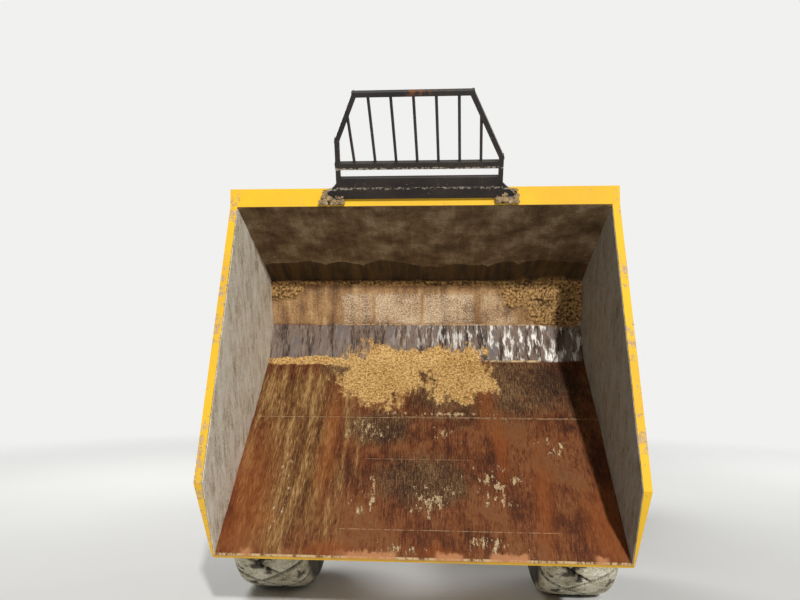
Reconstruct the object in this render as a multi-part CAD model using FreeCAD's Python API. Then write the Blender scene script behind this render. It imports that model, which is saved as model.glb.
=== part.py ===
import FreeCAD, Part
import math
import os

# Articulated site dumper of the nine tonne class, standing with its skip tipped forward.
# All sizes are millimetres. The machine faces -Y, its own left is +X, +Z is up.
# While it is modelled, the front axle is at Y 0 and the ground is at Z 0. At the end the whole
# machine is shifted so that the origin is at the middle of its footprint, on the ground.

# Whole machine
FRONT_AXLE_TO_PIVOT = 1150.0
PIVOT_TO_REAR_AXLE = 1500.0
REAR_OVERHANG = 640.0
TRACK = 1950.0
GROUND_TO_RAIL_TOP = 900.0

# Wheels
TYRE_RADIUS = 585.0
TYRE_WIDTH = 500.0
TYRE_SEAT_GAP = 0.3
TYRE_CROWN_X = 120.0
TYRE_CROWN_DROP = 3.0
TYRE_SHOULDER_INSET = 45.0
TYRE_SHOULDER_DROP = 21.0
TYRE_WALL_DROP = 78.0
TYRE_BULGE_DROP = 145.0
LUG_COUNT = 17
LUG_DEPTH = 28.0
LUG_SLOPE = 0.75
GROOVE_SHARE = 0.12
RIM_RADIUS = 286.0
RIM_FLANGE_HEIGHT = 20.0
RIM_FLANGE_THICK = 12.0
RIM_WALL = 12.0
WHEEL_DISC_THICK = 18.0
WHEEL_DISC_OUT = 90.0
HUB_RADIUS = 150.0
HUB_REACH = 130.0
WHEEL_STUD_COUNT = 10
WHEEL_STUD_CIRCLE_RADIUS = 195.0
WHEEL_STUD_RADIUS = 14.0
WHEEL_STUD_LENGTH = 26.0

# Axles
STUB_RADIUS = 60.0
RUNNING_CLEARANCE = 0.1
AXLE_TUBE_RADIUS = 65.0
BANJO_RADIUS = 165.0
BANJO_WIDTH = 190.0
BRAKE_RADIUS = 130.0
BRAKE_WIDTH = 110.0

# Skip, given in its lowered position, rim line and plates as seen from the side
SKIP_WIDTH = 2250.0
SKIP_INSIDE_WIDTH = 2166.0
SKIP_PLATE = 8.0
SKIP_BOTTOM_Y = 121.0
SKIP_BOTTOM_Z = 1250.0
SKIP_FLOOR_LENGTH = 1437.0
SKIP_FLOOR_RISE_DEG = 23.6
SKIP_BOTTOM_LENGTH = 272.0
SKIP_HEEL_LENGTH = 319.0
SKIP_HEEL_DEG = 33.6
SKIP_BACK_HEIGHT = 878.0
SKIP_BACK_DEG = 88.8
SKIP_CHEEK_LENGTH = 463.0
SKIP_CHEEK_DEG = 48.2
WEAR_PLATE_LENGTH = 930.0
WEAR_PLATE_THICK = 6.0
RIM_BAND_WIDTH = 105.0
RIM_BAND_DEG = 24.0
RIM_FOLD_DEPTH = 55.0
SIDE_RIM_FOLD_DEPTH = 36.0
LIP_BAR_WIDTH = 90.0
LIP_BAR_THICK = 12.0
TIP_ANGLE_DEG = 70.0

# Tip hinge
TIP_PIN_Y = -255.0
TIP_PIN_Z = 1165.0
TIP_PIN_RADIUS = 25.0
TIP_BOSS_RADIUS = 62.0
TIP_BOSS_X = 295.0
TIP_BOSS_WIDTH = 44.0
EAR_THICK = 20.0
SIDE_GAP = 5.0
BEAM_DEPTH = 75.0
CHANNEL_DEPTH = 60.0
CHANNEL_WIDTH = 110.0
BACK_RIB_WIDTH = 90.0
BACK_RIB_DEPTH = 45.0
BACK_RIB_X = (0.0, 480.0, 940.0)

# Guard on the back of the skip
GUARD_POST_X = {1: 446.0, -1: -476.0}
GUARD_KNEE_X = {1: 439.0, -1: -448.0}
GUARD_CORNER_X = {1: 268.0, -1: -329.0}
GUARD_LEAN_DEG = 72.0
GUARD_BAR_LENGTH = 407.0
GUARD_TUBE = 26.0
GUARD_BAR_RADIUS = 8.0
GUARD_BAR_PITCH = 115.9
GUARD_BAR_FOOT_X = -18.0
GUARD_BAR_TOP_X = -29.0
GUARD_BAR_COUNT = 7
GUARD_KINK = {1: 25.0, -1: 140.0}
GUARD_RAIL_HEIGHT = 69.0
GUARD_SILL_HEIGHT = 42.0
GUARD_RAIL_DEPTH = 24.0
GUARD_RAIL_GAP = 58.0
GUARD_SEAT_SHARE = 0.35
GUARD_RAIL_LIFT = 14.0
GUARD_POST_LIFT = 16.0
GUARD_FOOT_WIDTH = 98.0
GUARD_FOOT_HEIGHT = 90.0
GUARD_FOOT_THICK = 12.0
GUARD_FOOT_START = 8.0
GUARD_FOOT_DEPTH = 84.0

# Tipping rams
RAM_X = 150.0
RAM_EAR_REACH = 140.0
RAM_BASE_Z = 690.0
RAM_HEAD_Y = 0.0
RAM_HEAD_Z = 1180.0
RAM_BARREL_RADIUS = 50.0
RAM_BORE_RADIUS = 40.0
RAM_ROD_RADIUS = 25.0
RAM_BARREL_LENGTH = 620.0
RAM_ROD_LENGTH = 770.0
RAM_PISTON_LENGTH = 50.0
RAM_GLAND_LENGTH = 45.0
RAM_NECK_INSET = 4.0
RAM_NECK_LENGTH = 14.0
RAM_END_WALL = 21.0
RAM_EYE_RADIUS = 38.0
RAM_EYE_WIDTH = 56.0
RAM_PIN_RADIUS = 20.0
RAM_EAR_THICK = 15.0
RAM_PAD_THICK = 12.0
RAM_PAD_HALF_WIDTH = 235.0

# Front chassis
RAIL_X = 295.0
RAIL_THICK = 20.0
RAIL_HEIGHT = 200.0
FRONT_RAIL_START = -520.0
FORK_REACH = 250.0
FRONT_RAIL_END = FRONT_AXLE_TO_PIVOT - FORK_REACH
TIE_REACH = 60.0
FRONT_TIE_REACH = 90.0
CROSS_PLATE = 25.0
FORK_BOTTOM_Z = 590.0
FORK_TOP_Z = 850.0
FORK_THICK = 35.0
FORK_RADIUS = 115.0
PIVOT_Y = FRONT_AXLE_TO_PIVOT
WHEELBASE = FRONT_AXLE_TO_PIVOT + PIVOT_TO_REAR_AXLE
PIVOT_PIN_RADIUS = 40.0

# Steering ram
STEER_BASE_X = 240.0
STEER_BASE_BACK = 410.0
STEER_BASE_Y = PIVOT_Y + STEER_BASE_BACK
STEER_HEAD_X = 170.0
STEER_HEAD_AHEAD = 220.0
STEER_HEAD_Y = PIVOT_Y - STEER_HEAD_AHEAD
STEER_Z = 520.0
STEER_BARREL_RADIUS = 32.0
STEER_ROD_RADIUS = 17.5
STEER_BARREL_LENGTH = 390.0
STEER_ROD_LENGTH = 440.0
STEER_EYE_RADIUS = 30.0
STEER_EYE_HEIGHT = 40.0
STEER_PIN_RADIUS = 15.0
STEER_EAR_THICK = 15.0
STEER_EAR_RADIUS = 35.0
STEER_EAR_REACH = 90.0
STEER_WEB_THICK = 20.0

# Rear chassis and body
KNUCKLE_RADIUS = 95.0
TRUNNION_RADIUS = 85.0
PIVOT_TO_REAR_PLATE = 330.0
REAR_FRONT_PLATE_Y = PIVOT_Y + PIVOT_TO_REAR_PLATE
REAR_RAIL_X = 275.0
REAR_RAIL_END = WHEELBASE + REAR_OVERHANG
REAR_RAIL_BOTTOM = 660.0
COUNTERWEIGHT_DEPTH = 190.0
COUNTERWEIGHT_WIDTH = 1240.0
COUNTERWEIGHT_BOTTOM = 520.0
COUNTERWEIGHT_TOP = 1150.0
COUNTERWEIGHT_CORNER = 130.0
TOW_PLATE_THICK = 25.0
TOW_GAP = 60.0
TOW_PIN_RADIUS = 16.0
TOW_REACH = 80.0
TIE_EYE_RADIUS = 22.0
TIE_EYE_THICK = 20.0
TIE_EYE_WALL = 23.0
PLATFORM_Z = 1180.0
PLATFORM_THICK = 10.0
MUDGUARD_TYRE_GAP = 150.0
MUDGUARD_STAY = 15.0
MUDGUARD_INNER_X = TRACK / 2 - TYRE_WIDTH / 2 - MUDGUARD_TYRE_GAP
BODY_HALF_WIDTH = MUDGUARD_INNER_X - MUDGUARD_STAY
PLATFORM_FRONT = REAR_FRONT_PLATE_Y + 10.0
PLATFORM_LENGTH = 890.0
BULKHEAD_Y = PLATFORM_FRONT + PLATFORM_LENGTH
BULKHEAD_HEIGHT = 505.0
PANEL = 8.0
BONNET_FRONT = BULKHEAD_Y + PANEL + PANEL
BONNET_BACK_GAP = 14.0
BONNET_BACK = REAR_RAIL_END - BONNET_BACK_GAP
BONNET_BASE_Z = 1200.0
BONNET_HEIGHT = 510.0
BONNET_SHEET = 5.0
BONNET_CHAMFER = 90.0
BONNET_HINGE_Y = REAR_RAIL_END + 10.0
BONNET_HINGE_X = BODY_HALF_WIDTH - 180.0
BONNET_HINGE_Z = 1178.0
BONNET_OPEN_DEG = 60.0
LOUVRE_COUNT = 6
LOUVRE_HEIGHT = 18.0
LOUVRE_PITCH = 46.0
TANK_INNER_X = 430.0
TANK_OUTER_X = 1040.0
TANK_FRONT = PLATFORM_FRONT + 40.0
TANK_TYRE_GAP = 65.0
TANK_LENGTH = WHEELBASE - TYRE_RADIUS - TANK_TYRE_GAP - TANK_FRONT
TANK_BOTTOM = 560.0
TANK_HEIGHT = 270.0
TANK_CORNER = 45.0
STEP_Z = 400.0
STEP_THICK = 12.0
MUDGUARD_SHEET = 6.0
MUDGUARD_TOP = 1265.0
MUDGUARD_FLAT = 420.0
MUDGUARD_WALL_BOTTOM = 960.0
ENGINE_WIDTH = 480.0
ENGINE_END_GAP = 60.0
ENGINE_FRONT = BULKHEAD_Y + ENGINE_END_GAP
ENGINE_LENGTH = REAR_RAIL_END - 2 * ENGINE_END_GAP - ENGINE_FRONT
ENGINE_HEIGHT = 560.0

# Operator's place
SEAT_FRONT = PLATFORM_FRONT + 300.0
SEAT_PLATE_Z = 1560.0
SEAT_PLATE_THICK = 14.0
CUSHION_THICK = 115.0
CUSHION_WIDTH = 500.0
CUSHION_DEPTH = 450.0
BACKREST_HEIGHT = 520.0
BACKREST_THICK = 100.0
BACKREST_LEAN_DEG = 8.0
BACKREST_SETBACK = 340.0
PAD_EDGE = 28.0
PAD_GAP = 0.3
CONSOLE_WIDTH = 440.0
STEERING_WHEEL_RADIUS = 190.0
STEERING_WHEEL_TUBE = 15.0
COLUMN_LEAN_DEG = 24.0
COLUMN_LENGTH = 260.0
ROPS_POST_X = BODY_HALF_WIDTH - 80.0
ROPS_TUBE = 90.0
ROPS_WALL = 6.0
ROPS_FOOT = 18.0
ROPS_Y = BULKHEAD_Y - 180.0
ROPS_CROSS_Z = 2350.0
ROPS_CROSS_HEIGHT = 60.0
ROPS_TOP_Z = 3250.0
ROPS_BEND = 180.0
HANDRAIL_RADIUS = 16.0
HANDRAIL_TOP = 1880.0
HANDRAIL_BEND = 60.0
COLUMN_BASE_Z = 1770.0
HUB_LENGTH = 34.0
EXHAUST_HEIGHT = 1250.0
SILENCER_LENGTH = 400.0
SILENCER_RADIUS = 48.0
EXHAUST_RADIUS = 26.0
MIRROR_Z = 2420.0
MIRROR_WIDTH = 160.0
MIRROR_HEIGHT = 230.0
MIRROR_THICK = 35.0
MIRROR_ARM = 260.0
MIRROR_CLAMP = 8.0
BEACON_Z = 2880.0
BEACON_HEIGHT = 138.0
BEACON_RADIUS = 48.0

RAM_BASE_Y = FRONT_RAIL_END - RAM_EAR_REACH
TIP = math.radians(TIP_ANGLE_DEG)
X_AXIS = FreeCAD.Vector(1, 0, 0)
Y_AXIS = FreeCAD.Vector(0, 1, 0)
Z_AXIS = FreeCAD.Vector(0, 0, 1)
TIP_PIN = FreeCAD.Vector(0, TIP_PIN_Y, TIP_PIN_Z)


def at(x, y, z):
    return FreeCAD.Vector(x, y, z)


def box(x0, x1, y0, y1, z0, z1):
    return Part.makeBox(x1 - x0, y1 - y0, z1 - z0, at(x0, y0, z0))


def rod_x(x0, x1, y, z, radius):
    return Part.makeCylinder(radius, x1 - x0, at(x0, y, z), X_AXIS)


def rod_y(x, y0, y1, z, radius):
    return Part.makeCylinder(radius, y1 - y0, at(x, y0, z), Y_AXIS)


def rod_z(x, y, z0, z1, radius):
    return Part.makeCylinder(radius, z1 - z0, at(x, y, z0), Z_AXIS)


def rod_between(start, end, radius):
    return Part.makeCylinder(radius, (end - start).Length, start, end - start)


def face_of(points):
    return Part.Face(Part.makePolygon(list(points) + [points[0]]))


def plate_x(outline, x0, x1):
    """A plate across X whose outline is (y, z) points."""
    return face_of([at(x0, y, z) for y, z in outline]).extrude(X_AXIS * (x1 - x0))


def plate_y(outline, y0, y1):
    """A plate across Y whose outline is (x, z) points."""
    return face_of([at(x, y0, z) for x, z in outline]).extrude(Y_AXIS * (y1 - y0))


def plate_z(outline, z0, z1):
    """A plate across Z whose outline is (x, y) points."""
    return face_of([at(x, y, z0) for x, y in outline]).extrude(Z_AXIS * (z1 - z0))


def joined(*shapes):
    solid = shapes[0].fuse(list(shapes[1:])) if len(shapes) > 1 else shapes[0]
    return solid.removeSplitter()


def mirrored(shape):
    return shape.mirror(at(0, 0, 0), X_AXIS)


def pair(shape):
    """The shape and its mirror image, as one compound of solids that do not touch."""
    return Part.makeCompound([shape, mirrored(shape)])


def turned_x(shape, centre, degrees):
    moved = shape.copy()
    moved.rotate(centre, X_AXIS, degrees)
    return moved


def tipped(shape):
    """From the skip's lowered position to the tipped one, in which the machine stands."""
    return turned_x(shape, TIP_PIN, TIP_ANGLE_DEG)


def tipped_point(y, z):
    dy, dz = y - TIP_PIN_Y, z - TIP_PIN_Z
    return (
        TIP_PIN_Y + dy * math.cos(TIP) - dz * math.sin(TIP),
        TIP_PIN_Z + dy * math.sin(TIP) + dz * math.cos(TIP),
    )


def onward(point, degrees, length):
    turn = math.radians(degrees)
    return (point[0] + length * math.cos(turn), point[1] + length * math.sin(turn))


def offset_line(points, distance):
    """The open line of (y, z) points moved to its right by a distance, with mitred corners."""
    normals = []
    for (y0, z0), (y1, z1) in zip(points, points[1:]):
        length = math.hypot(y1 - y0, z1 - z0)
        normals.append(((z1 - z0) / length, -(y1 - y0) / length))
    moved = []
    for index, (y, z) in enumerate(points):
        before = normals[max(index - 1, 0)]
        after = normals[min(index, len(normals) - 1)]
        share = distance / (1 + before[0] * after[0] + before[1] * after[1])
        moved.append((y + share * (before[0] + after[0]), z + share * (before[1] + after[1])))
    return moved


# The skip's inside line, from the lip back and up to the rear rim, in the lowered position
BOTTOM_FRONT = (SKIP_BOTTOM_Y, SKIP_BOTTOM_Z)
LIP = onward(BOTTOM_FRONT, 180 - SKIP_FLOOR_RISE_DEG, SKIP_FLOOR_LENGTH)
BOTTOM_BACK = onward(BOTTOM_FRONT, 0, SKIP_BOTTOM_LENGTH)
HEEL_TOP = onward(BOTTOM_BACK, SKIP_HEEL_DEG, SKIP_HEEL_LENGTH)
BACK_TOP = onward(HEEL_TOP, SKIP_BACK_DEG, SKIP_BACK_HEIGHT)
CHEEK = onward(LIP, SKIP_CHEEK_DEG, SKIP_CHEEK_LENGTH)
BAND_BACK = onward(BACK_TOP, RIM_BAND_DEG, RIM_BAND_WIDTH)
INSIDE = [LIP, BOTTOM_FRONT, BOTTOM_BACK, HEEL_TOP, BACK_TOP]
OUTSIDE = offset_line(INSIDE, SKIP_PLATE)
HALF_INSIDE = SKIP_INSIDE_WIDTH / 2
HALF_SKIP = SKIP_WIDTH / 2
SIDE_OUTER = HALF_INSIDE + SKIP_PLATE


def unit(start, end):
    length = math.hypot(end[0] - start[0], end[1] - start[1])
    return ((end[0] - start[0]) / length, (end[1] - start[1]) / length)


def skip_rear_rim():
    """Top plate that slopes up to the back, with a fold down along its rear edge."""
    along = unit(BACK_TOP, BAND_BACK)
    down = (along[1], -along[0])
    under = [(p[0] + down[0] * SKIP_PLATE, p[1] + down[1] * SKIP_PLATE) for p in (BACK_TOP, BAND_BACK)]
    top = plate_x([BACK_TOP, BAND_BACK, under[1], under[0]], -HALF_SKIP, HALF_SKIP)
    fold_front = (BAND_BACK[0] - along[0] * SKIP_PLATE, BAND_BACK[1] - along[1] * SKIP_PLATE)
    fold = plate_x(
        [
            BAND_BACK,
            (BAND_BACK[0] + down[0] * RIM_FOLD_DEPTH, BAND_BACK[1] + down[1] * RIM_FOLD_DEPTH),
            (fold_front[0] + down[0] * RIM_FOLD_DEPTH, fold_front[1] + down[1] * RIM_FOLD_DEPTH),
            fold_front,
        ],
        -HALF_SKIP,
        HALF_SKIP,
    )
    return joined(top, fold)


def side_rim_run(start, end, end_half, end_fold):
    """One run of the side's folded rim, from start to end, tapered to end_half and end_fold."""
    along = unit(start, end)
    down = (-along[1], along[0])
    if down[1] > 0:
        down = (along[1], -along[0])

    def strip(y, z, out, depth):
        lower = (y + down[0] * depth, z + down[1] * depth)
        inner = (y + down[0] * SKIP_PLATE, z + down[1] * SKIP_PLATE)
        return [
            at(HALF_INSIDE, y, z),
            at(out, y, z),
            at(out, *lower),
            at(out - SKIP_PLATE, *lower),
            at(out - SKIP_PLATE, *inner),
            at(HALF_INSIDE, *inner),
        ]

    sections = [
        Part.makePolygon(points + [points[0]])
        for points in (
            strip(*start, HALF_SKIP, SIDE_RIM_FOLD_DEPTH),
            strip(*end, end_half, end_fold),
        )
    ]
    return Part.makeLoft(sections, True, True)


def skip_side_rim():
    """The left side's rim: full width from the rear rim to the cheek, then tapered to the lip."""
    back = side_rim_run(BACK_TOP, CHEEK, HALF_SKIP, SIDE_RIM_FOLD_DEPTH)
    cheek = side_rim_run(CHEEK, LIP, SIDE_OUTER + 2, SKIP_PLATE + 2)
    return joined(back, cheek).cut(skip_rear_rim())


def skip_side():
    """The left side plate, flush with the outside of the folded floor."""
    outline = OUTSIDE + [BACK_TOP, CHEEK, LIP]
    plate = plate_x(outline, HALF_INSIDE, SIDE_OUTER)
    return plate.cut(joined(skip_rear_rim(), skip_side_rim()))


def skip_tub():
    """Floor, bottom, heel and back in one folded sheet between the sides, with the wear plate."""
    sheet = plate_x(INSIDE + OUTSIDE[::-1], -HALF_INSIDE, HALF_INSIDE)
    wear_line = [LIP, onward(LIP, -SKIP_FLOOR_RISE_DEG, WEAR_PLATE_LENGTH)]
    wear = plate_x(
        wear_line + offset_line(wear_line, -WEAR_PLATE_THICK)[::-1], -HALF_INSIDE, HALF_INSIDE
    )
    return joined(sheet, wear).cut(skip_rear_rim())


def under_floor(share):
    """A point on the floor's outside, at a share of the way from the lip to the bottom plate."""
    return tuple(a + (b - a) * share for a, b in zip(OUTSIDE[0], OUTSIDE[1]))


def skip_lip_bar():
    line = [OUTSIDE[0], onward(OUTSIDE[0], -SKIP_FLOOR_RISE_DEG, LIP_BAR_WIDTH)]
    return plate_x(line + offset_line(line, LIP_BAR_THICK)[::-1], -SIDE_OUTER, SIDE_OUTER)


def skip_underframe():
    """Hinge ears that run on as beams under the floor, the ram ears, cross channels and pins."""
    beam_line = [under_floor(0.3), OUTSIDE[1], OUTSIDE[2]]
    beam = beam_line + offset_line(beam_line, BEAM_DEPTH)[::-1]
    tab_line = [under_floor(0.55), under_floor(0.9)]
    tab = tab_line + [
        (TIP_PIN_Y + TIP_BOSS_RADIUS, TIP_PIN_Z),
        (TIP_PIN_Y - TIP_BOSS_RADIUS, TIP_PIN_Z),
    ]
    pieces = []
    inner = TIP_BOSS_X - TIP_BOSS_WIDTH / 2 - SIDE_GAP - EAR_THICK
    outer = TIP_BOSS_X + TIP_BOSS_WIDTH / 2 + SIDE_GAP
    for x in (inner, outer):
        disc = rod_x(x, x + EAR_THICK, TIP_PIN_Y, TIP_PIN_Z, TIP_BOSS_RADIUS)
        pieces += [plate_x(beam, x, x + EAR_THICK), plate_x(tab, x, x + EAR_THICK), disc]
    pieces.append(rod_x(inner - 10, outer + EAR_THICK + 10, TIP_PIN_Y, TIP_PIN_Z, TIP_PIN_RADIUS))
    head_y, head_z = RAM_HEAD_Y, RAM_HEAD_Z
    gap = RAM_EYE_WIDTH / 2 + SIDE_GAP
    for x in (RAM_X - gap - RAM_EAR_THICK, RAM_X + gap):
        foot = [under_floor(0.83), under_floor(0.97)]
        ear = foot + [(head_y + RAM_EYE_RADIUS, head_z), (head_y - RAM_EYE_RADIUS, head_z)]
        disc = rod_x(x, x + RAM_EAR_THICK, head_y, head_z, RAM_EYE_RADIUS)
        pieces += [plate_x(ear, x, x + RAM_EAR_THICK), disc]
    pieces.append(rod_x(RAM_X + gap, RAM_X + gap + RAM_EAR_THICK + 12, head_y, head_z, RAM_PIN_RADIUS))
    pieces.append(
        rod_x(RAM_X - gap - RAM_EAR_THICK - 12, RAM_X - gap, head_y, head_z, RAM_PIN_RADIUS)
    )
    left = joined(*pieces)
    pad_line = [under_floor(0.82), under_floor(0.975)]
    pad = pad_line + offset_line(pad_line, RAM_PAD_THICK)[::-1]
    channels = [plate_x(pad, -RAM_PAD_HALF_WIDTH, RAM_PAD_HALF_WIDTH)]
    for share in (0.34, 0.72):
        line = [under_floor(share), onward(under_floor(share), -SKIP_FLOOR_RISE_DEG, CHANNEL_WIDTH)]
        outline = line + offset_line(line, CHANNEL_DEPTH)[::-1]
        channels.append(plate_x(outline, -SIDE_OUTER + 40, SIDE_OUTER - 40))
    return joined(left, mirrored(left), *channels)


def skip_back_ribs():
    """Upright channels on the back of the skip, from the heel to the rear rim."""
    base, top = OUTSIDE[3], OUTSIDE[4]
    stop = onward(top, SKIP_BACK_DEG + 180, RIM_FOLD_DEPTH)
    line = [base, stop]
    outline = line + offset_line(line, BACK_RIB_DEPTH)[::-1]
    ribs = []
    for x in BACK_RIB_X:
        for side in (1, -1) if x else (1,):
            middle = side * x
            ribs.append(plate_x(outline, middle - BACK_RIB_WIDTH / 2, middle + BACK_RIB_WIDTH / 2))
    return Part.makeCompound(ribs)


def guard_point(x, along, out=0.0):
    """A point on the guard: across X, up its lean from the rear rim's surface, out to the back."""
    foot = onward(BACK_TOP, RIM_BAND_DEG, RIM_BAND_WIDTH * GUARD_SEAT_SHARE)
    y, z = onward(foot, GUARD_LEAN_DEG, along)
    y, z = onward((y, z), GUARD_LEAN_DEG - 90, out)
    return at(x, y, z)


def guard_run(start, end, half):
    """A square tube between two points of the guard's own plane."""
    across = (end[0] - start[0], end[1] - start[1])
    length = math.hypot(*across)
    side = (-across[1] / length * half, across[0] / length * half)
    ahead = (across[0] / length * half, across[1] / length * half)
    corners = [
        (start[0] - ahead[0] + side[0], start[1] - ahead[1] + side[1]),
        (end[0] + ahead[0] + side[0], end[1] + ahead[1] + side[1]),
        (end[0] + ahead[0] - side[0], end[1] + ahead[1] - side[1]),
        (start[0] - ahead[0] - side[0], start[1] - ahead[1] - side[1]),
    ]
    front = [guard_point(x, along, -half) for x, along in corners]
    back = guard_point(0, 0, half) - guard_point(0, 0, -half)
    return face_of(front).extrude(back)


def guard_slab(x0, x1, along0, along1, out0, out1):
    corners = [guard_point(x, along, out0) for x, along in
               ((x0, along0), (x1, along0), (x1, along1), (x0, along1))]
    return face_of(corners).extrude(guard_point(0, 0, out1) - guard_point(0, 0, out0))


def skip_guard():
    """The black barred guard: two base rails, a sill rail, a bent hoop and its round bars."""
    half = GUARD_TUBE / 2
    lift = GUARD_RAIL_LIFT
    rails_top = lift + 2 * GUARD_RAIL_HEIGHT + 4
    sill = rails_top + GUARD_RAIL_GAP
    bars = sill + GUARD_SILL_HEIGHT
    crown = bars + GUARD_BAR_LENGTH
    depth = GUARD_RAIL_DEPTH / 2
    pieces = []
    for low in (lift, lift + GUARD_RAIL_HEIGHT + 4):
        pieces.append(
            guard_slab(GUARD_POST_X[-1], GUARD_POST_X[1], low, low + GUARD_RAIL_HEIGHT, -depth, depth)
        )
    pieces.append(guard_slab(GUARD_POST_X[-1], GUARD_POST_X[1], sill, bars, -half, half))
    hoop = {}
    for side, post in GUARD_POST_X.items():
        knee = (GUARD_KNEE_X[side], bars + GUARD_KINK[side])
        corner = (GUARD_CORNER_X[side], crown)
        pieces.append(guard_run((post, GUARD_POST_LIFT + half), knee, half))
        pieces.append(guard_run(knee, corner, half))
        hoop[side] = (knee, corner)
        x0, x1 = sorted((post - side * half, post + side * GUARD_FOOT_WIDTH))
        sole = [onward(BACK_TOP, RIM_BAND_DEG, GUARD_FOOT_START)]
        sole.append(onward(sole[0], RIM_BAND_DEG, GUARD_FOOT_DEPTH))
        pieces.append(plate_x(sole + offset_line(sole, -GUARD_FOOT_THICK)[::-1], x0, x1))
        gusset = [
            guard_point(post, GUARD_POST_LIFT),
            guard_point(post + side * GUARD_FOOT_WIDTH, GUARD_POST_LIFT),
            guard_point(post + side * half, GUARD_POST_LIFT + GUARD_FOOT_HEIGHT),
            guard_point(post, GUARD_POST_LIFT + GUARD_FOOT_HEIGHT),
        ]
        thick = guard_point(0, 0, GUARD_FOOT_THICK) - guard_point(0, 0)
        pieces.append(face_of(gusset).extrude(thick))
    pieces.append(guard_run(hoop[-1][1], hoop[1][1], half))
    first = -(GUARD_BAR_COUNT - 1) / 2 * GUARD_BAR_PITCH
    for index in range(GUARD_BAR_COUNT):
        low = first + index * GUARD_BAR_PITCH + GUARD_BAR_FOOT_X
        high = low + GUARD_BAR_TOP_X - GUARD_BAR_FOOT_X
        knee, corner = hoop[1 if high > 0 else -1]
        end = crown
        if abs(high) > abs(corner[0]):
            end = knee[1] + (corner[1] - knee[1]) * (knee[0] - high) / (knee[0] - corner[0])
        pieces.append(
            rod_between(guard_point(low, bars - 5), guard_point(high, end), GUARD_BAR_RADIUS)
        )
    return joined(*pieces)


def eye_and_barrel(base, direction, across, sizes):
    """A barrel and its base eye. sizes: barrel, bore, rod, length, eye radius, eye width, pin."""
    radius, bore, rod, length, eye_radius, eye_width, pin = sizes
    eye = Part.makeCylinder(eye_radius, eye_width, base - across * (eye_width / 2), across)
    foot = eye_radius + RAM_NECK_LENGTH
    tube = Part.makeCylinder(radius, length - foot, base + direction * foot, direction)
    start = base + direction * (foot + RAM_END_WALL)
    inside = Part.makeCylinder(
        bore, length - foot - RAM_END_WALL - RAM_GLAND_LENGTH, start, direction
    )
    throat = Part.makeCylinder(rod + RUNNING_CLEARANCE, length, start, direction)
    hole = Part.makeCylinder(
        pin + RUNNING_CLEARANCE, eye_width, base - across * (eye_width / 2), across
    )
    neck = Part.makeCylinder(eye_width / 2 - RAM_NECK_INSET, foot + 5, base, direction)
    return joined(eye, neck, tube).cut(inside).cut(throat).cut(hole)


def tip_ram_ends():
    base = at(RAM_X, RAM_BASE_Y, RAM_BASE_Z)
    head = at(RAM_X, *tipped_point(RAM_HEAD_Y, RAM_HEAD_Z))
    direction = head - base
    direction.normalize()
    return base, head, direction


def tip_ram_barrel():
    base, _, direction = tip_ram_ends()
    sizes = (RAM_BARREL_RADIUS, RAM_BORE_RADIUS, RAM_ROD_RADIUS, RAM_BARREL_LENGTH,
             RAM_EYE_RADIUS, RAM_EYE_WIDTH, RAM_PIN_RADIUS)
    return eye_and_barrel(base, direction, X_AXIS, sizes)


def tip_ram_rod():
    """The chromed rod, its piston and its eye, extended as it holds the skip tipped."""
    _, head, direction = tip_ram_ends()
    eye = Part.makeCylinder(RAM_EYE_RADIUS, RAM_EYE_WIDTH, head - X_AXIS * (RAM_EYE_WIDTH / 2), X_AXIS)
    rod = Part.makeCylinder(RAM_ROD_RADIUS, RAM_ROD_LENGTH, head - direction * RAM_ROD_LENGTH, direction)
    piston = Part.makeCylinder(
        RAM_BORE_RADIUS - RUNNING_CLEARANCE, RAM_PISTON_LENGTH,
        head - direction * RAM_ROD_LENGTH, direction,
    )
    return joined(rod, piston, eye)


def steer_ram_ends():
    base = at(STEER_BASE_X, STEER_BASE_Y, STEER_Z)
    head = at(STEER_HEAD_X, STEER_HEAD_Y, STEER_Z)
    direction = head - base
    direction.normalize()
    return base, head, direction


def steer_ram_barrel():
    base, _, direction = steer_ram_ends()
    sizes = (STEER_BARREL_RADIUS, STEER_BARREL_RADIUS - 7, STEER_ROD_RADIUS, STEER_BARREL_LENGTH,
             STEER_EYE_RADIUS, STEER_EYE_HEIGHT, STEER_PIN_RADIUS)
    return eye_and_barrel(base, direction, Z_AXIS, sizes)


def steer_ram_rod():
    _, head, direction = steer_ram_ends()
    eye = Part.makeCylinder(
        STEER_EYE_RADIUS, STEER_EYE_HEIGHT, head - Z_AXIS * (STEER_EYE_HEIGHT / 2), Z_AXIS
    )
    start = head - direction * STEER_ROD_LENGTH
    rod = Part.makeCylinder(STEER_ROD_RADIUS, STEER_ROD_LENGTH, start, direction)
    piston = Part.makeCylinder(STEER_BARREL_RADIUS - 7 - RUNNING_CLEARANCE, 30, start, direction)
    return joined(rod, piston, eye)


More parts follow.
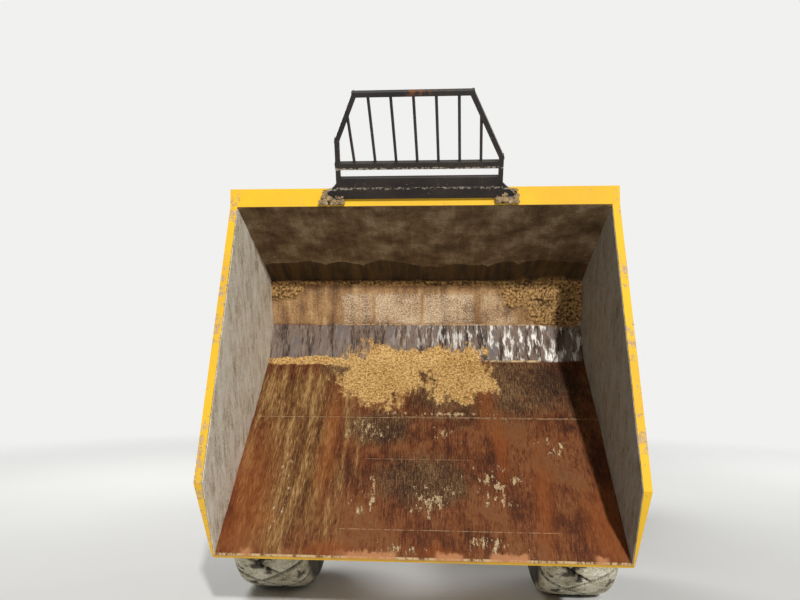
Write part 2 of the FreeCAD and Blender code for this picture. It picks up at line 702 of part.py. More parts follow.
def front_chassis():
    """Two rails that rise to the hinge towers, cross plates, the ram pins and the pivot fork."""
    top = GROUND_TO_RAIL_TOP
    low = top - RAIL_HEIGHT
    outline = [
        (FRONT_RAIL_START, low),
        (FRONT_RAIL_START, top - 60),
        (TIP_PIN_Y - 160, top),
        (TIP_PIN_Y - TIP_BOSS_RADIUS, TIP_PIN_Z),
        (TIP_PIN_Y + TIP_BOSS_RADIUS, TIP_PIN_Z),
        (TIP_PIN_Y + 230, top),
        (FRONT_RAIL_END, top),
        (FRONT_RAIL_END, FORK_BOTTOM_Z - 30),
        (FRONT_RAIL_END - 120, FORK_BOTTOM_Z - 30),
        (FRONT_RAIL_END - 260, low),
    ]
    x0, x1 = RAIL_X - RAIL_THICK / 2, RAIL_X + RAIL_THICK / 2
    boss0, boss1 = TIP_BOSS_X - TIP_BOSS_WIDTH / 2, TIP_BOSS_X + TIP_BOSS_WIDTH / 2
    rail = joined(
        plate_x(outline, x0, x1), rod_x(boss0, boss1, TIP_PIN_Y, TIP_PIN_Z, TIP_BOSS_RADIUS)
    )
    rail = rail.cut(
        rod_x(boss0 - 1, boss1 + 1, TIP_PIN_Y, TIP_PIN_Z, TIP_PIN_RADIUS + RUNNING_CLEARANCE)
    )
    pieces = [rail, mirrored(rail)]
    pieces.append(box(-x0, x0, FRONT_RAIL_START, FRONT_RAIL_START + CROSS_PLATE, low, top - 60))
    pieces.append(box(-x0, x0, TIP_PIN_Y - 12, TIP_PIN_Y + 12, low, top + 60))
    pieces.append(box(-x0, x0, 260, 260 + CROSS_PLATE, low, top - 40))
    end = FRONT_RAIL_END
    pieces.append(box(-x1, x1, end, end + CROSS_PLATE, FORK_BOTTOM_Z - 30, top))
    gap = RAM_EYE_WIDTH / 2 + SIDE_GAP
    for side in (1, -1):
        for offset in (-gap - RAM_EAR_THICK, gap):
            ear0 = side * RAM_X + offset
            ear = [(RAM_BASE_Y, RAM_BASE_Z - RAM_EYE_RADIUS), (RAM_BASE_Y, RAM_BASE_Z + RAM_EYE_RADIUS),
                   (end, RAM_BASE_Z + 80), (end, RAM_BASE_Z - 80)]
            pieces.append(plate_x(ear, ear0, ear0 + RAM_EAR_THICK))
            pieces.append(rod_x(ear0, ear0 + RAM_EAR_THICK, RAM_BASE_Y, RAM_BASE_Z, RAM_EYE_RADIUS))
        span = gap + RAM_EAR_THICK
        pieces.append(
            rod_x(side * RAM_X - span, side * RAM_X + span, RAM_BASE_Y, RAM_BASE_Z, RAM_PIN_RADIUS)
        )
    start = end + CROSS_PLATE
    for z in (FORK_BOTTOM_Z, FORK_TOP_Z):
        lug = plate_z(
            [(-200, start), (200, start), (FORK_RADIUS, PIVOT_Y), (-FORK_RADIUS, PIVOT_Y)],
            z, z + FORK_THICK,
        )
        pieces += [lug, rod_z(0, PIVOT_Y, z, z + FORK_THICK, FORK_RADIUS)]
    pieces.append(rod_z(0, PIVOT_Y, FORK_BOTTOM_Z - 15, FORK_TOP_Z + FORK_THICK + 15, PIVOT_PIN_RADIUS))
    belly = end - 120
    pieces.append(box(-x0, x0, belly, start, FORK_BOTTOM_Z - 30, FORK_BOTTOM_Z - 15))
    pieces += steer_ears(STEER_HEAD_X, STEER_HEAD_Y, -1, FORK_BOTTOM_Z - 25)
    eye = tie_eye(RAIL_X, FRONT_RAIL_START, low + 60, -FRONT_TIE_REACH)
    pieces += [eye, mirrored(eye)]
    return joined(*pieces)


def steer_ears(x, y, way, top):
    """Two flat ears for a steering ram's eye, joined towards way by a web that rises to top."""
    reach = STEER_EYE_HEIGHT / 2 + SIDE_GAP
    low = STEER_Z - reach - STEER_EAR_THICK
    end = y + way * STEER_EAR_REACH
    y0, y1 = sorted((y, end))
    pieces = []
    for z in (low, STEER_Z + reach):
        pieces.append(box(x - STEER_EAR_RADIUS, x + STEER_EAR_RADIUS, y0, y1, z, z + STEER_EAR_THICK))
        pieces.append(rod_z(x, y, z, z + STEER_EAR_THICK, STEER_EAR_RADIUS))
    y0, y1 = sorted((end, end + way * STEER_WEB_THICK))
    pieces.append(box(x - STEER_EAR_RADIUS, x + STEER_EAR_RADIUS, y0, y1, low, top))
    return pieces


def tie_eye(x, y, z, reach):
    """A tie-down eye in a plate across X that stands out of a face at y by a signed reach."""
    half = TIE_EYE_THICK / 2
    y0, y1 = sorted((y, y + reach))
    radius = TIE_EYE_RADIUS + TIE_EYE_WALL
    plate = joined(
        box(x - half, x + half, y0, y1, z - radius, z + radius),
        rod_x(x - half, x + half, y + reach, z, radius),
    )
    return plate.cut(rod_x(x - half - 1, x + half + 1, y + reach, z, TIE_EYE_RADIUS))


def axle(y, rail_x, pad_top):
    """Axle housing: banjo, tubes, brake drums, stub ends and the pads that carry the rails."""
    z = TYRE_RADIUS
    wheel_face = TRACK / 2 - HUB_REACH / 2
    brake0 = wheel_face - 20 - BRAKE_WIDTH
    pieces = [
        rod_x(-brake0, brake0, y, z, AXLE_TUBE_RADIUS),
        rod_x(-BANJO_WIDTH / 2, BANJO_WIDTH / 2, y, z, BANJO_RADIUS),
    ]
    for side in (1, -1):
        x0, x1 = sorted((side * brake0, side * (brake0 + BRAKE_WIDTH)))
        pieces.append(rod_x(x0, x1, y, z, BRAKE_RADIUS))
        x0, x1 = sorted((side * (brake0 + BRAKE_WIDTH), side * (TRACK / 2 + HUB_REACH / 2)))
        pieces.append(rod_x(x0, x1, y, z, STUB_RADIUS))
        pieces.append(box(side * rail_x - 50, side * rail_x + 50, y - 90, y + 90, z, pad_top))
    return joined(*pieces)


def wheel_rim():
    """Rim with flanges, disc, hub drum and studs, about its own centre, outer face towards +X."""
    half = TYRE_WIDTH / 2 - 35
    outer = RIM_RADIUS + RIM_FLANGE_HEIGHT
    inner = RIM_RADIUS - RIM_WALL
    section = [
        (-half, inner), (-half, outer), (-half + RIM_FLANGE_THICK, outer),
        (-half + RIM_FLANGE_THICK, RIM_RADIUS), (half - RIM_FLANGE_THICK, RIM_RADIUS),
        (half - RIM_FLANGE_THICK, outer), (half, outer), (half, inner),
    ]
    barrel = face_of([at(x, 0, r) for x, r in section]).revolve(at(0, 0, 0), X_AXIS, 360)
    disc = rod_x(WHEEL_DISC_OUT, WHEEL_DISC_OUT + WHEEL_DISC_THICK, 0, 0, inner + 1)
    reach = HUB_REACH / 2
    drum = rod_x(-reach, WHEEL_DISC_OUT + 70, 0, 0, HUB_RADIUS)
    cap = rod_x(WHEEL_DISC_OUT + 70, WHEEL_DISC_OUT + 95, 0, 0, HUB_RADIUS * 0.62)
    pieces = [barrel, disc, drum, cap]
    face = WHEEL_DISC_OUT + WHEEL_DISC_THICK
    for index in range(WHEEL_STUD_COUNT):
        turn = 2 * math.pi * index / WHEEL_STUD_COUNT
        y = WHEEL_STUD_CIRCLE_RADIUS * math.cos(turn)
        z = WHEEL_STUD_CIRCLE_RADIUS * math.sin(turn)
        pieces.append(rod_x(face, face + WHEEL_STUD_LENGTH, y, z, WHEEL_STUD_RADIUS))
    socket = rod_x(-reach - 1, reach + 5, 0, 0, STUB_RADIUS + RUNNING_CLEARANCE)
    return joined(*pieces).cut(socket)


def tyre_ring(x, radius, grooved, row):
    """One closed ring of a tyre's facets, as (share of a pitch, point) all the way round.

    Two rows of lugs meet at the crown, and row is 0 or 1. The second row is half a pitch on, so a
    grooved ring at the crown also has points where the other row's grooves begin and end. A lug's
    corner is lowest, so that the tyre stands at its full radius.
    """
    shift = row / 2
    slant = LUG_SLOPE * min(abs(x), TYRE_WIDTH / 2 - TYRE_SHOULDER_INSET) / TYRE_RADIUS
    groove = GROOVE_SHARE
    shares = [(0.0, 0.0), (0.5, 0.0)]
    if grooved:
        between = [0.5, 0.5 + groove] if x == 0 else [0.5 + groove / 2]
        shares = [(0.0, 0.0), (0.0, LUG_DEPTH), (groove, LUG_DEPTH), (groove, 0.0)]
        shares += [(share, 0.0) for share in between]
    ring = []
    for pitch in range(LUG_COUNT):
        for share, depth in shares:
            around = pitch + share + shift
            turn = 2 * math.pi * around / LUG_COUNT - slant - math.pi / 2
            reach = radius - depth
            ring.append((around, at(x, reach * math.cos(turn), reach * math.sin(turn))))
    return ring


def band(here, after):
    """Triangles between two neighbouring rings, which may differ in their number of points."""
    near = here + [(here[0][0] + LUG_COUNT, here[0][1])]
    far = after + [(after[0][0] + LUG_COUNT, after[0][1])]
    faces = []
    i = j = 0
    while i < len(here) or j < len(after):
        if j == len(after) or (i < len(here) and near[i + 1][0] <= far[j + 1][0]):
            faces.append(face_of([near[i][1], near[i + 1][1], far[j][1]]))
            i += 1
        else:
            faces.append(face_of([near[i][1], far[j + 1][1], far[j][1]]))
            j += 1
    return faces


def tyre():
    """The tyre about its own centre: one closed ring of flat facets with two rows of lugs."""
    half = TYRE_WIDTH / 2
    bead = half - 35 - RIM_FLANGE_THICK - 0.5
    flat_share = math.cos(math.pi / (2 * LUG_COUNT))
    flange = (RIM_RADIUS + RIM_FLANGE_HEIGHT + TYRE_SEAT_GAP) / flat_share
    seat = (RIM_RADIUS + TYRE_SEAT_GAP) / flat_share
    # x, radius, whether the grooves cut it
    levels = [
        (bead, seat, False),
        (bead, flange, False),
        (half, TYRE_RADIUS - TYRE_BULGE_DROP, False),
        (half - 7, TYRE_RADIUS - TYRE_WALL_DROP, False),
        (half - TYRE_SHOULDER_INSET, TYRE_RADIUS - TYRE_SHOULDER_DROP, True),
        (TYRE_CROWN_X, TYRE_RADIUS - TYRE_CROWN_DROP, True),
        (0.0, TYRE_RADIUS, True),
    ]
    left = [tyre_ring(x, radius, grooved, 0) for x, radius, grooved in levels]
    right = [tyre_ring(-x, radius, grooved, 1) for x, radius, grooved in reversed(levels)]
    faces = []
    for row in (left, right):
        for here, after in zip(row, row[1:]):
            faces += band(here, after)
    inner = left[0]
    faces += band(right[-1][-1:] + right[-1][:-1], inner)
    step = len(left[-1]) // LUG_COUNT
    for pitch in range(LUG_COUNT):
        for ring, order in ((left[-1], 1), (right[0], -1)):
            corners = [point for _, point in ring[pitch * step:pitch * step + 4]]
            faces.append(face_of(corners[::order]))
    return Part.makeSolid(Part.makeShell(faces))


def placed(shape, x, y):
    moved = shape.copy()
    moved.translate(at(x, y, TYRE_RADIUS))
    return moved


def rear_chassis():
    """Pivot knuckle, trunnion, front plate, two rails and the steering ram's base ears."""
    top = GROUND_TO_RAIL_TOP
    knuckle_low = FORK_BOTTOM_Z + FORK_THICK + SIDE_GAP
    knuckle_top = FORK_TOP_Z - SIDE_GAP
    middle = (knuckle_low + knuckle_top) / 2
    front = REAR_FRONT_PLATE_Y
    x0, x1 = REAR_RAIL_X - RAIL_THICK / 2, REAR_RAIL_X + RAIL_THICK / 2
    pin_reach = STEER_EYE_HEIGHT / 2 + SIDE_GAP + STEER_EAR_THICK
    pieces = [
        rod_z(0, PIVOT_Y, knuckle_low, knuckle_top, KNUCKLE_RADIUS),
        rod_y(0, PIVOT_Y, front, middle, TRUNNION_RADIUS),
        rod_y(0, front - 60, front, middle, TRUNNION_RADIUS + 45),
        box(-x1, x1, front, front + CROSS_PLATE, FORK_BOTTOM_Z + 10, top),
        box(x0, x1, front, REAR_RAIL_END, REAR_RAIL_BOTTOM, top),
        box(-x1, -x0, front, REAR_RAIL_END, REAR_RAIL_BOTTOM, top),
        box(-x0, x0, WHEELBASE - 320, WHEELBASE - 320 + CROSS_PLATE, REAR_RAIL_BOTTOM, top),
        box(-x0, x0, REAR_RAIL_END - CROSS_PLATE, REAR_RAIL_END, REAR_RAIL_BOTTOM, top),
        *steer_ears(STEER_BASE_X, STEER_BASE_Y, 1, REAR_RAIL_BOTTOM + 60),
        rod_z(STEER_BASE_X, STEER_BASE_Y, STEER_Z - pin_reach - 8, STEER_Z + pin_reach + 8,
              STEER_PIN_RADIUS),
    ]
    for y in (TANK_FRONT + 60, TANK_FRONT + TANK_LENGTH - 60 - CROSS_PLATE):
        for side in (1, -1):
            a, b = sorted((side * x1, side * TANK_INNER_X))
            pieces.append(box(a, b, y, y + CROSS_PLATE, REAR_RAIL_BOTTOM, REAR_RAIL_BOTTOM + 130))
    bore = rod_z(0, PIVOT_Y, knuckle_low - 1, knuckle_top + 1, PIVOT_PIN_RADIUS + RUNNING_CLEARANCE)
    return joined(*pieces).cut(bore)


def counterweight():
    """Cast rear bumper with chamfered corners, tow jaw and tie-down eyes."""
    y0, y1 = REAR_RAIL_END, REAR_RAIL_END + COUNTERWEIGHT_DEPTH
    half, cut = COUNTERWEIGHT_WIDTH / 2, COUNTERWEIGHT_CORNER
    outline = [(-half, y0), (half, y0), (half, y1 - cut), (half - cut, y1),
               (-half + cut, y1), (-half, y1 - cut)]
    block = plate_z(outline, COUNTERWEIGHT_BOTTOM, COUNTERWEIGHT_TOP)
    pieces = [block]
    low = COUNTERWEIGHT_BOTTOM + 60
    for z in (low, low + TOW_PLATE_THICK + TOW_GAP):
        plate = joined(
            box(-60, 60, y1 - 1, y1 + TOW_REACH - 50, z, z + TOW_PLATE_THICK),
            rod_z(0, y1 + TOW_REACH - 50, z, z + TOW_PLATE_THICK, 50),
        )
        pieces.append(plate)
    eye = tie_eye(half - cut - 60, y1, COUNTERWEIGHT_BOTTOM + 90, TIE_REACH)
    pieces += [eye, mirrored(eye)]
    jaw_top = low + 2 * TOW_PLATE_THICK + TOW_GAP
    hole = rod_z(0, y1 + TOW_REACH - 50, low - 1, jaw_top + 1, TOW_PIN_RADIUS)
    hinge = bonnet_hinge_blocks()
    return joined(*pieces, *hinge).cut(hole)


def bonnet_hinge_blocks():
    """Two upright lugs on the counterweight, each with its pin, that carry the bonnet."""
    blocks = []
    for side in (1, -1):
        x = side * BONNET_HINGE_X
        lug = joined(
            box(x - 12, x + 12, BONNET_HINGE_Y - 4, BONNET_HINGE_Y + 40,
                COUNTERWEIGHT_TOP - 1, BONNET_HINGE_Z),
            rod_x(x - 12, x + 12, BONNET_HINGE_Y, BONNET_HINGE_Z, 14),
            rod_x(x - 40, x + 40, BONNET_HINGE_Y, BONNET_HINGE_Z, 7),
        )
        blocks.append(lug)
    return blocks


def bonnet():
    """Hollow engine cover, open below and in front, with louvres and its hinge ears."""
    half, top = BODY_HALF_WIDTH, BONNET_BASE_Z + BONNET_HEIGHT
    y0, y1 = BONNET_FRONT, BONNET_BACK
    sheet, cut = BONNET_SHEET, BONNET_CHAMFER

    def hull(inset):
        h, t = half - inset, top - inset
        section = [(-h, BONNET_BASE_Z), (h, BONNET_BASE_Z), (h, t - cut), (h - cut, t),
                   (-h + cut, t), (-h, t - cut)]
        return section

    shell = plate_y(hull(0), y0, y1).cut(plate_y(hull(sheet), y0 - 1, y1 - sheet))
    slope = plate_x([(y1 - 160, top + 1), (y1 + 1, top + 1), (y1 + 1, top - 120)], -half - 1, half + 1)
    shell = shell.cut(slope)
    cover = plate_x([(y1 - 160, top), (y1, top - 119), (y1 - sheet, top - 119 - sheet),
                     (y1 - 160, top - sheet)], -half + cut * 0.6, half - cut * 0.6)
    cheeks = []
    for side in (1, -1):
        a, b = sorted((side * (half - cut * 0.6), side * half))
        cheeks.append(plate_x([(y1 - 160, top - cut), (y1, top - 119), (y1 - sheet, top - 119 - sheet),
                               (y1 - 160, top - cut - sheet)], a, b))
    slots = []
    for index in range(LOUVRE_COUNT):
        z = BONNET_BASE_Z + 90 + index * LOUVRE_PITCH
        slots.append(box(-half + 170, half - 170, y1 - sheet - 1, y1 + 1, z, z + LOUVRE_HEIGHT))
        slots.append(box(-half - 1, half + 1, y0 + 260, y0 + 620, z, z + LOUVRE_HEIGHT))
    shell = joined(shell, cover).cut(Part.makeCompound(slots))
    ears = []
    for side in (1, -1):
        for offset in (-32, 18):
            x = side * BONNET_HINGE_X + offset
            ear = joined(
                box(x, x + 14, y1 - sheet, BONNET_HINGE_Y, BONNET_BASE_Z - 6, BONNET_BASE_Z + 60),
                rod_x(x, x + 14, BONNET_HINGE_Y, BONNET_HINGE_Z, 14),
                box(x, x + 14, BONNET_HINGE_Y - 14, BONNET_HINGE_Y, BONNET_HINGE_Z, BONNET_BASE_Z + 20),
            )
            ears.append(ear.cut(rod_x(x - 1, x + 15, BONNET_HINGE_Y, BONNET_HINGE_Z, 7 + RUNNING_CLEARANCE)))
    return joined(shell, *ears)


def platform():
    """Operator's floor, the front bulkhead below it and the deck back to the engine bay."""
    half = BODY_HALF_WIDTH
    z1 = PLATFORM_Z + PLATFORM_THICK
    rail = GROUND_TO_RAIL_TOP
    pieces = [
        box(-half, half, PLATFORM_FRONT, BULKHEAD_Y + PANEL, PLATFORM_Z, z1),
        box(-half, half, PLATFORM_FRONT, PLATFORM_FRONT + PANEL, rail, PLATFORM_Z),
    ]
    for side in (1, -1):
        a, b = sorted((side * (half - PANEL), side * half))
        tank_end = TANK_FRONT + TANK_LENGTH
        pieces.append(box(a, b, PLATFORM_FRONT, tank_end, TANK_BOTTOM + TANK_HEIGHT, PLATFORM_Z))
        pieces.append(box(a, b, tank_end - 1, BULKHEAD_Y + PANEL, rail, PLATFORM_Z))
        a, b = sorted((side * (REAR_RAIL_X - 10), side * (REAR_RAIL_X + 10)))
        for y in (PLATFORM_FRONT + 210, BULKHEAD_Y - 80):
            pieces.append(box(a, b, y, y + 60, rail, PLATFORM_Z))
    return joined(*pieces)


def engine_bay_panels():
    """Upright side panels of the engine bay and the plate between it and the seat."""
    half = BODY_HALF_WIDTH
    low = GROUND_TO_RAIL_TOP
    start = BULKHEAD_Y + PANEL
    side = box(half - PANEL, half, start, REAR_RAIL_END, low, BONNET_BASE_Z - SIDE_GAP)
    stays = [
        box(REAR_RAIL_X - 10, half - PANEL, y, y + PANEL, low, low + 90)
        for y in (start + 40, WHEELBASE, REAR_RAIL_END - 60)
    ]
    side = joined(side, *stays)
    floor = PLATFORM_Z + PLATFORM_THICK
    plate = box(-half, half, BULKHEAD_Y, start, floor, BONNET_BASE_Z + BULKHEAD_HEIGHT)
    return Part.makeCompound([side, mirrored(side), plate])


def engine_block():
    half = ENGINE_WIDTH / 2
    top = GROUND_TO_RAIL_TOP
    feet = [
        box(side * REAR_RAIL_X - 10, side * REAR_RAIL_X + 10, y, y + 80, top, top + 60)
        for side in (1, -1)
        for y in (ENGINE_FRONT + 60, ENGINE_FRONT + ENGINE_LENGTH - 140)
    ]
    bars = [
        box(-REAR_RAIL_X - 10, REAR_RAIL_X + 10, y, y + 80, top + 60, top + 75)
        for y in (ENGINE_FRONT + 60, ENGINE_FRONT + ENGINE_LENGTH - 140)
    ]
    block = box(-half, half, ENGINE_FRONT, ENGINE_FRONT + ENGINE_LENGTH, top + 75, top + 75 + ENGINE_HEIGHT)
    return joined(block, *bars, *feet)


def tank(side):
    """A box tank beside the chassis, whose top is the second step."""
    x0, x1 = sorted((side * TANK_INNER_X, side * TANK_OUTER_X))
    body = box(x0, x1, TANK_FRONT, TANK_FRONT + TANK_LENGTH, TANK_BOTTOM, TANK_BOTTOM + TANK_HEIGHT)
    edges = [e for e in body.Edges if abs(e.tangentAt(e.FirstParameter).y) > 0.9]
    body = body.makeFillet(TANK_CORNER, edges)
    cap_x = side * (TANK_OUTER_X - 110)
    neck = rod_z(cap_x, TANK_FRONT + 80, TANK_BOTTOM + TANK_HEIGHT - 1, TANK_BOTTOM + TANK_HEIGHT + 28, 38)
    return joined(body, neck)


def step(side):
    """The lowest step: a tread hung below the tank by two straps."""
    x0, x1 = sorted((side * (TANK_OUTER_X - 170), side * (TANK_OUTER_X + 10)))
    front, back = TANK_FRONT + 70, TANK_FRONT + TANK_LENGTH - 60
    tread = box(x0, x1, front, back, STEP_Z, STEP_Z + STEP_THICK)
    lip0, lip1 = sorted((side * (TANK_OUTER_X - 2), side * (TANK_OUTER_X + 10)))
    pieces = [tread, box(lip0, lip1, front, back, STEP_Z, STEP_Z + 45)]
    for y in (front, back - STEP_THICK):
        a, b = sorted((side * (TANK_OUTER_X - 150), side * (TANK_OUTER_X - 60)))
        pieces.append(box(a, b, y, y + STEP_THICK, STEP_Z, TANK_BOTTOM))
    return joined(*pieces)


def mudguard():
    """The left rear mudguard: a folded sheet over the tyre and its inner wall."""
    outer = TRACK / 2 + TYRE_WIDTH / 2
    line = [
        (WHEELBASE - TYRE_RADIUS - 50, MUDGUARD_TOP - 365),
        (WHEELBASE - MUDGUARD_FLAT - 140, MUDGUARD_TOP - 125),
        (WHEELBASE - MUDGUARD_FLAT, MUDGUARD_TOP),
        (WHEELBASE + MUDGUARD_FLAT, MUDGUARD_TOP),
        (REAR_RAIL_END - 80, MUDGUARD_TOP - 105),
        (REAR_RAIL_END, MUDGUARD_TOP - 255),
    ]
    sheet = plate_x(line + offset_line(line, MUDGUARD_SHEET)[::-1], MUDGUARD_INNER_X, outer)
    edge = plate_x(
        offset_line(line, MUDGUARD_SHEET) + offset_line(line, MUDGUARD_SHEET + 30)[::-1],
        outer - MUDGUARD_SHEET, outer,
    )
    wall = plate_x(
        offset_line(line, MUDGUARD_SHEET)
        + [(REAR_RAIL_END - 40, MUDGUARD_WALL_BOTTOM), (WHEELBASE - 600, MUDGUARD_WALL_BOTTOM)],
        MUDGUARD_INNER_X, MUDGUARD_INNER_X + MUDGUARD_SHEET,
    )
    stays = [
        box(BODY_HALF_WIDTH, MUDGUARD_INNER_X, WHEELBASE + y, WHEELBASE + y + 60,
            MUDGUARD_WALL_BOTTOM + 20, MUDGUARD_WALL_BOTTOM + 80)
        for y in (-240, 400)
    ]
    return joined(sheet, edge, wall, *stays)


def seat_base():
    half = CUSHION_WIDTH / 2 - 30
    floor = PLATFORM_Z + PLATFORM_THICK
    y0, y1 = SEAT_FRONT + 30, SEAT_FRONT + CUSHION_DEPTH - 60
    low = SEAT_PLATE_Z - SEAT_PLATE_THICK
    pedestal = box(-half, half, y0, y1, floor, low).cut(
        box(-half + PANEL, half - PANEL, y0 + PANEL, y1 - PANEL, floor, low)
    )
    plate = box(-half - 20, half + 20, y0 - 20, y1 + 50, low, SEAT_PLATE_Z)
    return joined(pedestal, plate)


def seat_cushion():
    half = CUSHION_WIDTH / 2
    pad = box(-half, half, SEAT_FRONT, SEAT_FRONT + CUSHION_DEPTH, SEAT_PLATE_Z, SEAT_PLATE_Z + CUSHION_THICK)
    return pad.makeFillet(PAD_EDGE, pad.Edges)


def seat_back():
    """The backrest, which leans back and stands on the seat plate behind the cushion."""
    half = CUSHION_WIDTH / 2
    lean = math.radians(BACKREST_LEAN_DEG)
    rounded = PAD_EDGE * (math.sin(lean) + math.cos(lean) - 1)
    y0 = SEAT_FRONT + BACKREST_SETBACK
    z0 = SEAT_PLATE_Z + CUSHION_THICK + PAD_GAP - rounded
    pad = box(-half, half, y0, y0 + BACKREST_THICK, z0, z0 + BACKREST_HEIGHT)
    pad = pad.makeFillet(PAD_EDGE, pad.Edges)
    return turned_x(pad, at(0, y0 + BACKREST_THICK, z0), -BACKREST_LEAN_DEG)


def console():
    """Dashboard box with a sloped top, the steering column, pedals and the hand lever."""
    half = CONSOLE_WIDTH / 2
    floor = PLATFORM_Z + PLATFORM_THICK
    front = PLATFORM_FRONT + 12
    dash = COLUMN_BASE_Z
    body = plate_x(
        [(front, floor), (front, dash - 10), (front + 60, dash + 70), (front + 150, dash + 20),
         (front + 110, floor)],
        -half, half,
    )
    base, top, direction = column_line()
    column = rod_between(base, top, 24)
    boot = rod_between(base, base + direction * 90, 45)
    pieces = [body, column, boot]
    for x in (-90, 90):
        pieces.append(plate_x([(front + 105, floor + 60), (front + 200, floor + 5), (front + 206, floor + 14),
                               (front + 108, floor + 80)], x - 35, x + 35))
    lever = rod_between(at(half - 50, front + 120, dash - 70), at(half - 30, front + 210, dash + 130), 9)
    knob = Part.makeSphere(24, at(half - 30, front + 210, dash + 135))
    return joined(*pieces, lever, knob)


def column_line():
    lean = math.radians(COLUMN_LEAN_DEG)
    base = at(0, PLATFORM_FRONT + 110, COLUMN_BASE_Z)
    direction = at(0, math.sin(lean), math.cos(lean))
    return base, base + direction * COLUMN_LENGTH, direction


def steering_wheel():
    """Torus rim, hub and three spokes at the top of the column."""
    _, top, direction = column_line()
    rim = Part.makeTorus(STEERING_WHEEL_RADIUS, STEERING_WHEEL_TUBE, top + direction * 30, direction)
    hub = Part.makeCylinder(38, HUB_LENGTH, top, direction)
    pieces = [rim, hub]
    side = at(1, 0, 0)
    up = direction.cross(side)
    for index in range(3):
        turn = math.radians(90 + 120 * index)
        reach = side * math.cos(turn) + up * math.sin(turn)
        start = top + direction * 18
        end = top + direction * 30 + reach * STEERING_WHEEL_RADIUS
        pieces.append(rod_between(start, end, 9))
    return joined(*pieces)


def rops_frame():
    """Two-post roll bar in one bent square tube, feet on the rails and a lower cross tube."""
    outer, inner = ROPS_POST_X + ROPS_TUBE / 2, ROPS_POST_X - ROPS_TUBE / 2
    top, bend = ROPS_TOP_Z, ROPS_BEND
    floor = PLATFORM_Z + PLATFORM_THICK
    y0, y1 = ROPS_Y - ROPS_TUBE / 2, ROPS_Y + ROPS_TUBE / 2

    def arch(half, crown, radius, near, far):
        mid = radius * (1 - math.sqrt(0.5))
        edges = [
            Part.LineSegment(at(-half, near, floor), at(-half, near, crown - radius)),
            Part.Arc(at(-half, near, crown - radius), at(-half + mid, near, crown - mid),
                     at(-half + radius, near, crown)),
            Part.LineSegment(at(-half + radius, near, crown), at(half - radius, near, crown)),
            Part.Arc(at(half - radius, near, crown), at(half - mid, near, crown - mid),
                     at(half, near, crown - radius)),
            Part.LineSegment(at(half, near, crown - radius), at(half, near, floor)),
            Part.LineSegment(at(half, near, floor), at(-half, near, floor)),
        ]
        wire = Part.Wire([e.toShape() for e in edges])
        return Part.Face(wire).extrude(Y_AXIS * (far - near))

    wall = ROPS_WALL
    hoop = arch(outer, top, bend, y0, y1).cut(arch(inner, top - ROPS_TUBE, bend - ROPS_TUBE, y0, y1))
    bore = arch(outer - wall, top - wall, bend - wall, y0 + wall, y1 - wall).cut(
        arch(inner + wall, top - ROPS_TUBE + wall, bend - ROPS_TUBE + wall, y0 + wall, y1 - wall)
    )
    hoop = hoop.cut(bore)
    cross_top = ROPS_CROSS_Z + ROPS_CROSS_HEIGHT
    pieces = [hoop, box(-inner, inner, y0 + 15, y1 - 15, ROPS_CROSS_Z, cross_top)]
    for side in (1, -1):
        a, b = sorted((side * (inner - 20), side * (outer + 20)))
        pieces.append(box(a, b, y0 - 45, y1 + 45, floor, floor + ROPS_FOOT))
        x = side * ROPS_POST_X
        gusset = plate_x(
            [(y0, floor + ROPS_FOOT), (y0 - 40, floor + ROPS_FOOT), (y0, floor + 160)], x - 7, x + 7
        )
        pieces.append(gusset)
    return joined(*pieces)


def exhaust_stack():
    """Silencer and upright pipe with a cut end, between the roll bar and the bonnet."""
    floor = PLATFORM_Z + PLATFORM_THICK
    x, y = -BONNET_HINGE_X, BULKHEAD_Y - SILENCER_RADIUS - 14
    silencer = rod_z(x, y, floor + 60, floor + 60 + SILENCER_LENGTH, SILENCER_RADIUS)
    pipe = rod_z(x, y, floor, floor + EXHAUST_HEIGHT, EXHAUST_RADIUS)
    hole = rod_z(x, y, floor + EXHAUST_HEIGHT - 350, floor + EXHAUST_HEIGHT + 10, EXHAUST_RADIUS - 4)
    return joined(silencer, pipe).cut(hole)


def lamp_posts():
    """The two headlamps on posts at the front corners of the platform."""
    lamps = []
    for side in (1, -1):
        x = side * (BODY_HALF_WIDTH - 60)
        floor = PLATFORM_Z + PLATFORM_THICK
        post = rod_z(x, PLATFORM_FRONT + 45, floor, floor + 200, 14)
        body = rod_y(x, PLATFORM_FRONT + 5, PLATFORM_FRONT + 85, floor + 260, 78)
        ring = rod_y(x, PLATFORM_FRONT - 4, PLATFORM_FRONT + 5, floor + 260, 84)
        lamps.append(joined(post, body, ring))
    return Part.makeCompound(lamps)


def tail_lamps():
    lamps = []
    y1 = REAR_RAIL_END + COUNTERWEIGHT_DEPTH
    for side in (1, -1):
        x = side * (COUNTERWEIGHT_WIDTH / 2 - COUNTERWEIGHT_CORNER - 90)
        lamps.append(box(x - 75, x + 75, y1, y1 + 35, COUNTERWEIGHT_TOP - 150, COUNTERWEIGHT_TOP - 60))
    return Part.makeCompound(lamps)


def beacon():
    """Warning beacon on a bracket outside the left post of the roll bar."""
    x = ROPS_POST_X + ROPS_TUBE / 2
    low = BEACON_Z + 12
    top = low + BEACON_HEIGHT
    arm = box(x, x + 110, ROPS_Y - 30, ROPS_Y + 30, BEACON_Z, low)
    dome = rod_z(x + 70, ROPS_Y, low, top, BEACON_RADIUS)
    edge = [e for e in dome.Edges if abs(e.BoundBox.ZMin - top) < 1 and abs(e.BoundBox.ZMax - top) < 1]
    dome = dome.makeFillet(30, edge)
    return joined(arm, dome)


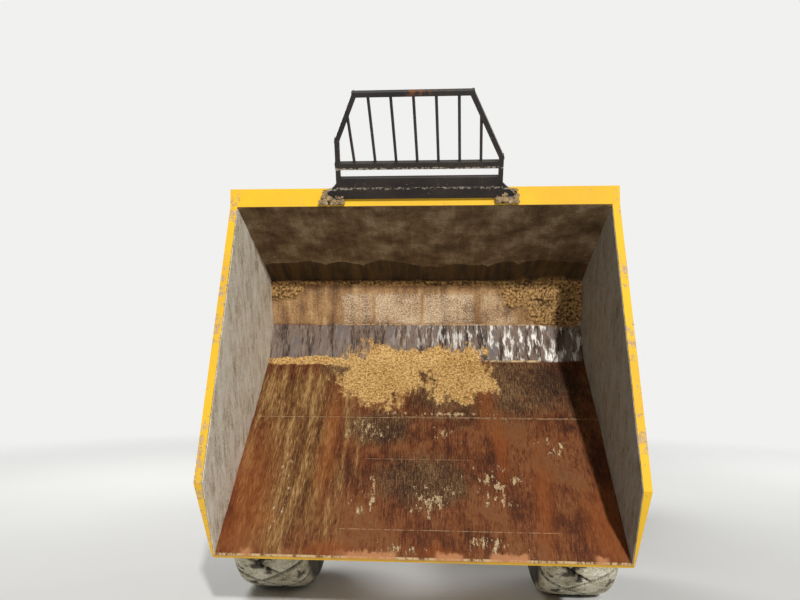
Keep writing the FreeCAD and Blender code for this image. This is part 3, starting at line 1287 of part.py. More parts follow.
def mirrors():
    """A mirror on an arm outside each post of the roll bar."""
    out = []
    for side in (1, -1):
        x = side * (ROPS_POST_X + ROPS_TUBE / 2)
        a, b = sorted((x, x + side * MIRROR_CLAMP))
        clamp = box(a, b, ROPS_Y - 30, ROPS_Y + 30, MIRROR_Z - 30, MIRROR_Z + 30)
        tip = at(x + side * MIRROR_ARM, ROPS_Y - 60, MIRROR_Z)
        arm = rod_between(at(x + side * MIRROR_CLAMP / 2, ROPS_Y, MIRROR_Z), tip, 10)
        a, b = sorted((tip.x - MIRROR_WIDTH / 2, tip.x + MIRROR_WIDTH / 2))
        head = box(a, b, tip.y - MIRROR_THICK + 5, tip.y + 5, MIRROR_Z - 90, MIRROR_Z - 90 + MIRROR_HEIGHT)
        head = head.makeFillet(12, head.Edges)
        out.append(joined(clamp, arm, head))
    return Part.makeCompound(out)


def handrails():
    """A bent tube handrail at each side of the entrance, standing on the platform's edge."""
    floor = PLATFORM_Z + PLATFORM_THICK
    x = BODY_HALF_WIDTH - 24
    y0, y1 = PLATFORM_FRONT + 160, PLATFORM_FRONT + 400
    bend = HANDRAIL_BEND
    mid = bend * (1 - math.sqrt(0.5))
    top = HANDRAIL_TOP
    path = Part.Wire([
        Part.LineSegment(at(x, y0, floor), at(x, y0, top - bend)).toShape(),
        Part.Arc(at(x, y0, top - bend), at(x, y0 + mid, top - mid), at(x, y0 + bend, top)).toShape(),
        Part.LineSegment(at(x, y0 + bend, top), at(x, y1 - bend, top)).toShape(),
        Part.Arc(at(x, y1 - bend, top), at(x, y1 - mid, top - mid), at(x, y1, top - bend)).toShape(),
        Part.LineSegment(at(x, y1, top - bend), at(x, y1, floor)).toShape(),
    ])
    ring = Part.Wire(Part.makeCircle(HANDRAIL_RADIUS, at(x, y0, floor), Z_AXIS))
    rail = path.makePipeShell([ring], True, False)
    return pair(rail)


def build():
    """Every node's shape, in the machine's own place with the front axle at Y 0."""
    left = TRACK / 2
    rim, tread = wheel_rim(), tyre()
    nodes = {
        "front_chassis": front_chassis(),
        "front_axle": axle(0, RAIL_X, GROUND_TO_RAIL_TOP - RAIL_HEIGHT),
        "skip_tub": tipped(skip_tub()),
        "skip_sides": tipped(pair(skip_side())),
        "skip_rear_rim": tipped(skip_rear_rim()),
        "skip_side_rims": tipped(pair(skip_side_rim())),
        "skip_lip_bar": tipped(skip_lip_bar()),
        "skip_underframe": tipped(skip_underframe()),
        "skip_back_ribs": tipped(skip_back_ribs()),
        "skip_guard": tipped(skip_guard()),
        "tip_ram_barrels": pair(tip_ram_barrel()),
        "tip_ram_rods": pair(tip_ram_rod()),
        "steer_ram_barrel": steer_ram_barrel(),
        "steer_ram_rod": steer_ram_rod(),
        "rear_chassis": rear_chassis(),
        "rear_axle": axle(WHEELBASE, REAR_RAIL_X, REAR_RAIL_BOTTOM),
        "counterweight": counterweight(),
        "engine_block": engine_block(),
        "engine_bay_panels": engine_bay_panels(),
        "bonnet": bonnet(),
        "platform": platform(),
        "fuel_tank": tank(1),
        "hydraulic_tank": tank(-1),
        "steps": Part.makeCompound([step(1), step(-1)]),
        "rear_mudguards": pair(mudguard()),
        "seat_base": seat_base(),
        "seat_cushion": seat_cushion(),
        "seat_back": seat_back(),
        "console": console(),
        "steering_wheel": steering_wheel(),
        "rops_frame": rops_frame(),
        "exhaust_stack": exhaust_stack(),
        "headlamps": lamp_posts(),
        "tail_lamps": tail_lamps(),
        "beacon": beacon(),
        "mirrors": mirrors(),
        "handrails": handrails(),
    }
    for end, y in (("front", 0.0), ("rear", WHEELBASE)):
        for name, x in (("left", left), ("right", -left)):
            outward = rim if name == "left" else mirrored(rim)
            nodes[f"rim_{end}_{name}"] = placed(outward, x, y)
            nodes[f"tyre_{end}_{name}"] = placed(tread, x, y)
    return nodes


def main():
    nodes = build()
    whole = FreeCAD.BoundBox()
    for shape in nodes.values():
        whole.add(shape.BoundBox)
    shift = at(-whole.Center.x, -whole.Center.y, -whole.ZMin)
    os.makedirs("parts", exist_ok=True)
    for name, shape in sorted(nodes.items()):
        moved = shape.copy()
        moved.translate(shift)
        if not moved.isValid():
            print("not valid:", name)
        moved.exportStep(os.path.join("parts", name + ".step"))
    places = {
        "tip_pin": TIP_PIN,
        "steer_pivot": at(0, PIVOT_Y, FORK_TOP_Z),
        "tip_ram_base": tip_ram_ends()[0],
        "tip_ram_head": tip_ram_ends()[1],
        "steer_ram_base": steer_ram_ends()[0],
        "steer_ram_head": steer_ram_ends()[1],
        "bonnet_hinge": at(0, BONNET_HINGE_Y, BONNET_HINGE_Z),
        "front_axle": at(TRACK / 2, 0, TYRE_RADIUS),
        "rear_axle": at(TRACK / 2, WHEELBASE, TYRE_RADIUS),
        "tow_pin": at(0, REAR_RAIL_END + COUNTERWEIGHT_DEPTH + TOW_REACH - 50,
                      COUNTERWEIGHT_BOTTOM + 60 + TOW_PLATE_THICK + TOW_GAP / 2),
        "front_tie_eye": at(RAIL_X, FRONT_RAIL_START - FRONT_TIE_REACH,
                            GROUND_TO_RAIL_TOP - RAIL_HEIGHT + 60),
        "rear_tie_eye": at(COUNTERWEIGHT_WIDTH / 2 - COUNTERWEIGHT_CORNER - 60,
                           REAR_RAIL_END + COUNTERWEIGHT_DEPTH + TIE_REACH, COUNTERWEIGHT_BOTTOM + 90),
    }
    for name, point in places.items():
        moved = point + shift
        print("place", name, round(moved.x, 4), round(moved.y, 4), round(moved.z, 4))


main()
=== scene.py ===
"""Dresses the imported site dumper: finishes, dried dirt, small fittings, a camera and soft light."""

from __future__ import annotations

import logging
import math
import random
from dataclasses import dataclass
from enum import Enum
from typing import Iterable, Mapping, Optional, Sequence, Union

import bmesh
import bpy
from mathutils import Matrix, Vector, noise


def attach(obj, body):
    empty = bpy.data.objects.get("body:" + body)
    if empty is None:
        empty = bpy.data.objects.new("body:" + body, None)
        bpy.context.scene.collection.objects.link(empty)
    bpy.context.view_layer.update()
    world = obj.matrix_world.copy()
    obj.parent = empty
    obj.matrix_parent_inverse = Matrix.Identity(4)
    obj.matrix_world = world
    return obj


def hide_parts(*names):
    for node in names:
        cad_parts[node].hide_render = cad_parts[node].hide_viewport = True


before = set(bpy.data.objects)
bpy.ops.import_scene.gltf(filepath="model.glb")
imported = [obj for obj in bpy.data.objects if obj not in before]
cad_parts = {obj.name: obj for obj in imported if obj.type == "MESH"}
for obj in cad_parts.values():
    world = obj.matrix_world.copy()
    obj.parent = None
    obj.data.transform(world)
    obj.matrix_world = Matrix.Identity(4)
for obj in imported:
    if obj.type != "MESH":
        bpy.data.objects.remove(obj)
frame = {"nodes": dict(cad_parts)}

LOG = logging.getLogger("dumper")

Colour = tuple[float, float, float]
Value = Union[float, Colour, "Signal"]
Point = tuple[float, float, float]

# The places in this file are measured from a point this far behind the middle of the machine's length.
ORIGIN = Vector((0.0, -0.017681, 0.0))

X_UNIT = Vector((1, 0, 0))
Y_UNIT = Vector((0, 1, 0))
Z_UNIT = Vector((0, 0, 1))


def srgb(red: int, green: int, blue: int) -> Colour:
    """A colour written as screen values from 0 to 255, as the linear values that shaders use."""
    parts = []
    for part in (red, green, blue):
        share = part / 255
        parts.append(share / 12.92 if share <= 0.04045 else ((share + 0.055) / 1.055) ** 2.4)
    return (parts[0], parts[1], parts[2])


def level_way(degrees: float) -> Vector:
    """A level direction, turned from +X towards +Y."""
    turn = math.radians(degrees)
    return Vector((math.cos(turn), math.sin(turn), 0.0))


def ease(value: float, low: float, high: float) -> float:
    """A smooth step from 0 at low to 1 at high, which also runs downwards where low is over high."""
    share = min(max((value - low) / (high - low), 0.0), 1.0)
    return share * share * (3 - 2 * share)


def circle(middle: Vector, side: Vector, up: Vector, radius: float, count: int,
           start: float = 0.0) -> list[Vector]:
    """Points spaced evenly on a circle.

    Args:
        middle: The circle's middle.
        side: Direction of the first point.
        up: Direction of the point a quarter turn on.
        radius: Its radius.
        count: How many points.
        start: Turn of the first point from side, in radians.

    Returns:
        The points.
    """
    turns = [start + 2 * math.pi * k / count for k in range(count)]
    return [middle + (side * math.cos(turn) + up * math.sin(turn)) * radius for turn in turns]


class Signal:
    """One output socket, on which arithmetic adds the nodes that it needs."""

    def __init__(self, shader: "Shader", socket: bpy.types.NodeSocket) -> None:
        """Wraps a socket.

        Args:
            shader: The shader that the socket's node belongs to.
            socket: The output socket.
        """
        self.shader = shader
        self.socket = socket

    @property
    def is_vector(self) -> bool:
        """Whether the socket carries a vector or a colour."""
        return self.socket.type in {"VECTOR", "RGBA"}

    def join(self, operation: str, left: Value, right: Value) -> "Signal":
        """Adds the Math or Vector Math node of an operator.

        Args:
            operation: The node's operation.
            left: First operand.
            right: Second operand.

        Returns:
            The result's signal.
        """
        sides = [left, right]
        if not any(isinstance(side, Signal) and side.is_vector for side in sides):
            return self.shader.add("ShaderNodeMath", {"operation": operation}, {0: left, 1: right})
        sides = [(side,) * 3 if isinstance(side, (int, float)) else side for side in sides]
        return self.shader.add("ShaderNodeVectorMath", {"operation": operation}, dict(enumerate(sides)))

    def __add__(self, other: Value) -> "Signal":
        """Sum."""
        return self.join("ADD", self, other)

    def __radd__(self, other: Value) -> "Signal":
        """Sum with the signal on the right."""
        return self.join("ADD", other, self)

    def __sub__(self, other: Value) -> "Signal":
        """Difference."""
        return self.join("SUBTRACT", self, other)

    def __rsub__(self, other: Value) -> "Signal":
        """Difference with the signal on the right."""
        return self.join("SUBTRACT", other, self)

    def __mul__(self, other: Value) -> "Signal":
        """Product."""
        return self.join("MULTIPLY", self, other)

    def __rmul__(self, other: Value) -> "Signal":
        """Product with the signal on the right."""
        return self.join("MULTIPLY", other, self)

    def larger(self, other: Value) -> "Signal":
        """The larger of the two."""
        return self.join("MAXIMUM", self, other)

    def size(self) -> "Signal":
        """The value without its sign."""
        return self.shader.add("ShaderNodeMath", {"operation": "ABSOLUTE"}, {0: self})

    def dot(self, direction: Sequence[float]) -> "Signal":
        """The vector's length along a direction."""
        sockets = {0: self, 1: tuple(direction)}
        return self.shader.add("ShaderNodeVectorMath", {"operation": "DOT_PRODUCT"}, sockets, "Value")

    def ramp(self, low: float, high: float, start: float = 0.0, end: float = 1.0) -> "Signal":
        """A smooth step of the value.

        Args:
            low: Value at which the result is start.
            high: Value at which the result is end.
            start: Result up to low.
            end: Result from high on.

        Returns:
            The stepped signal.
        """
        if low > high:
            low, high, start, end = high, low, end, start
        sockets = {0: self, 1: low, 2: high, 3: start, 4: end}
        return self.shader.add("ShaderNodeMapRange", {"interpolation_type": "SMOOTHSTEP"}, sockets)


class Shader:
    """A material's node tree, with one method that adds any node."""

    def __init__(self, name: str) -> None:
        """Starts a material whose node tree is empty.

        Args:
            name: The material's name.
        """
        self.material = bpy.data.materials.new(name)
        self.material.use_nodes = True
        self.tree = self.material.node_tree
        self.tree.nodes.clear()
        self._place: Optional[Signal] = None

    def add(
        self,
        kind: str,
        settings: Optional[Mapping[str, object]] = None,
        sockets: Optional[Mapping[Union[str, int], Value]] = None,
        output: Union[str, int] = 0,
    ) -> Signal:
        """Adds a node.

        Args:
            kind: The node's type.
            settings: Its properties, set first. stops are a ramp's positions and colours.
            sockets: Values or signals of its inputs, by name or number.
            output: The output to give back, by name or number.

        Returns:
            The chosen output's signal.
        """
        made = self.tree.nodes.new(kind)
        for name, setting in (settings or {}).items():
            if name == "stops":
                self._set_stops(made.color_ramp, setting)
            else:
                setattr(made, name, setting)
        for key, value in (sockets or {}).items():
            socket = made.inputs[key]
            if isinstance(value, Signal):
                self.tree.links.new(value.socket, socket)
            elif isinstance(value, tuple) and socket.type == "RGBA":
                socket.default_value = (*value, 1.0)
            else:
                socket.default_value = value
        return Signal(self, made.outputs[output])

    @staticmethod
    def _set_stops(ramp: bpy.types.ColorRamp, stops: Sequence[tuple[float, Colour]]) -> None:
        """Writes a ramp's stops, each a position and a colour."""
        while len(ramp.elements) < len(stops):
            ramp.elements.new(1.0)
        for element, (position, colour) in zip(ramp.elements, stops):
            element.position = position
            element.color = (*colour, 1.0)

    @property
    def place(self) -> Signal:
        """Where a point is in the piece's own frame, in metres."""
        if self._place is None:
            self._place = self.add("ShaderNodeTexCoord", output="Object")
        return self._place

    def along(self, axis: str) -> Signal:
        """One coordinate, X, Y or Z, of the place."""
        return self.add("ShaderNodeSeparateXYZ", None, {0: self.place}, axis)

    def painted(self, name: str) -> Signal:
        """A value that the mesh carries on its points."""
        return self.add("ShaderNodeAttribute", {"attribute_name": name}, None, "Fac")

    def cloud(self, scale: float, detail: float = 4.0, rough: float = 0.55,
              where: Optional[Signal] = None) -> Signal:
        """Cloudy noise from 0 to 1.

        Args:
            scale: Clouds per metre.
            detail: How many octaves.
            rough: How strong the fine octaves are.
            where: The place, if not the piece's own.

        Returns:
            The noise.
        """
        sockets = {"Vector": where or self.place, "Scale": scale, "Detail": detail, "Roughness": rough}
        return self.add("ShaderNodeTexNoise", {"noise_dimensions": "3D"}, sockets, 0)

    def cells(self, scale: float, feature: str = "F1", where: Optional[Signal] = None) -> Signal:
        """Distance in a pattern of cells, to their middles or to their edges."""
        settings = {"feature": feature, "voronoi_dimensions": "3D"}
        sockets = {"Vector": where or self.place, "Scale": scale}
        return self.add("ShaderNodeTexVoronoi", settings, sockets, "Distance")

    def stretched(self, x: float, y: float, z: float, where: Optional[Signal] = None) -> Signal:
        """The place scaled along each axis, for streaks."""
        return (where or self.place) * (x, y, z)

    def mix(self, share: Value, under: Value, over: Value) -> Signal:
        """A colour between two colours.

        Args:
            share: How much of over there is.
            under: Colour at share 0.
            over: Colour at share 1.

        Returns:
            The mixed colour.
        """
        return self.add("ShaderNodeMix", {"data_type": "RGBA"}, {0: share, 6: under, 7: over}, 2)

    def blend(self, share: Value, under: Value, over: Value) -> Signal:
        """A number between two numbers."""
        return self.add("ShaderNodeMix", {"data_type": "FLOAT"}, {0: share, 2: under, 3: over}, 0)

    def stops(self, share: Value, *colours: Colour) -> Signal:
        """A colour along an even ramp of colours."""
        last = len(colours) - 1
        spaced = [(index / last, colour) for index, colour in enumerate(colours)]
        return self.add("ShaderNodeValToRGB", {"stops": spaced}, {0: share}, "Color")


@dataclass
class Surface:
    """What a finish gives at a point, before it becomes a material."""

    colour: Value
    rough: Value = 0.6
    metal: Value = 0.0
    height: Value = 0.0

    def under(self, shader: Shader, mask: Value, over: "Surface") -> "Surface":
        """This surface with another laid over it.

        Args:
            shader: The shader that both are part of.
            mask: Where the other covers this one, from 0 to 1.
            over: The upper surface.

        Returns:
            The two as one surface.
        """
        def meet(under: Value, upper: Value) -> Value:
            """A number between the two, or the number that both are."""
            return under if under == upper else shader.blend(mask, under, upper)

        return Surface(
            shader.mix(mask, self.colour, over.colour),
            meet(self.rough, over.rough),
            meet(self.metal, over.metal),
            meet(self.height, over.height),
        )


class Finish:
    """A kind of surface. Each kind says what its surface is, and material makes a material of it."""

    name = "finish"
    bump = 0.6
    depth = 0.002
    coat = 0.0
    specular = 0.5

    def surface(self, shader: Shader) -> Surface:
        """The finish's surface."""
        raise NotImplementedError

    def material(self) -> bpy.types.Material:
        """The finish as a material, made once."""
        made = bpy.data.materials.get(self.name)
        if made:
            return made
        shader = Shader(self.name)
        surface = self.surface(shader)
        sockets: dict[Union[str, int], Value] = {
            "Base Color": surface.colour,
            "Roughness": surface.rough,
            "Metallic": surface.metal,
            "Coat Weight": self.coat,
            "Specular IOR Level": self.specular,
        }
        if isinstance(surface.height, Signal):
            relief = {"Strength": self.bump, "Distance": self.depth, "Height": surface.height}
            sockets["Normal"] = shader.add("ShaderNodeBump", None, relief)
        body = self.seen(shader, shader.add("ShaderNodeBsdfPrincipled", None, sockets, "BSDF"))
        output = shader.tree.nodes.new("ShaderNodeOutputMaterial")
        shader.tree.links.new(body.socket, output.inputs["Surface"])
        return shader.material

    def seen(self, shader: Shader, body: Signal) -> Signal:
        """What reaches the material's output: the body itself, unless a finish lays more over it."""
        return body


class Forms:
    """Collects closed forms into one mesh, in metres, with places measured from ORIGIN."""

    least = 0.0003

    def __init__(self) -> None:
        """Starts empty."""
        self.points: list[Vector] = []
        self.faces: list[tuple[int, ...]] = []

    def skin(self, rings: Sequence[Sequence[Vector]], caps: bool = True) -> None:
        """Skins a row of closed rings that have the same number of points.

        Args:
            rings: The rings, from one end to the other.
            caps: Whether the two ends are closed. Without caps the last ring meets the first.
        """
        start, count, rows = len(self.points), len(rings[0]), len(rings)
        for ring in rings:
            self.points.extend(Vector(point) for point in ring)
        for row in range(rows - 1 if caps else rows):
            here, after = start + row * count, start + (row + 1) % rows * count
            for k in range(count):
                m = (k + 1) % count
                self.faces.append((here + k, here + m, after + m, after + k))
        if caps:
            self.faces.append(tuple(reversed(range(start, start + count))))
            self.faces.append(tuple(range(start + (rows - 1) * count, start + rows * count)))

    def turned(self, profile: Sequence[tuple[float, float]], origin: Sequence[float],
               axis: Sequence[float], sides: int = 24, start_turn: float = 0.0) -> None:
        """A turned form.

        Args:
            profile: Pairs of distance along the axis and radius.
            origin: Where the distance is 0.
            axis: Direction of the axis.
            sides: How many sides it has around.
            start_turn: Turn of the first side, in radians.
        """
        way = Vector(axis).normalized()
        side = way.orthogonal().normalized()
        up = way.cross(side)
        middle = Vector(origin)
        self.skin([circle(middle + way * reach, side, up, max(radius, self.least), sides, start_turn)
                   for reach, radius in profile])

    def rod(self, start: Sequence[float], end: Sequence[float], radius: float, sides: int = 16,
            edge: float = 0.0) -> None:
        """A round rod between two points, with an optional chamfer at its ends."""
        a, b = Vector(start), Vector(end)
        length = (b - a).length
        profile = [(0, radius), (length, radius)]
        if edge:
            profile = [(0, radius - edge), (edge, radius), (length - edge, radius), (length, radius - edge)]
        self.turned(profile, a, b - a, sides)

    def block(self, low: Sequence[float], high: Sequence[float], edge: float = 0.002,
              turn: Optional[Matrix] = None) -> None:
        """A box with chamfered edges.

        Args:
            low: Its lowest corner.
            high: Its highest corner.
            edge: Width of the chamfer.
            turn: A matrix for its points, if any.
        """
        x0, y0, z0 = low
        x1, y1, z1 = high
        rings = []
        for z, inset in ((z0, edge), (z0 + edge, 0.0), (z1 - edge, 0.0), (z1, edge)):
            a0, a1, b0, b1 = x0 + inset, x1 - inset, y0 + inset, y1 - inset
            c = edge * 0.8
            ring = [(a0 + c, b0), (a1 - c, b0), (a1, b0 + c), (a1, b1 - c),
                    (a1 - c, b1), (a0 + c, b1), (a0, b1 - c), (a0, b0 + c)]
            rings.append([Vector((x, y, z)) for x, y in ring])
        if turn is not None:
            rings = [[turn @ point for point in ring] for ring in rings]
        self.skin(rings)

    def tube(self, path: Sequence[Sequence[float]], radius: float, sides: int = 12,
             closed: bool = False) -> None:
        """A round tube along a line of points.

        Args:
            path: The points.
            radius: The tube's radius.
            sides: How many sides it has around.
            closed: Whether it joins up with its start.
        """
        line = [Vector(point) for point in path]
        count = len(line)
        side: Optional[Vector] = None
        rings = []
        for k, point in enumerate(line):
            before = line[k - 1] if closed or k else point
            after = line[(k + 1) % count] if closed or k + 1 < count else point
            way = (after - before).normalized()
            side = way.orthogonal() if side is None else side - way * side.dot(way)
            side.normalize()
            rings.append(circle(point, side, way.cross(side), radius, sides))
        self.skin(rings, caps=not closed)

    def bolt(self, seat: Sequence[float], axis: Sequence[float], across: float = 0.024) -> None:
        """A hexagon head on its washer.

        Args:
            seat: Where the washer lies.
            axis: Which way the head points.
            across: Size of the head across its flats.
        """
        radius = across / math.sqrt(3)
        washer = [(0, across * 0.8), (across * 0.1, across * 0.8), (across * 0.12, across * 0.7)]
        self.turned(washer, seat, axis, 16)
        head = [(across * 0.11, radius), (across * 0.62, radius), (across * 0.74, radius * 0.82)]
        self.turned(head, seat, axis, 6, random.uniform(0, 1))

    def lump(self, centre: Sequence[float], reach: Sequence[float], seed: float, rough: float = 0.35,
             rings: int = 9, sides: int = 14) -> None:
        """A rough lump of dried mud.

        Args:
            centre: Its middle.
            reach: Its half sizes along X, Y and Z.
            seed: Shifts the noise, so that each lump differs.
            rough: How far the noise moves its surface, as a share of its size.
            rings: Rows of points from pole to pole.
            sides: Points around.
        """
        middle, size = Vector(centre), Vector(reach)
        rows = []
        for row in range(rings):
            tilt = math.pi * (row + 0.5) / rings
            pole = Z_UNIT * math.cos(tilt)
            ring = []
            for way in circle(pole, X_UNIT, Y_UNIT, math.sin(tilt), sides):
                grow = 1 + rough * noise.fractal(way * 1.7 + Vector((seed, 0, seed)), 1.0, 2.0, 4)
                ring.append(middle + way * size * grow)
            rows.append(ring)
        self.skin(rows)

    def bead(self, start: Sequence[float], end: Sequence[float], radius: float, seed: float = 0.0) -> None:
        """A weld bead along a straight seam, whose surface ripples as it was laid."""
        a, b = Vector(start), Vector(end)
        steps = max(int((b - a).length / 0.012), 2)
        way = (b - a).normalized()
        side = way.orthogonal().normalized()
        up = way.cross(side)
        rings = []
        for k in range(steps + 1):
            point = a + (b - a) * (k / steps)
            swell = radius * (1 + 0.22 * math.sin(k * 2.1 + seed) + 0.1 * noise.noise(point * 60))
            rings.append(circle(point, side, up, swell, 6))
        self.skin(rings)

    def mirror(self) -> None:
        """Adds the mirror image of everything so far, across the machine's middle."""
        start = len(self.points)
        self.points += [Vector((-point.x, point.y, point.z)) for point in self.points]
        self.faces += [tuple(start + k for k in reversed(face)) for face in list(self.faces)]

    def piece(self, name: str, body: str, finish: Finish, slot: str,
              smooth: float = 35.0) -> bpy.types.Object:
        """Makes the object, with its finish, and lets it ride.

        Args:
            name: The piece's name.
            body: The body that it moves with.
            finish: Its finish.
            slot: The record's material slot that it belongs to. It is not used.
            smooth: Angle in degrees up to which edges are smooth.

        Returns:
            The object.
        """
        mesh = bpy.data.meshes.new(name)
        mesh.from_pydata([tuple(point) for point in self.points], [], self.faces)
        return place_mesh(mesh, name, body, finish, smooth)


def place_mesh(mesh: bpy.types.Mesh, name: str, body: str, finish: Finish,
               smooth: float = 35.0) -> bpy.types.Object:
    """Puts a mesh into the scene as a piece.

    Args:
        mesh: The mesh, in metres, with places measured from ORIGIN.
        name: The piece's name.
        body: The body that it moves with.
        finish: Its finish.
        smooth: Angle in degrees up to which edges are smooth.

    Returns:
        The object.
    """
    mesh.validate()
    mesh.transform(Matrix.Translation(ORIGIN))
    mesh.shade_smooth()
    mesh.set_sharp_from_angle(angle=math.radians(smooth))
    made = bpy.data.objects.new(name, mesh)
    bpy.context.scene.collection.objects.link(made)
    made.data.materials.append(finish.material())
    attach(made, body)
    LOG.info("%s: %d faces on %s", name, len(mesh.polygons), body)
    return made


def write_values(mesh: bpy.types.Mesh, values: Mapping[str, Sequence[float]]) -> None:
    """Stores named values on a mesh's points, for its finish to read."""
    for name, row in values.items():
        layer = mesh.attributes.new(name, "FLOAT", "POINT")
        layer.data.foreach_set("value", row)


class Soil(Enum):
    """What lies on the skip's inside."""

    SAND = "sand"
    MUD = "mud"
    FLAKE = "flake"
    RUST = "orange"
    GOLD = "gold"
    GRIME = "grime"


@dataclass(frozen=True)
class Stain:
    """A patch of soil on the folded sheet: its middle across and along, and its half sizes."""

    soil: Soil
    x: float
    along: float
    half_width: float
    half_length: float


@dataclass(frozen=True)
class Mark:
    """A thin pale mark across the skip: its place along the sheet, half width, two ends and cover."""

    along: float
    half: float
    start: float
    end: float
    cover: float


@dataclass(frozen=True)
class SkipLines:
    """The skip's inside line in its tipped place, worked out from its plates' lengths and angles."""

    pin: Vector
    bottom_ahead: float = 0.376
    bottom_above: float = 0.085
    floor_length: float = 1.437
    bottom_length: float = 0.272
    heel_length: float = 0.319
    back_height: float = 0.878
    cheek_length: float = 0.463
    floor_rise: float = 23.6
    heel_rise: float = 33.6
    back_rise: float = 88.8
    cheek_rise: float = 48.2
    tip: float = 70.0
    half_inside: float = 1.083
    wear_length: float = 0.930
    wear_thick: float = 0.006
    band_rise: float = 24.0

    def onward(self, point: Vector, degrees: float, length: float) -> Vector:
        """The point a length away, in a direction given for the lowered skip."""
        turn = math.radians(degrees + self.tip)
        return point + Vector((0, math.cos(turn), math.sin(turn))) * length

    @property
    def corners(self) -> list[Vector]:
        """Lip, front and back of the bottom plate, top of the heel and top of the back."""
        turn = Matrix.Rotation(math.radians(self.tip), 3, "X")
        front = self.pin + turn @ Vector((0, self.bottom_ahead, self.bottom_above))
        lip = self.onward(front, 180 - self.floor_rise, self.floor_length)
        back = self.onward(front, 0, self.bottom_length)
        heel = self.onward(back, self.heel_rise, self.heel_length)
        return [lip, front, back, heel, self.onward(heel, self.back_rise, self.back_height)]

    @property
    def rim_line(self) -> list[Vector]:
        """The side's upper edge: lip, cheek and top of the back."""
        corners = self.corners
        return [corners[0], self.onward(corners[0], self.cheek_rise, self.cheek_length), corners[-1]]

    @property
    def stations(self) -> list[float]:
        """How far along the sheet each corner is, from the lip."""
        lengths = [0.0, self.floor_length, self.bottom_length, self.heel_length, self.back_height]
        return [sum(lengths[: k + 1]) for k in range(len(lengths))]

    @staticmethod
    def point_on(line: Sequence[Vector], share: float) -> tuple[Vector, int]:
        """The point at a share of a line's length, and which stretch it is on."""
        lengths = [(b - a).length for a, b in zip(line, line[1:])]
        left = share * sum(lengths)
        for k, length in enumerate(lengths):
            if left <= length or k == len(lengths) - 1:
                return line[k].lerp(line[k + 1], left / length), k
            left -= length
        return line[-1], len(lengths) - 1


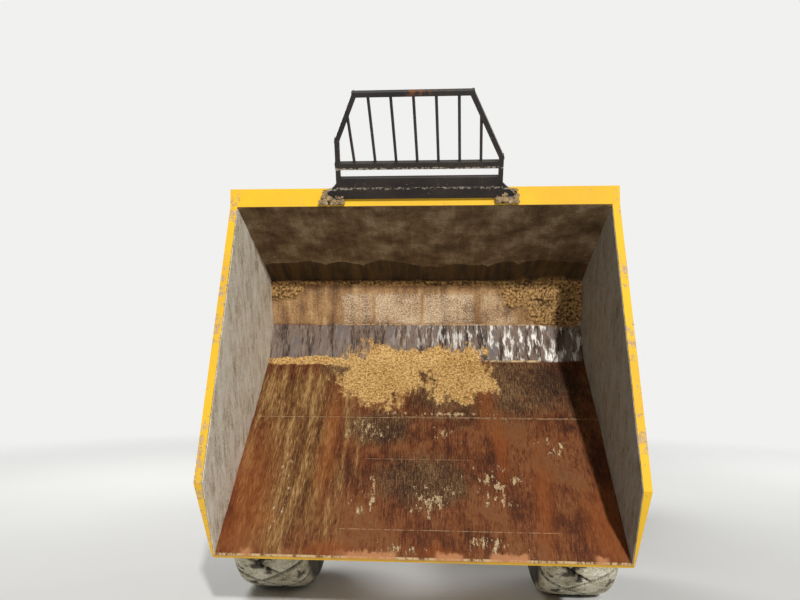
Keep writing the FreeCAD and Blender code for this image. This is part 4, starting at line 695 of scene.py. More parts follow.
class SkipLining(Finish):
    """The folded sheet's inside: rust, polished steel with painted glints, sand, mud with painted shade in
    its gaps and cracks, and dried mortar.
    """

    name = "skip_lining"
    bump = 0.75
    depth = 0.003
    specular = 0.2
    marks = (
        Mark(0.932, 0.0026, -1.2, 1.2, 0.95),
        Mark(0.944, 0.0016, -0.2, 1.2, 0.6),
        Mark(0.165, 0.0020, -0.45, 0.75, 0.40),
        Mark(0.620, 0.0020, -0.35, 0.30, 0.25),
        Mark(1.437, 0.0070, 0.05, 0.80, 1.0),
        Mark(1.709, 0.0045, -0.65, 1.2, 0.6),
        Mark(0.003, 0.0080, -1.2, 1.2, 1.0),
    )

    @staticmethod
    def ragged(shader: Shader, name: str, rough: Signal, reach: float = 0.5, width: float = 0.06) -> Signal:
        """A soft painted value cut to a ragged edge.

        Args:
            shader: The shader.
            name: The painted value.
            rough: Noise that frays the edge.
            reach: How far it frays.
            width: How soft the edge itself is.

        Returns:
            The mask.
        """
        return (shader.painted(name) + (rough - 0.5) * reach).ramp(0.5 - width, 0.5 + width)

    def surface(self, shader: Shader) -> Surface:
        """Each plate's own surface, then each soil over it."""
        along = shader.painted("along")
        across = shader.along("X")
        flat = shader.add("ShaderNodeCombineXYZ", None, {0: across, 1: along, 2: 0.0})
        streak = shader.cloud(6.0, 5.0, 0.66, shader.stretched(3.0, 0.35, 1.0, flat))
        thread = shader.cloud(56.0, 4.0, 0.72, shader.stretched(2.2, 0.30, 1.0, flat))
        stroke = shader.cloud(13.0, 4.0, 0.62, shader.stretched(2.4, 0.6, 1.0, flat))
        patch = shader.cloud(2.7, 8.0, 0.68, flat)
        grain = shader.cloud(90.0, 4.0, 0.8, flat)
        frays = shader.cloud(16.0, 6.0, 0.76, shader.stretched(1.5, 0.8, 1.0, flat))
        face = self.rust(shader, streak, thread, patch, grain)
        tone = (thread * 0.4 + grain * 0.3 + patch * 0.3).ramp(0.41, 0.60)
        grime = Surface(
            shader.stops(tone, srgb(36, 26, 18), srgb(72, 50, 33), srgb(96, 70, 46), srgb(142, 114, 78)),
            0.88, 0.0, grain * 0.6 + thread * 0.4,
        )
        tone = (thread * 0.5 + streak * 0.5).ramp(0.40, 0.62)
        gold = Surface(
            shader.stops(tone, srgb(80, 48, 26), srgb(116, 80, 44), srgb(142, 106, 62), srgb(182, 148, 96)),
            0.85, 0.0, thread,
        )
        orange = Surface(shader.stops(thread, srgb(96, 46, 20), srgb(138, 72, 30), srgb(156, 92, 44)), 0.78)
        for soil, name, rough, reach, width, cover in (
            (grime, "grime", streak * 0.5 + frays * 0.5, 1.3, 0.22, 0.9),
            (gold, "gold", streak, 1.3, 0.22, 0.85),
            (orange, "orange", streak, 1.1, 0.4, 0.6),
        ):
            face = face.under(shader, self.ragged(shader, name, rough, reach, width) * cover, soil)
        face = face.under(shader, shader.painted("bare"), self.steel(shader, across, streak, thread, stroke))
        face = face.under(shader, shader.painted("tan"), self.tan(shader, streak, patch, grain))
        face = face.under(shader, shader.painted("crust"), self.mortar(shader, flat, streak, grain, frays))
        face = self.lines(shader, face, along, across, frays)
        dab = shader.cloud(13.0, 7.0, 0.76, shader.stretched(2.4, 1.0, 1.0, flat))
        flakes = (dab + (shader.painted("flake") - 1.0) * 0.36).ramp(0.50, 0.525)
        flakes = flakes * grain.ramp(0.3, 0.42, 0.5, 1.0)
        flake = Surface(
            shader.stops(grain.ramp(0.3, 0.7), srgb(132, 98, 64), srgb(196, 166, 122), srgb(226, 206, 170)),
            0.88, 0.0, grain * 0.6 + 0.7,
        )
        face = face.under(shader, flakes, flake)
        lump = shader.cloud(50.0, 5.0, 0.7, flat)
        tone = (grain * 0.5 + lump * 0.35 + patch * 0.15).ramp(0.40, 0.58)
        sand = Surface(
            shader.stops(tone, srgb(96, 66, 34), srgb(176, 130, 70), srgb(206, 162, 96), srgb(232, 198, 138)),
            0.94, 0.0, grain * 1.6,
        )
        cover = self.ragged(shader, "sand", frays, 0.8) * grain.ramp(0.26, 0.44, 0.35, 1.0)
        face = face.under(shader, cover, sand)
        crack = shader.painted("crack")
        # Painted shade: the tone's dark low end falls in the hollows between clumps, where the bump is low,
        # and the cracks below are darkened to near-black brown.
        tone = (lump * 0.6 + grain * 0.4).ramp(0.42, 0.57)
        caked_mud_and_painted_shade = shader.stops(tone, srgb(62, 42, 24), srgb(160, 122, 72), srgb(196, 156, 102))
        caked_mud_and_painted_shade = shader.mix(crack * 0.85, caked_mud_and_painted_shade, srgb(48, 34, 22))
        mud = Surface(caked_mud_and_painted_shade, 0.96, 0.0, lump * 1.4 + grain * 0.6 - crack)
        return face.under(shader, shader.painted("mud"), mud)

    @staticmethod
    def rust(shader: Shader, streak: Signal, thread: Signal, patch: Signal, grain: Signal) -> Surface:
        """Rusted wear plate, streaked the way the loads slide."""
        tone = (patch * 0.38 + streak * 0.22 + thread * 0.28 + grain * 0.12).ramp(0.40, 0.60)
        colour = shader.stops(tone, srgb(58, 32, 20), srgb(90, 48, 26), srgb(116, 66, 36), srgb(136, 86, 50),
                              srgb(104, 68, 46))
        scratch = thread.ramp(0.58, 0.68) * patch.ramp(0.44, 0.58)
        pale = shader.mix(scratch * 0.5, colour, srgb(164, 130, 92))
        return Surface(pale, streak.ramp(0.3, 0.7, 0.6, 0.82), 0.1, thread * 0.5 + grain * 0.5)

    @staticmethod
    def steel(shader: Shader, across: Signal, streak: Signal, thread: Signal, stroke: Signal) -> Surface:
        """Bottom plate scoured by the loads, with near-white streaks that are partly bare steel and partly
        painted glints, more so to the machine's left.
        """
        side = across.ramp(-0.45, 0.60)
        # Painted glints: near-white streaks that stand in for light reflected off the scoured steel.
        scour_and_painted_glint = (stroke * 0.7 + thread * 0.3).ramp(0.50, 0.60) * shader.blend(side, 0.1, 1.0)
        tone = (streak * 0.6 + thread * 0.4).ramp(0.40, 0.60)
        dull = shader.stops(tone, srgb(56, 46, 42), srgb(104, 86, 74), srgb(134, 114, 98),
                            srgb(112, 104, 102))
        colour = shader.mix(scour_and_painted_glint, dull, srgb(226, 220, 210))
        return Surface(colour, shader.blend(scour_and_painted_glint, 0.66, 0.45), shader.blend(scour_and_painted_glint, 0.15, 0.3), thread)

    @staticmethod
    def tan(shader: Shader, streak: Signal, patch: Signal, grain: Signal) -> Surface:
        """Heel plate under a thin coat of sandy dust, paler in squarish patches."""
        tone = (patch * 0.4 + streak * 0.3 + grain * 0.3).ramp(0.40, 0.60)
        colour = shader.stops(tone, srgb(106, 80, 58), srgb(150, 114, 78), srgb(178, 140, 96),
                              srgb(204, 170, 124))
        tone = grain.ramp(0.3, 0.7)
        pale = shader.stops(tone, srgb(170, 140, 106), srgb(216, 192, 158), srgb(238, 226, 202))
        slab = shader.painted("slab") * (grain * 0.5 + patch * 0.5).ramp(0.40, 0.60)
        return Surface(shader.mix(slab * 0.9, colour, pale), 0.9, 0.0, grain + streak * 0.4)

    @staticmethod
    def mortar(shader: Shader, flat: Signal, streak: Signal, grain: Signal, frays: Signal) -> Surface:
        """Back plate grey with dried mortar and painted shade in its pits, with a dark wet band above the
        heel.
        """
        pits = shader.cells(46.0, "F1", flat).ramp(0.18, 0.05)
        pits = pits * shader.cloud(9.0, 3.0, 0.5, flat).ramp(0.48, 0.6)
        cloud = shader.cloud(5.0, 6.0, 0.7, flat)
        drip = shader.cloud(30.0, 3.0, 0.6, shader.stretched(2.0, 0.22, 1.0, flat)).ramp(0.66, 0.72)
        tone = (cloud * 0.6 + grain * 0.25 + streak * 0.15).ramp(0.38, 0.62)
        dry = shader.stops(tone, srgb(78, 60, 42), srgb(106, 86, 60), srgb(126, 106, 78), srgb(156, 138, 110))
        damp_and_painted_shade = shader.stops(streak.ramp(0.35, 0.65), srgb(44, 34, 20), srgb(66, 50, 30), srgb(84, 62, 30))
        wet = (shader.painted("damp_and_painted_shade") + (frays - 0.5) * 0.25).ramp(0.46, 0.54)
        # Painted shade in the pits: they are darkened to grey-brown where the bump sinks them.
        colour = shader.mix(pits * 0.8, dry, srgb(56, 46, 36))
        colour = shader.mix(drip * shader.painted("drip") * 0.8, colour, srgb(40, 30, 20))
        colour = shader.mix(wet * 0.92, colour, damp_and_painted_shade)
        return Surface(colour, shader.blend(wet, 0.92, 0.66), 0.0, cloud + grain * 0.5 - pits * 1.5)

    def lines(self, shader: Shader, face: Surface, along: Signal, across: Signal, frays: Signal) -> Surface:
        """Thin marks across the skip: the weld, scuffs in line with it and the pale creases."""
        pale = Surface(srgb(206, 176, 132), 0.7, 0.0, 1.0)
        for mark in self.marks:
            off = (along - mark.along).size().ramp(mark.half * 1.5, mark.half)
            within = across.ramp(mark.start, mark.start + 0.03) * across.ramp(mark.end, mark.end - 0.03)
            face = face.under(shader, off * within * frays.ramp(0.41, 0.53) * mark.cover, pale)
        lip = (along + (frays - 0.5) * 0.12).ramp(0.050, 0.030) * shader.painted("lip")
        return face.under(shader, lip * 0.8, Surface(srgb(196, 136, 92), 0.55, 0.1, 0.6))


@dataclass(frozen=True)
class SideCrust(Finish):
    """A side plate's inside: a pale crust of dried mortar with pits, brown where it has come off, darkened by
    painted shade on the side that is to look shaded.
    """

    name: str = "side_crust"
    # Share of painted shade over the crust: 0 for none, 1 for the full dark grey-brown.
    damp_and_painted_shade: float = 0.0
    bump = 0.8
    depth = 0.004
    specular = 0.2

    def surface(self, shader: Shader) -> Surface:
        """Rust and old paint, then the crust, which is smooth and grey towards the lip, with its painted
        shade.
        """
        slide = shader.place.dot((0.0, 0.34, -0.94))
        rise = shader.place.dot((0.0, 0.94, 0.34))
        flat = shader.add("ShaderNodeCombineXYZ", None, {0: rise, 1: slide, 2: shader.along("X")})
        streak = shader.cloud(7.0, 5.0, 0.68, shader.stretched(3.4, 0.7, 1.0, flat))
        thread = shader.cloud(30.0, 4.0, 0.7, shader.stretched(2.4, 0.5, 1.0, flat))
        cloud = shader.cloud(7.0, 6.0, 0.7)
        grain = shader.cloud(150.0, 4.0, 0.78)
        # Pits: sunk by the bump and darkened below as painted shade.
        pits = shader.cells(58.0).ramp(0.22, 0.06) * shader.cloud(6.0, 3.0, 0.5).ramp(0.44, 0.56)
        pits = pits * shader.along("Z").ramp(1.2, 1.9, 0.3, 1.0)
        tone = (streak * 0.6 + thread * 0.4).ramp(0.40, 0.60)
        bare = Surface(
            shader.stops(tone, srgb(52, 32, 20), srgb(96, 66, 38), srgb(134, 100, 58), srgb(160, 128, 84)),
            0.8, 0.1, streak,
        )
        tone = (cloud * 0.2 + streak * 0.25 + thread * 0.2 + grain * 0.35).ramp(0.38, 0.58)
        pale = shader.stops(tone, srgb(142, 126, 100), srgb(206, 194, 170), srgb(232, 224, 204),
                            srgb(246, 242, 230))
        # Painted shade: the crust is mixed by the shade share towards dark grey-brown, and the pits are
        # darkened as painted shade too.
        colour = shader.mix(pits * 0.85, shader.mix(self.damp_and_painted_shade, pale, srgb(58, 50, 42)), srgb(60, 50, 40))
        crust = Surface(colour, 0.93, 0.0, cloud * 0.7 + grain * 0.5 + thread * 0.3 - pits * 1.8)
        mask = (shader.painted("crust") + (cloud - 0.5) * 0.5).ramp(0.42, 0.56)
        return bare.under(shader, mask, crust)


@dataclass(frozen=True)
class Lining:
    """Everything that sticks to the skip's inside, as fine grids that lie on its plates."""

    lines: SkipLines
    step: float = 0.0098
    skin: float = 0.0006
    dent: float = 0.0045
    seam: float = 0.0035
    sand: float = 0.0035
    mud: float = 0.016
    mortar: float = 0.0035
    slab: float = 0.0018
    heel_fill: float = 0.012
    edge_fill: float = 0.010
    side_step: float = 0.0115
    side_columns: int = 84
    side_mortar: float = 0.0045
    stains: tuple[Stain, ...] = (
        Stain(Soil.SAND, -0.29, 1.30, 0.27, 0.26),
        Stain(Soil.SAND, -0.10, 1.42, 0.50, 0.10),
        Stain(Soil.SAND, 0.24, 1.30, 0.21, 0.24),
        Stain(Soil.SAND, -0.80, 1.43, 0.34, 0.035),
        Stain(Soil.MUD, 0.86, 1.93, 0.36, 0.15),
        Stain(Soil.MUD, 0.94, 1.80, 0.26, 0.11),
        Stain(Soil.MUD, -1.02, 1.96, 0.17, 0.08),
        Stain(Soil.MUD, 0.10, 2.01, 1.05, 0.025),
        Stain(Soil.FLAKE, -0.34, 0.83, 0.26, 0.16),
        Stain(Soil.FLAKE, -0.30, 0.36, 0.13, 0.24),
        Stain(Soil.FLAKE, 0.02, 0.35, 0.24, 0.22),
        Stain(Soil.FLAKE, 0.12, 0.80, 0.22, 0.12),
        Stain(Soil.FLAKE, 0.42, 0.45, 0.30, 0.25),
        Stain(Soil.FLAKE, 0.40, 0.08, 0.36, 0.11),
        Stain(Soil.FLAKE, -0.10, 0.06, 0.26, 0.09),
        Stain(Soil.FLAKE, 0.78, 0.70, 0.16, 0.16),
        Stain(Soil.FLAKE, -0.78, 0.45, 0.10, 0.45),
        Stain(Soil.FLAKE, 0.10, 0.97, 0.80, 0.03),
        Stain(Soil.RUST, -0.56, 0.72, 0.05, 0.38),
        Stain(Soil.RUST, -0.13, 1.24, 0.04, 0.17),
        Stain(Soil.RUST, 0.40, 1.15, 0.06, 0.30),
        Stain(Soil.RUST, 0.46, 0.72, 0.04, 0.25),
        Stain(Soil.RUST, 0.68, 0.36, 0.05, 0.26),
        Stain(Soil.RUST, -0.98, 0.30, 0.14, 0.40),
        Stain(Soil.RUST, 0.98, 0.20, 0.10, 0.22),
        Stain(Soil.RUST, -0.50, 0.04, 0.16, 0.05),
        Stain(Soil.RUST, 0.10, 0.03, 0.12, 0.05),
        Stain(Soil.GOLD, -0.75, 0.55, 0.27, 0.62),
        Stain(Soil.GOLD, -0.85, 1.10, 0.34, 0.26),
        Stain(Soil.GRIME, 0.45, 1.22, 0.62, 0.28),
        Stain(Soil.GRIME, -0.50, 1.36, 0.22, 0.10),
        Stain(Soil.GRIME, -0.26, 0.86, 0.22, 0.12),
        Stain(Soil.GRIME, 0.02, 0.48, 0.26, 0.16),
    )

    def soils(self, x: float, along: float) -> dict[Soil, float]:
        """How much of each soil lies at a place on the folded sheet."""
        ragged = noise.fractal(Vector((x * 7.0, along * 7.0, 3.1)), 0.8, 2.1, 5)
        found = {soil: 0.0 for soil in Soil}
        for stain in self.stains:
            across, length = (x - stain.x) / stain.half_width, (along - stain.along) / stain.half_length
            far = math.sqrt(across * across + length * length) - 0.3 * ragged
            soft = max(1.0 - 0.5 * far, 0.0)
            if stain.soil is Soil.MUD:
                soft = ease(soft, 0.46, 0.60)
            found[stain.soil] = max(found[stain.soil], min(soft, 1.0))
        return found

    def plates(self, x: float, along: float) -> dict[str, float]:
        """How much of each plate's own surface shows, and how wet the back plate is."""
        _, front, back, heel, _ = self.lines.stations
        wander = 0.012 * noise.noise(Vector((x * 9.0, along * 3.0, 8.0)))
        at = along + wander
        tongue = noise.noise(Vector((x * 3.4, 0.3, 5.5))) + 0.5 * noise.noise(Vector((x * 11.0, 1.3, 2.5)))
        lobe = abs(math.sin(x * 8.5 + 2.6 * noise.noise(Vector((x * 2.0, 4.0, 1.0))))) ** 0.5
        level = heel + 0.185 + 0.045 * tongue + 0.065 * lobe
        slabs = ease(x, -0.60, -0.56) * ease(x, 0.36, 0.32)
        slabs += 0.6 * ease(x, 0.38, 0.42) * ease(x, 0.66, 0.60)
        joint = min(abs(x - place) for place in (-0.36, -0.02, 0.36))
        slabs *= ease(along, back, back + 0.02) * ease(along, back + 0.235, back + 0.20)
        slabs *= ease(joint, 0.004, 0.02)
        scuffs = ease(noise.noise(Vector((x * 6.0, 2.2, 9.1))), 0.0, 0.12)
        return {
            "bare": ease(at, front - 0.004, front + 0.006) * ease(at, back + 0.004, back - 0.008),
            "tan": ease(at, back - 0.004, back + 0.008) * ease(along, heel + 0.004, heel - 0.004),
            "crust": ease(along, heel - 0.002, heel + 0.006),
            "damp_and_painted_shade": min(max(0.5 + (level - along) / 0.05, 0.0), 1.0) * ease(along, heel, heel + 0.01),
            "drip": ease(along, level + 0.16, level + 0.02),
            "slab": slabs,
            "lip": scuffs,
        }

    def relief(self, x: float, along: float, soils: Mapping[Soil, float], crack: float) -> float:
        """How far the surface stands off the plate.

        Args:
            x: Place across the skip.
            along: Place along the sheet, from the lip.
            soils: What lies there.
            crack: How deep in a crack of the mud it is.

        Returns:
            The height in metres.
        """
        _, front, back, heel, top = self.lines.stations
        here = Vector((x, along, 0.0))
        height = self.skin + self.lines.wear_thick * ease(along, self.lines.wear_length + 0.004,
                                                          self.lines.wear_length - 0.003)
        seam = (along - self.lines.wear_length) / 0.008
        if abs(seam) < 3:
            height += self.seam * math.exp(-seam * seam) * (0.75 + 0.4 * noise.noise(here * 90))
        near = min(abs(along - corner) for corner in (0.0, front, back, heel, top))
        free = ease(near, 0.0, 0.12) * ease(self.lines.half_inside - abs(x), 0.0, 0.15)
        height += self.dent * free * (0.5 + 0.5 * noise.fractal(here * 3.1, 1.0, 2.0, 2))
        fine = noise.fractal(here * 34.0, 0.7, 2.1, 4)
        height += 0.0007 * (1 + fine)
        height += ease(soils[Soil.SAND], 0.45, 0.62) * (self.sand + 0.002 * fine)
        height += soils[Soil.MUD] * (self.mud + 0.006 * fine) * (1 - 0.75 * crack)
        if along > heel:
            crust = noise.fractal(here * 12.0, 0.8, 2.0, 4)
            height += self.mortar * ease(along, heel, heel + 0.03) * (0.7 + 0.5 * crust)
        if back < along < heel:
            slab = noise.cell(Vector((round(x * 3.3 + 0.4), round(along * 5.0), 2.0)))
            height += self.slab * (0.5 + 0.5 * slab) + 0.0016 * (1 + fine)
        corner = math.exp(-((along - heel) / 0.035) ** 2) * (0.5 + 0.5 * noise.noise(here * 5.0))
        edge = math.exp(-((self.lines.half_inside - abs(x)) / 0.03) ** 2)
        return height + self.heel_fill * corner + self.edge_fill * edge * ease(along, front - 0.3, heel)

    def sheet(self) -> bpy.types.Object:
        """The grid on the folded sheet."""
        stations = self.lines.stations
        corners = self.lines.corners
        rows = self.rows(stations)
        half = self.lines.half_inside - 0.0004
        columns = round(2 * half / self.step)
        names = ["along", "bare", "tan", "crust", "damp_and_painted_shade", "drip", "slab", "lip", "crack"]
        values: dict[str, list[float]] = {name: [] for name in names + [soil.value for soil in Soil]}
        top: list[list[Vector]] = []
        base: list[list[Vector]] = []
        for along, stretch in rows:
            start, end = corners[stretch], corners[stretch + 1]
            way = (end - start).normalized()
            out = self.corner_normal(corners, along, stretch)
            seat = start + way * (along - stations[stretch])
            top_row, base_row = [], []
            for k in range(columns + 1):
                x = half * (2 * k / columns - 1)
                soils = self.soils(x, along)
                bend = 0.35 * noise.fractal(Vector((x * 9.0, along * 9.0, 6.0)), 0.8, 2.0, 4)
                distances, _ = noise.voronoi(Vector((x * 26.0 + bend, along * 34.0 + bend, 0.5)))
                crack = ease(distances[1] - distances[0], 0.12, 0.02) * soils[Soil.MUD]
                crack *= ease(noise.noise(Vector((x * 8.0, along * 8.0, 1.5))), -0.1, 0.25)
                across = Vector((x, 0, 0))
                base_row.append(seat + across)
                top_row.append(seat + across + out * self.relief(x, along, soils, crack))
                plates = self.plates(x, along)
                for name, share in plates.items():
                    values[name].append(share)
                for soil, share in soils.items():
                    values[soil.value].append(share)
                values["along"].append(along)
                values["crack"].append(crack)
            top.append(top_row)
            base.append(base_row)
        creases = [k for k, (along, _) in enumerate(rows) if along in stations]
        mesh = slab_mesh("skip_lining", top, base, creases, values)
        return place_mesh(mesh, "skip_lining", "skip", SkipLining(), 60.0)

    def rows(self, stations: Sequence[float]) -> list[tuple[float, int]]:
        """Places along the sheet at which a row of points lies, and the plate that each is on."""
        found = []
        for stretch, (start, end) in enumerate(zip(stations, stations[1:])):
            count = max(round((end - start) / self.step), 1)
            first = 0 if stretch == 0 else 1
            found += [(start + (end - start) * k / count, stretch) for k in range(first, count)]
            found.append((end, stretch))
        return found

    @staticmethod
    def corner_normal(corners: Sequence[Vector], along: float, stretch: int) -> Vector:
        """Which way is into the skip, halved between two plates at their crease."""
        def inward(k: int) -> Vector:
            """The plate's own direction into the skip."""
            way = (corners[k + 1] - corners[k]).normalized()
            return Vector((0, -way.z, way.y))

        here = inward(stretch)
        lengths = [0.0]
        for a, b in zip(corners, corners[1:]):
            lengths.append(lengths[-1] + (b - a).length)
        if stretch + 1 < len(corners) - 1 and abs(along - lengths[stretch + 1]) < 1e-6:
            after = inward(stretch + 1)
            middle = (here + after).normalized()
            return middle / middle.dot(here)
        return here

    def side(self, sign: int) -> bpy.types.Object:
        """The grid on one side plate.

        Args:
            sign: 1 for the machine's left, -1 for its right.

        Returns:
            The piece.
        """
        low, high = self.lines.corners, self.lines.rim_line
        rows, columns = round(self.lines.stations[-1] / self.side_step), self.side_columns
        wall = self.lines.half_inside
        # Painted shade on the machine's left side plate: its crust is taken 0.62 of the way to dark
        # grey-brown, standing in for the shadow on that side.
        name, damp_and_painted_shade = ("crust_left", 0.62) if sign > 0 else ("crust_right", 0.0)
        crusts: list[float] = []
        top: list[list[Vector]] = []
        base: list[list[Vector]] = []
        for row in range(rows + 1):
            share = 0.004 + 0.992 * row / rows
            start, _ = self.lines.point_on(low, share)
            end, _ = self.lines.point_on(high, share)
            top_row, base_row = [], []
            for k in range(columns + 1):
                point = start.lerp(end, k / columns)
                point.x = sign * wall
                floor = (point - start).length
                rim = (point - end).length
                here = Vector((sign * 3.0, point.y, point.z))
                ragged = noise.fractal(here * 6.0, 0.8, 2.1, 5)
                lower = 0.085 * ease(share, 0.25, 0.6) * ease(share, 0.78, 0.66) + 0.012
                crust = ease(floor + 0.020 * ragged, lower - 0.010, lower + 0.020)
                worn = 0.10 * math.exp(-(((share - 0.20) / 0.09) ** 2))
                crust *= ease(rim + 0.05 * ragged, worn - 0.010, worn + 0.030)
                pits = noise.fractal(here * 42.0, 0.6, 2.2, 3)
                thick = self.side_mortar + 0.0025 * noise.fractal(here * 3.0, 1.0, 2.0, 3)
                height = self.skin + crust * (thick + 0.0012 * pits)
                base_row.append(point.copy())
                top_row.append(point - Vector((sign * height, 0, 0)))
                crusts.append(crust)
            top.append(top_row)
            base.append(base_row)
        mesh = slab_mesh(name, top, base, [0, rows], {"crust": crusts})
        return place_mesh(mesh, name, "skip", SideCrust(f"side_{name}", damp_and_painted_shade), 60.0)

    def build(self) -> None:
        """All three grids."""
        self.sheet()
        for sign in (1, -1):
            self.side(sign)


def slab_mesh(name: str, top: list[list[Vector]], base: list[list[Vector]], creases: Sequence[int],
              values: Mapping[str, list[float]]) -> bpy.types.Mesh:
    """A closed slab: a fine grid on top, and flat faces on the plates below it.

    Args:
        name: The mesh's name.
        top: Rows of points of the upper face.
        base: The same rows on the plates. Only their border is used.
        creases: Rows at which the plates below bend.
        values: Named values of the upper points.

    Returns:
        The mesh.
    """
    rows, columns = len(top), len(top[0])
    points = [point for row in top for point in row]
    faces = []
    for row in range(rows - 1):
        for k in range(columns - 1):
            a = row * columns + k
            faces.append((a, a + 1, a + columns + 1, a + columns))
    last = columns - 1
    border = [(0, k) for k in range(columns)]
    border += [(row, last) for row in range(1, rows)]
    border += [(rows - 1, k) for k in range(last - 1, -1, -1)]
    border += [(row, 0) for row in range(rows - 2, 0, -1)]
    lower = {}
    for row, k in border:
        lower[row, k] = len(points)
        points.append(base[row][k])
    for here, after in zip(border, border[1:] + border[:1]):
        a, b = here[0] * columns + here[1], after[0] * columns + after[1]
        faces.append((b, a, lower[here], lower[after]))
    for start, end in zip(creases, creases[1:]):
        ring = [lower[row, last] for row in range(start, end + 1)]
        ring += [lower[end, k] for k in range(last - 1, 0, -1)] if end == rows - 1 else []
        ring += [lower[row, 0] for row in range(end, start - 1, -1)]
        ring += [lower[start, k] for k in range(1, last)] if start == 0 else []
        faces.append(tuple(reversed(ring)))
    mesh = bpy.data.meshes.new(name)
    mesh.from_pydata([tuple(point) for point in points], [], faces)
    spare = [0.0] * (len(points) - rows * columns)
    write_values(mesh, {label: list(row) + spare for label, row in values.items()})
    return mesh


@dataclass(frozen=True)
class Paint(Finish):
    """Machine paint that has faded in clouds, with chips down to rust and a film of dried soil."""

    name: str = "paint"
    tone: Colour = srgb(242, 182, 24)
    faded: Colour = srgb(216, 160, 44)
    gloss: float = 0.42
    wear: float = 0.4
    dust: float = 0.5
    soil: Colour = srgb(158, 132, 98)

    def surface(self, shader: Shader) -> Surface:
        """Paint, chips, then soil, thicker towards the ground."""
        cloud = shader.cloud(2.2, 5.0, 0.6)
        grain = shader.cloud(120.0, 3.0, 0.7)
        chip = shader.cloud(21.0, 6.0, 0.74)
        colour = shader.mix(cloud.ramp(0.32, 0.68), self.tone, self.faded)
        rough = shader.blend(cloud, self.gloss, self.gloss + 0.22)
        face = Surface(colour, rough, 0.0, grain * 0.12 + 0.6)
        limit = 0.74 - 0.14 * self.wear
        brown = shader.stops(grain, srgb(54, 30, 20), srgb(108, 56, 30), srgb(150, 88, 46))
        rust = Surface(brown, 0.85, 0.0, grain * 0.5)
        face = self.worn(shader, face, grain).under(shader, chip.ramp(limit, limit + 0.02), rust)
        streak = shader.cloud(9.0, 4.0, 0.6, shader.stretched(1.0, 1.0, 0.25))
        low = shader.along("Z").ramp(1.7, 0.3, 0.25, 1.0)
        film = (cloud * 0.4 + streak * 0.3 + grain * 0.3).ramp(0.42, 0.64) * low * self.dust
        dark = tuple(part * 0.6 for part in self.soil)
        dirt = Surface(shader.stops(grain, dark, self.soil, self.soil), 0.95, 0.0, grain * 0.6 + 0.5)
        return face.under(shader, film, dirt)

    def worn(self, shader: Shader, face: Surface, grain: Signal) -> Surface:
        """Where this paint has wear of its own, the face with it."""
        return face


@dataclass(frozen=True)
class RimPaint(Paint):
    """The yellow of the skip's rims, knocked pale at the corners and along the edges."""

    scuff: Colour = srgb(214, 188, 154)

    def worn(self, shader: Shader, face: Surface, grain: Signal) -> Surface:
        """Pale scuffs, more of them towards the outer corners."""
        edge = shader.along("X").size().ramp(0.99, 1.125, 0.0, 0.16)
        knock = shader.cloud(34.0, 5.0, 0.75) + edge * shader.cloud(3.5, 3.0, 0.5).ramp(0.35, 0.65)
        bare = Surface(shader.stops(grain.ramp(0.3, 0.7), srgb(160, 122, 84), self.scuff), 0.7, 0.0, 0.3)
        return face.under(shader, knock.ramp(0.64, 0.68) * 0.85, bare)


@dataclass(frozen=True)
class GuardPaint(Paint):
    """Black paint of the guard, with rust on its top bar and pale chips along its rails' edges."""

    top: float = 2.873
    edges: tuple[float, ...] = (2.511, 2.592)

    def worn(self, shader: Shader, face: Surface, grain: Signal) -> Surface:
        """The rust patch and the chips."""
        height = shader.along("Z")
        cloud = shader.cloud(16.0, 5.0, 0.7)
        middle = (shader.along("X") - 0.02).size().ramp(0.22, 0.02, 0.0, 0.2)
        patch = (cloud + middle).ramp(0.66, 0.76) * height.ramp(self.top - 0.02, self.top)
        rust = Surface(shader.stops(grain, srgb(84, 48, 28), srgb(150, 88, 46)), 0.8, 0.0, 0.3)
        chip = shader.cloud(60.0, 4.0, 0.8) - 0.01
        for edge in self.edges:
            chip = chip + (height - edge).size().ramp(0.008, 0.002, 0.0, 0.17)
        chip = chip.ramp(0.66, 0.68)
        pale = Surface(shader.stops(grain, srgb(150, 140, 124), srgb(206, 196, 178)), 0.7, 0.0, 0.4)
        return face.under(shader, patch, rust).under(shader, chip, pale)


@dataclass(frozen=True)
class Metal(Finish):
    """Bare or chromed metal with smears of oil and dust."""

    name: str = "metal"
    tone: Colour = srgb(196, 198, 200)
    stain: Colour = srgb(120, 112, 100)
    gloss: float = 0.22
    smear: float = 0.4

    def surface(self, shader: Shader) -> Surface:
        """Clean metal and its smears."""
        cloud = shader.cloud(11.0, 5.0, 0.65)
        grain = shader.cloud(160.0, 3.0, 0.7)
        clean = Surface(self.tone, shader.blend(grain, self.gloss, self.gloss + 0.12), 0.95, grain * 0.2)
        dull = Surface(self.stain, 0.75, 0.2, grain * 0.5 + 0.2)
        return clean.under(shader, (cloud * 0.75 + grain * 0.25).ramp(0.62 - 0.2 * self.smear, 0.72), dull)


@dataclass(frozen=True)
class Moulded(Finish):
    """Moulded plastic or rubber with a fine grain and dust in it."""

    name: str = "moulded"
    tone: Colour = srgb(34, 34, 36)
    dusty: Colour = srgb(128, 116, 98)
    gloss: float = 0.5
    dust: float = 0.35
    grain: float = 420.0
    bump = 0.35
    depth = 0.0006

    def surface(self, shader: Shader) -> Surface:
        """The moulding's grain, then dust in clouds."""
        grain = shader.cells(self.grain)
        cloud = shader.cloud(6.0, 5.0, 0.65)
        fine = shader.cloud(200.0, 2.0, 0.6)
        face = Surface(self.tone, shader.blend(fine, self.gloss, self.gloss + 0.15), 0.0, grain)
        film = Surface(self.dusty, 0.95, 0.0, grain * 0.5 + fine * 0.5)
        return face.under(shader, (cloud * 0.7 + fine * 0.3).ramp(0.42, 0.72) * self.dust, film)


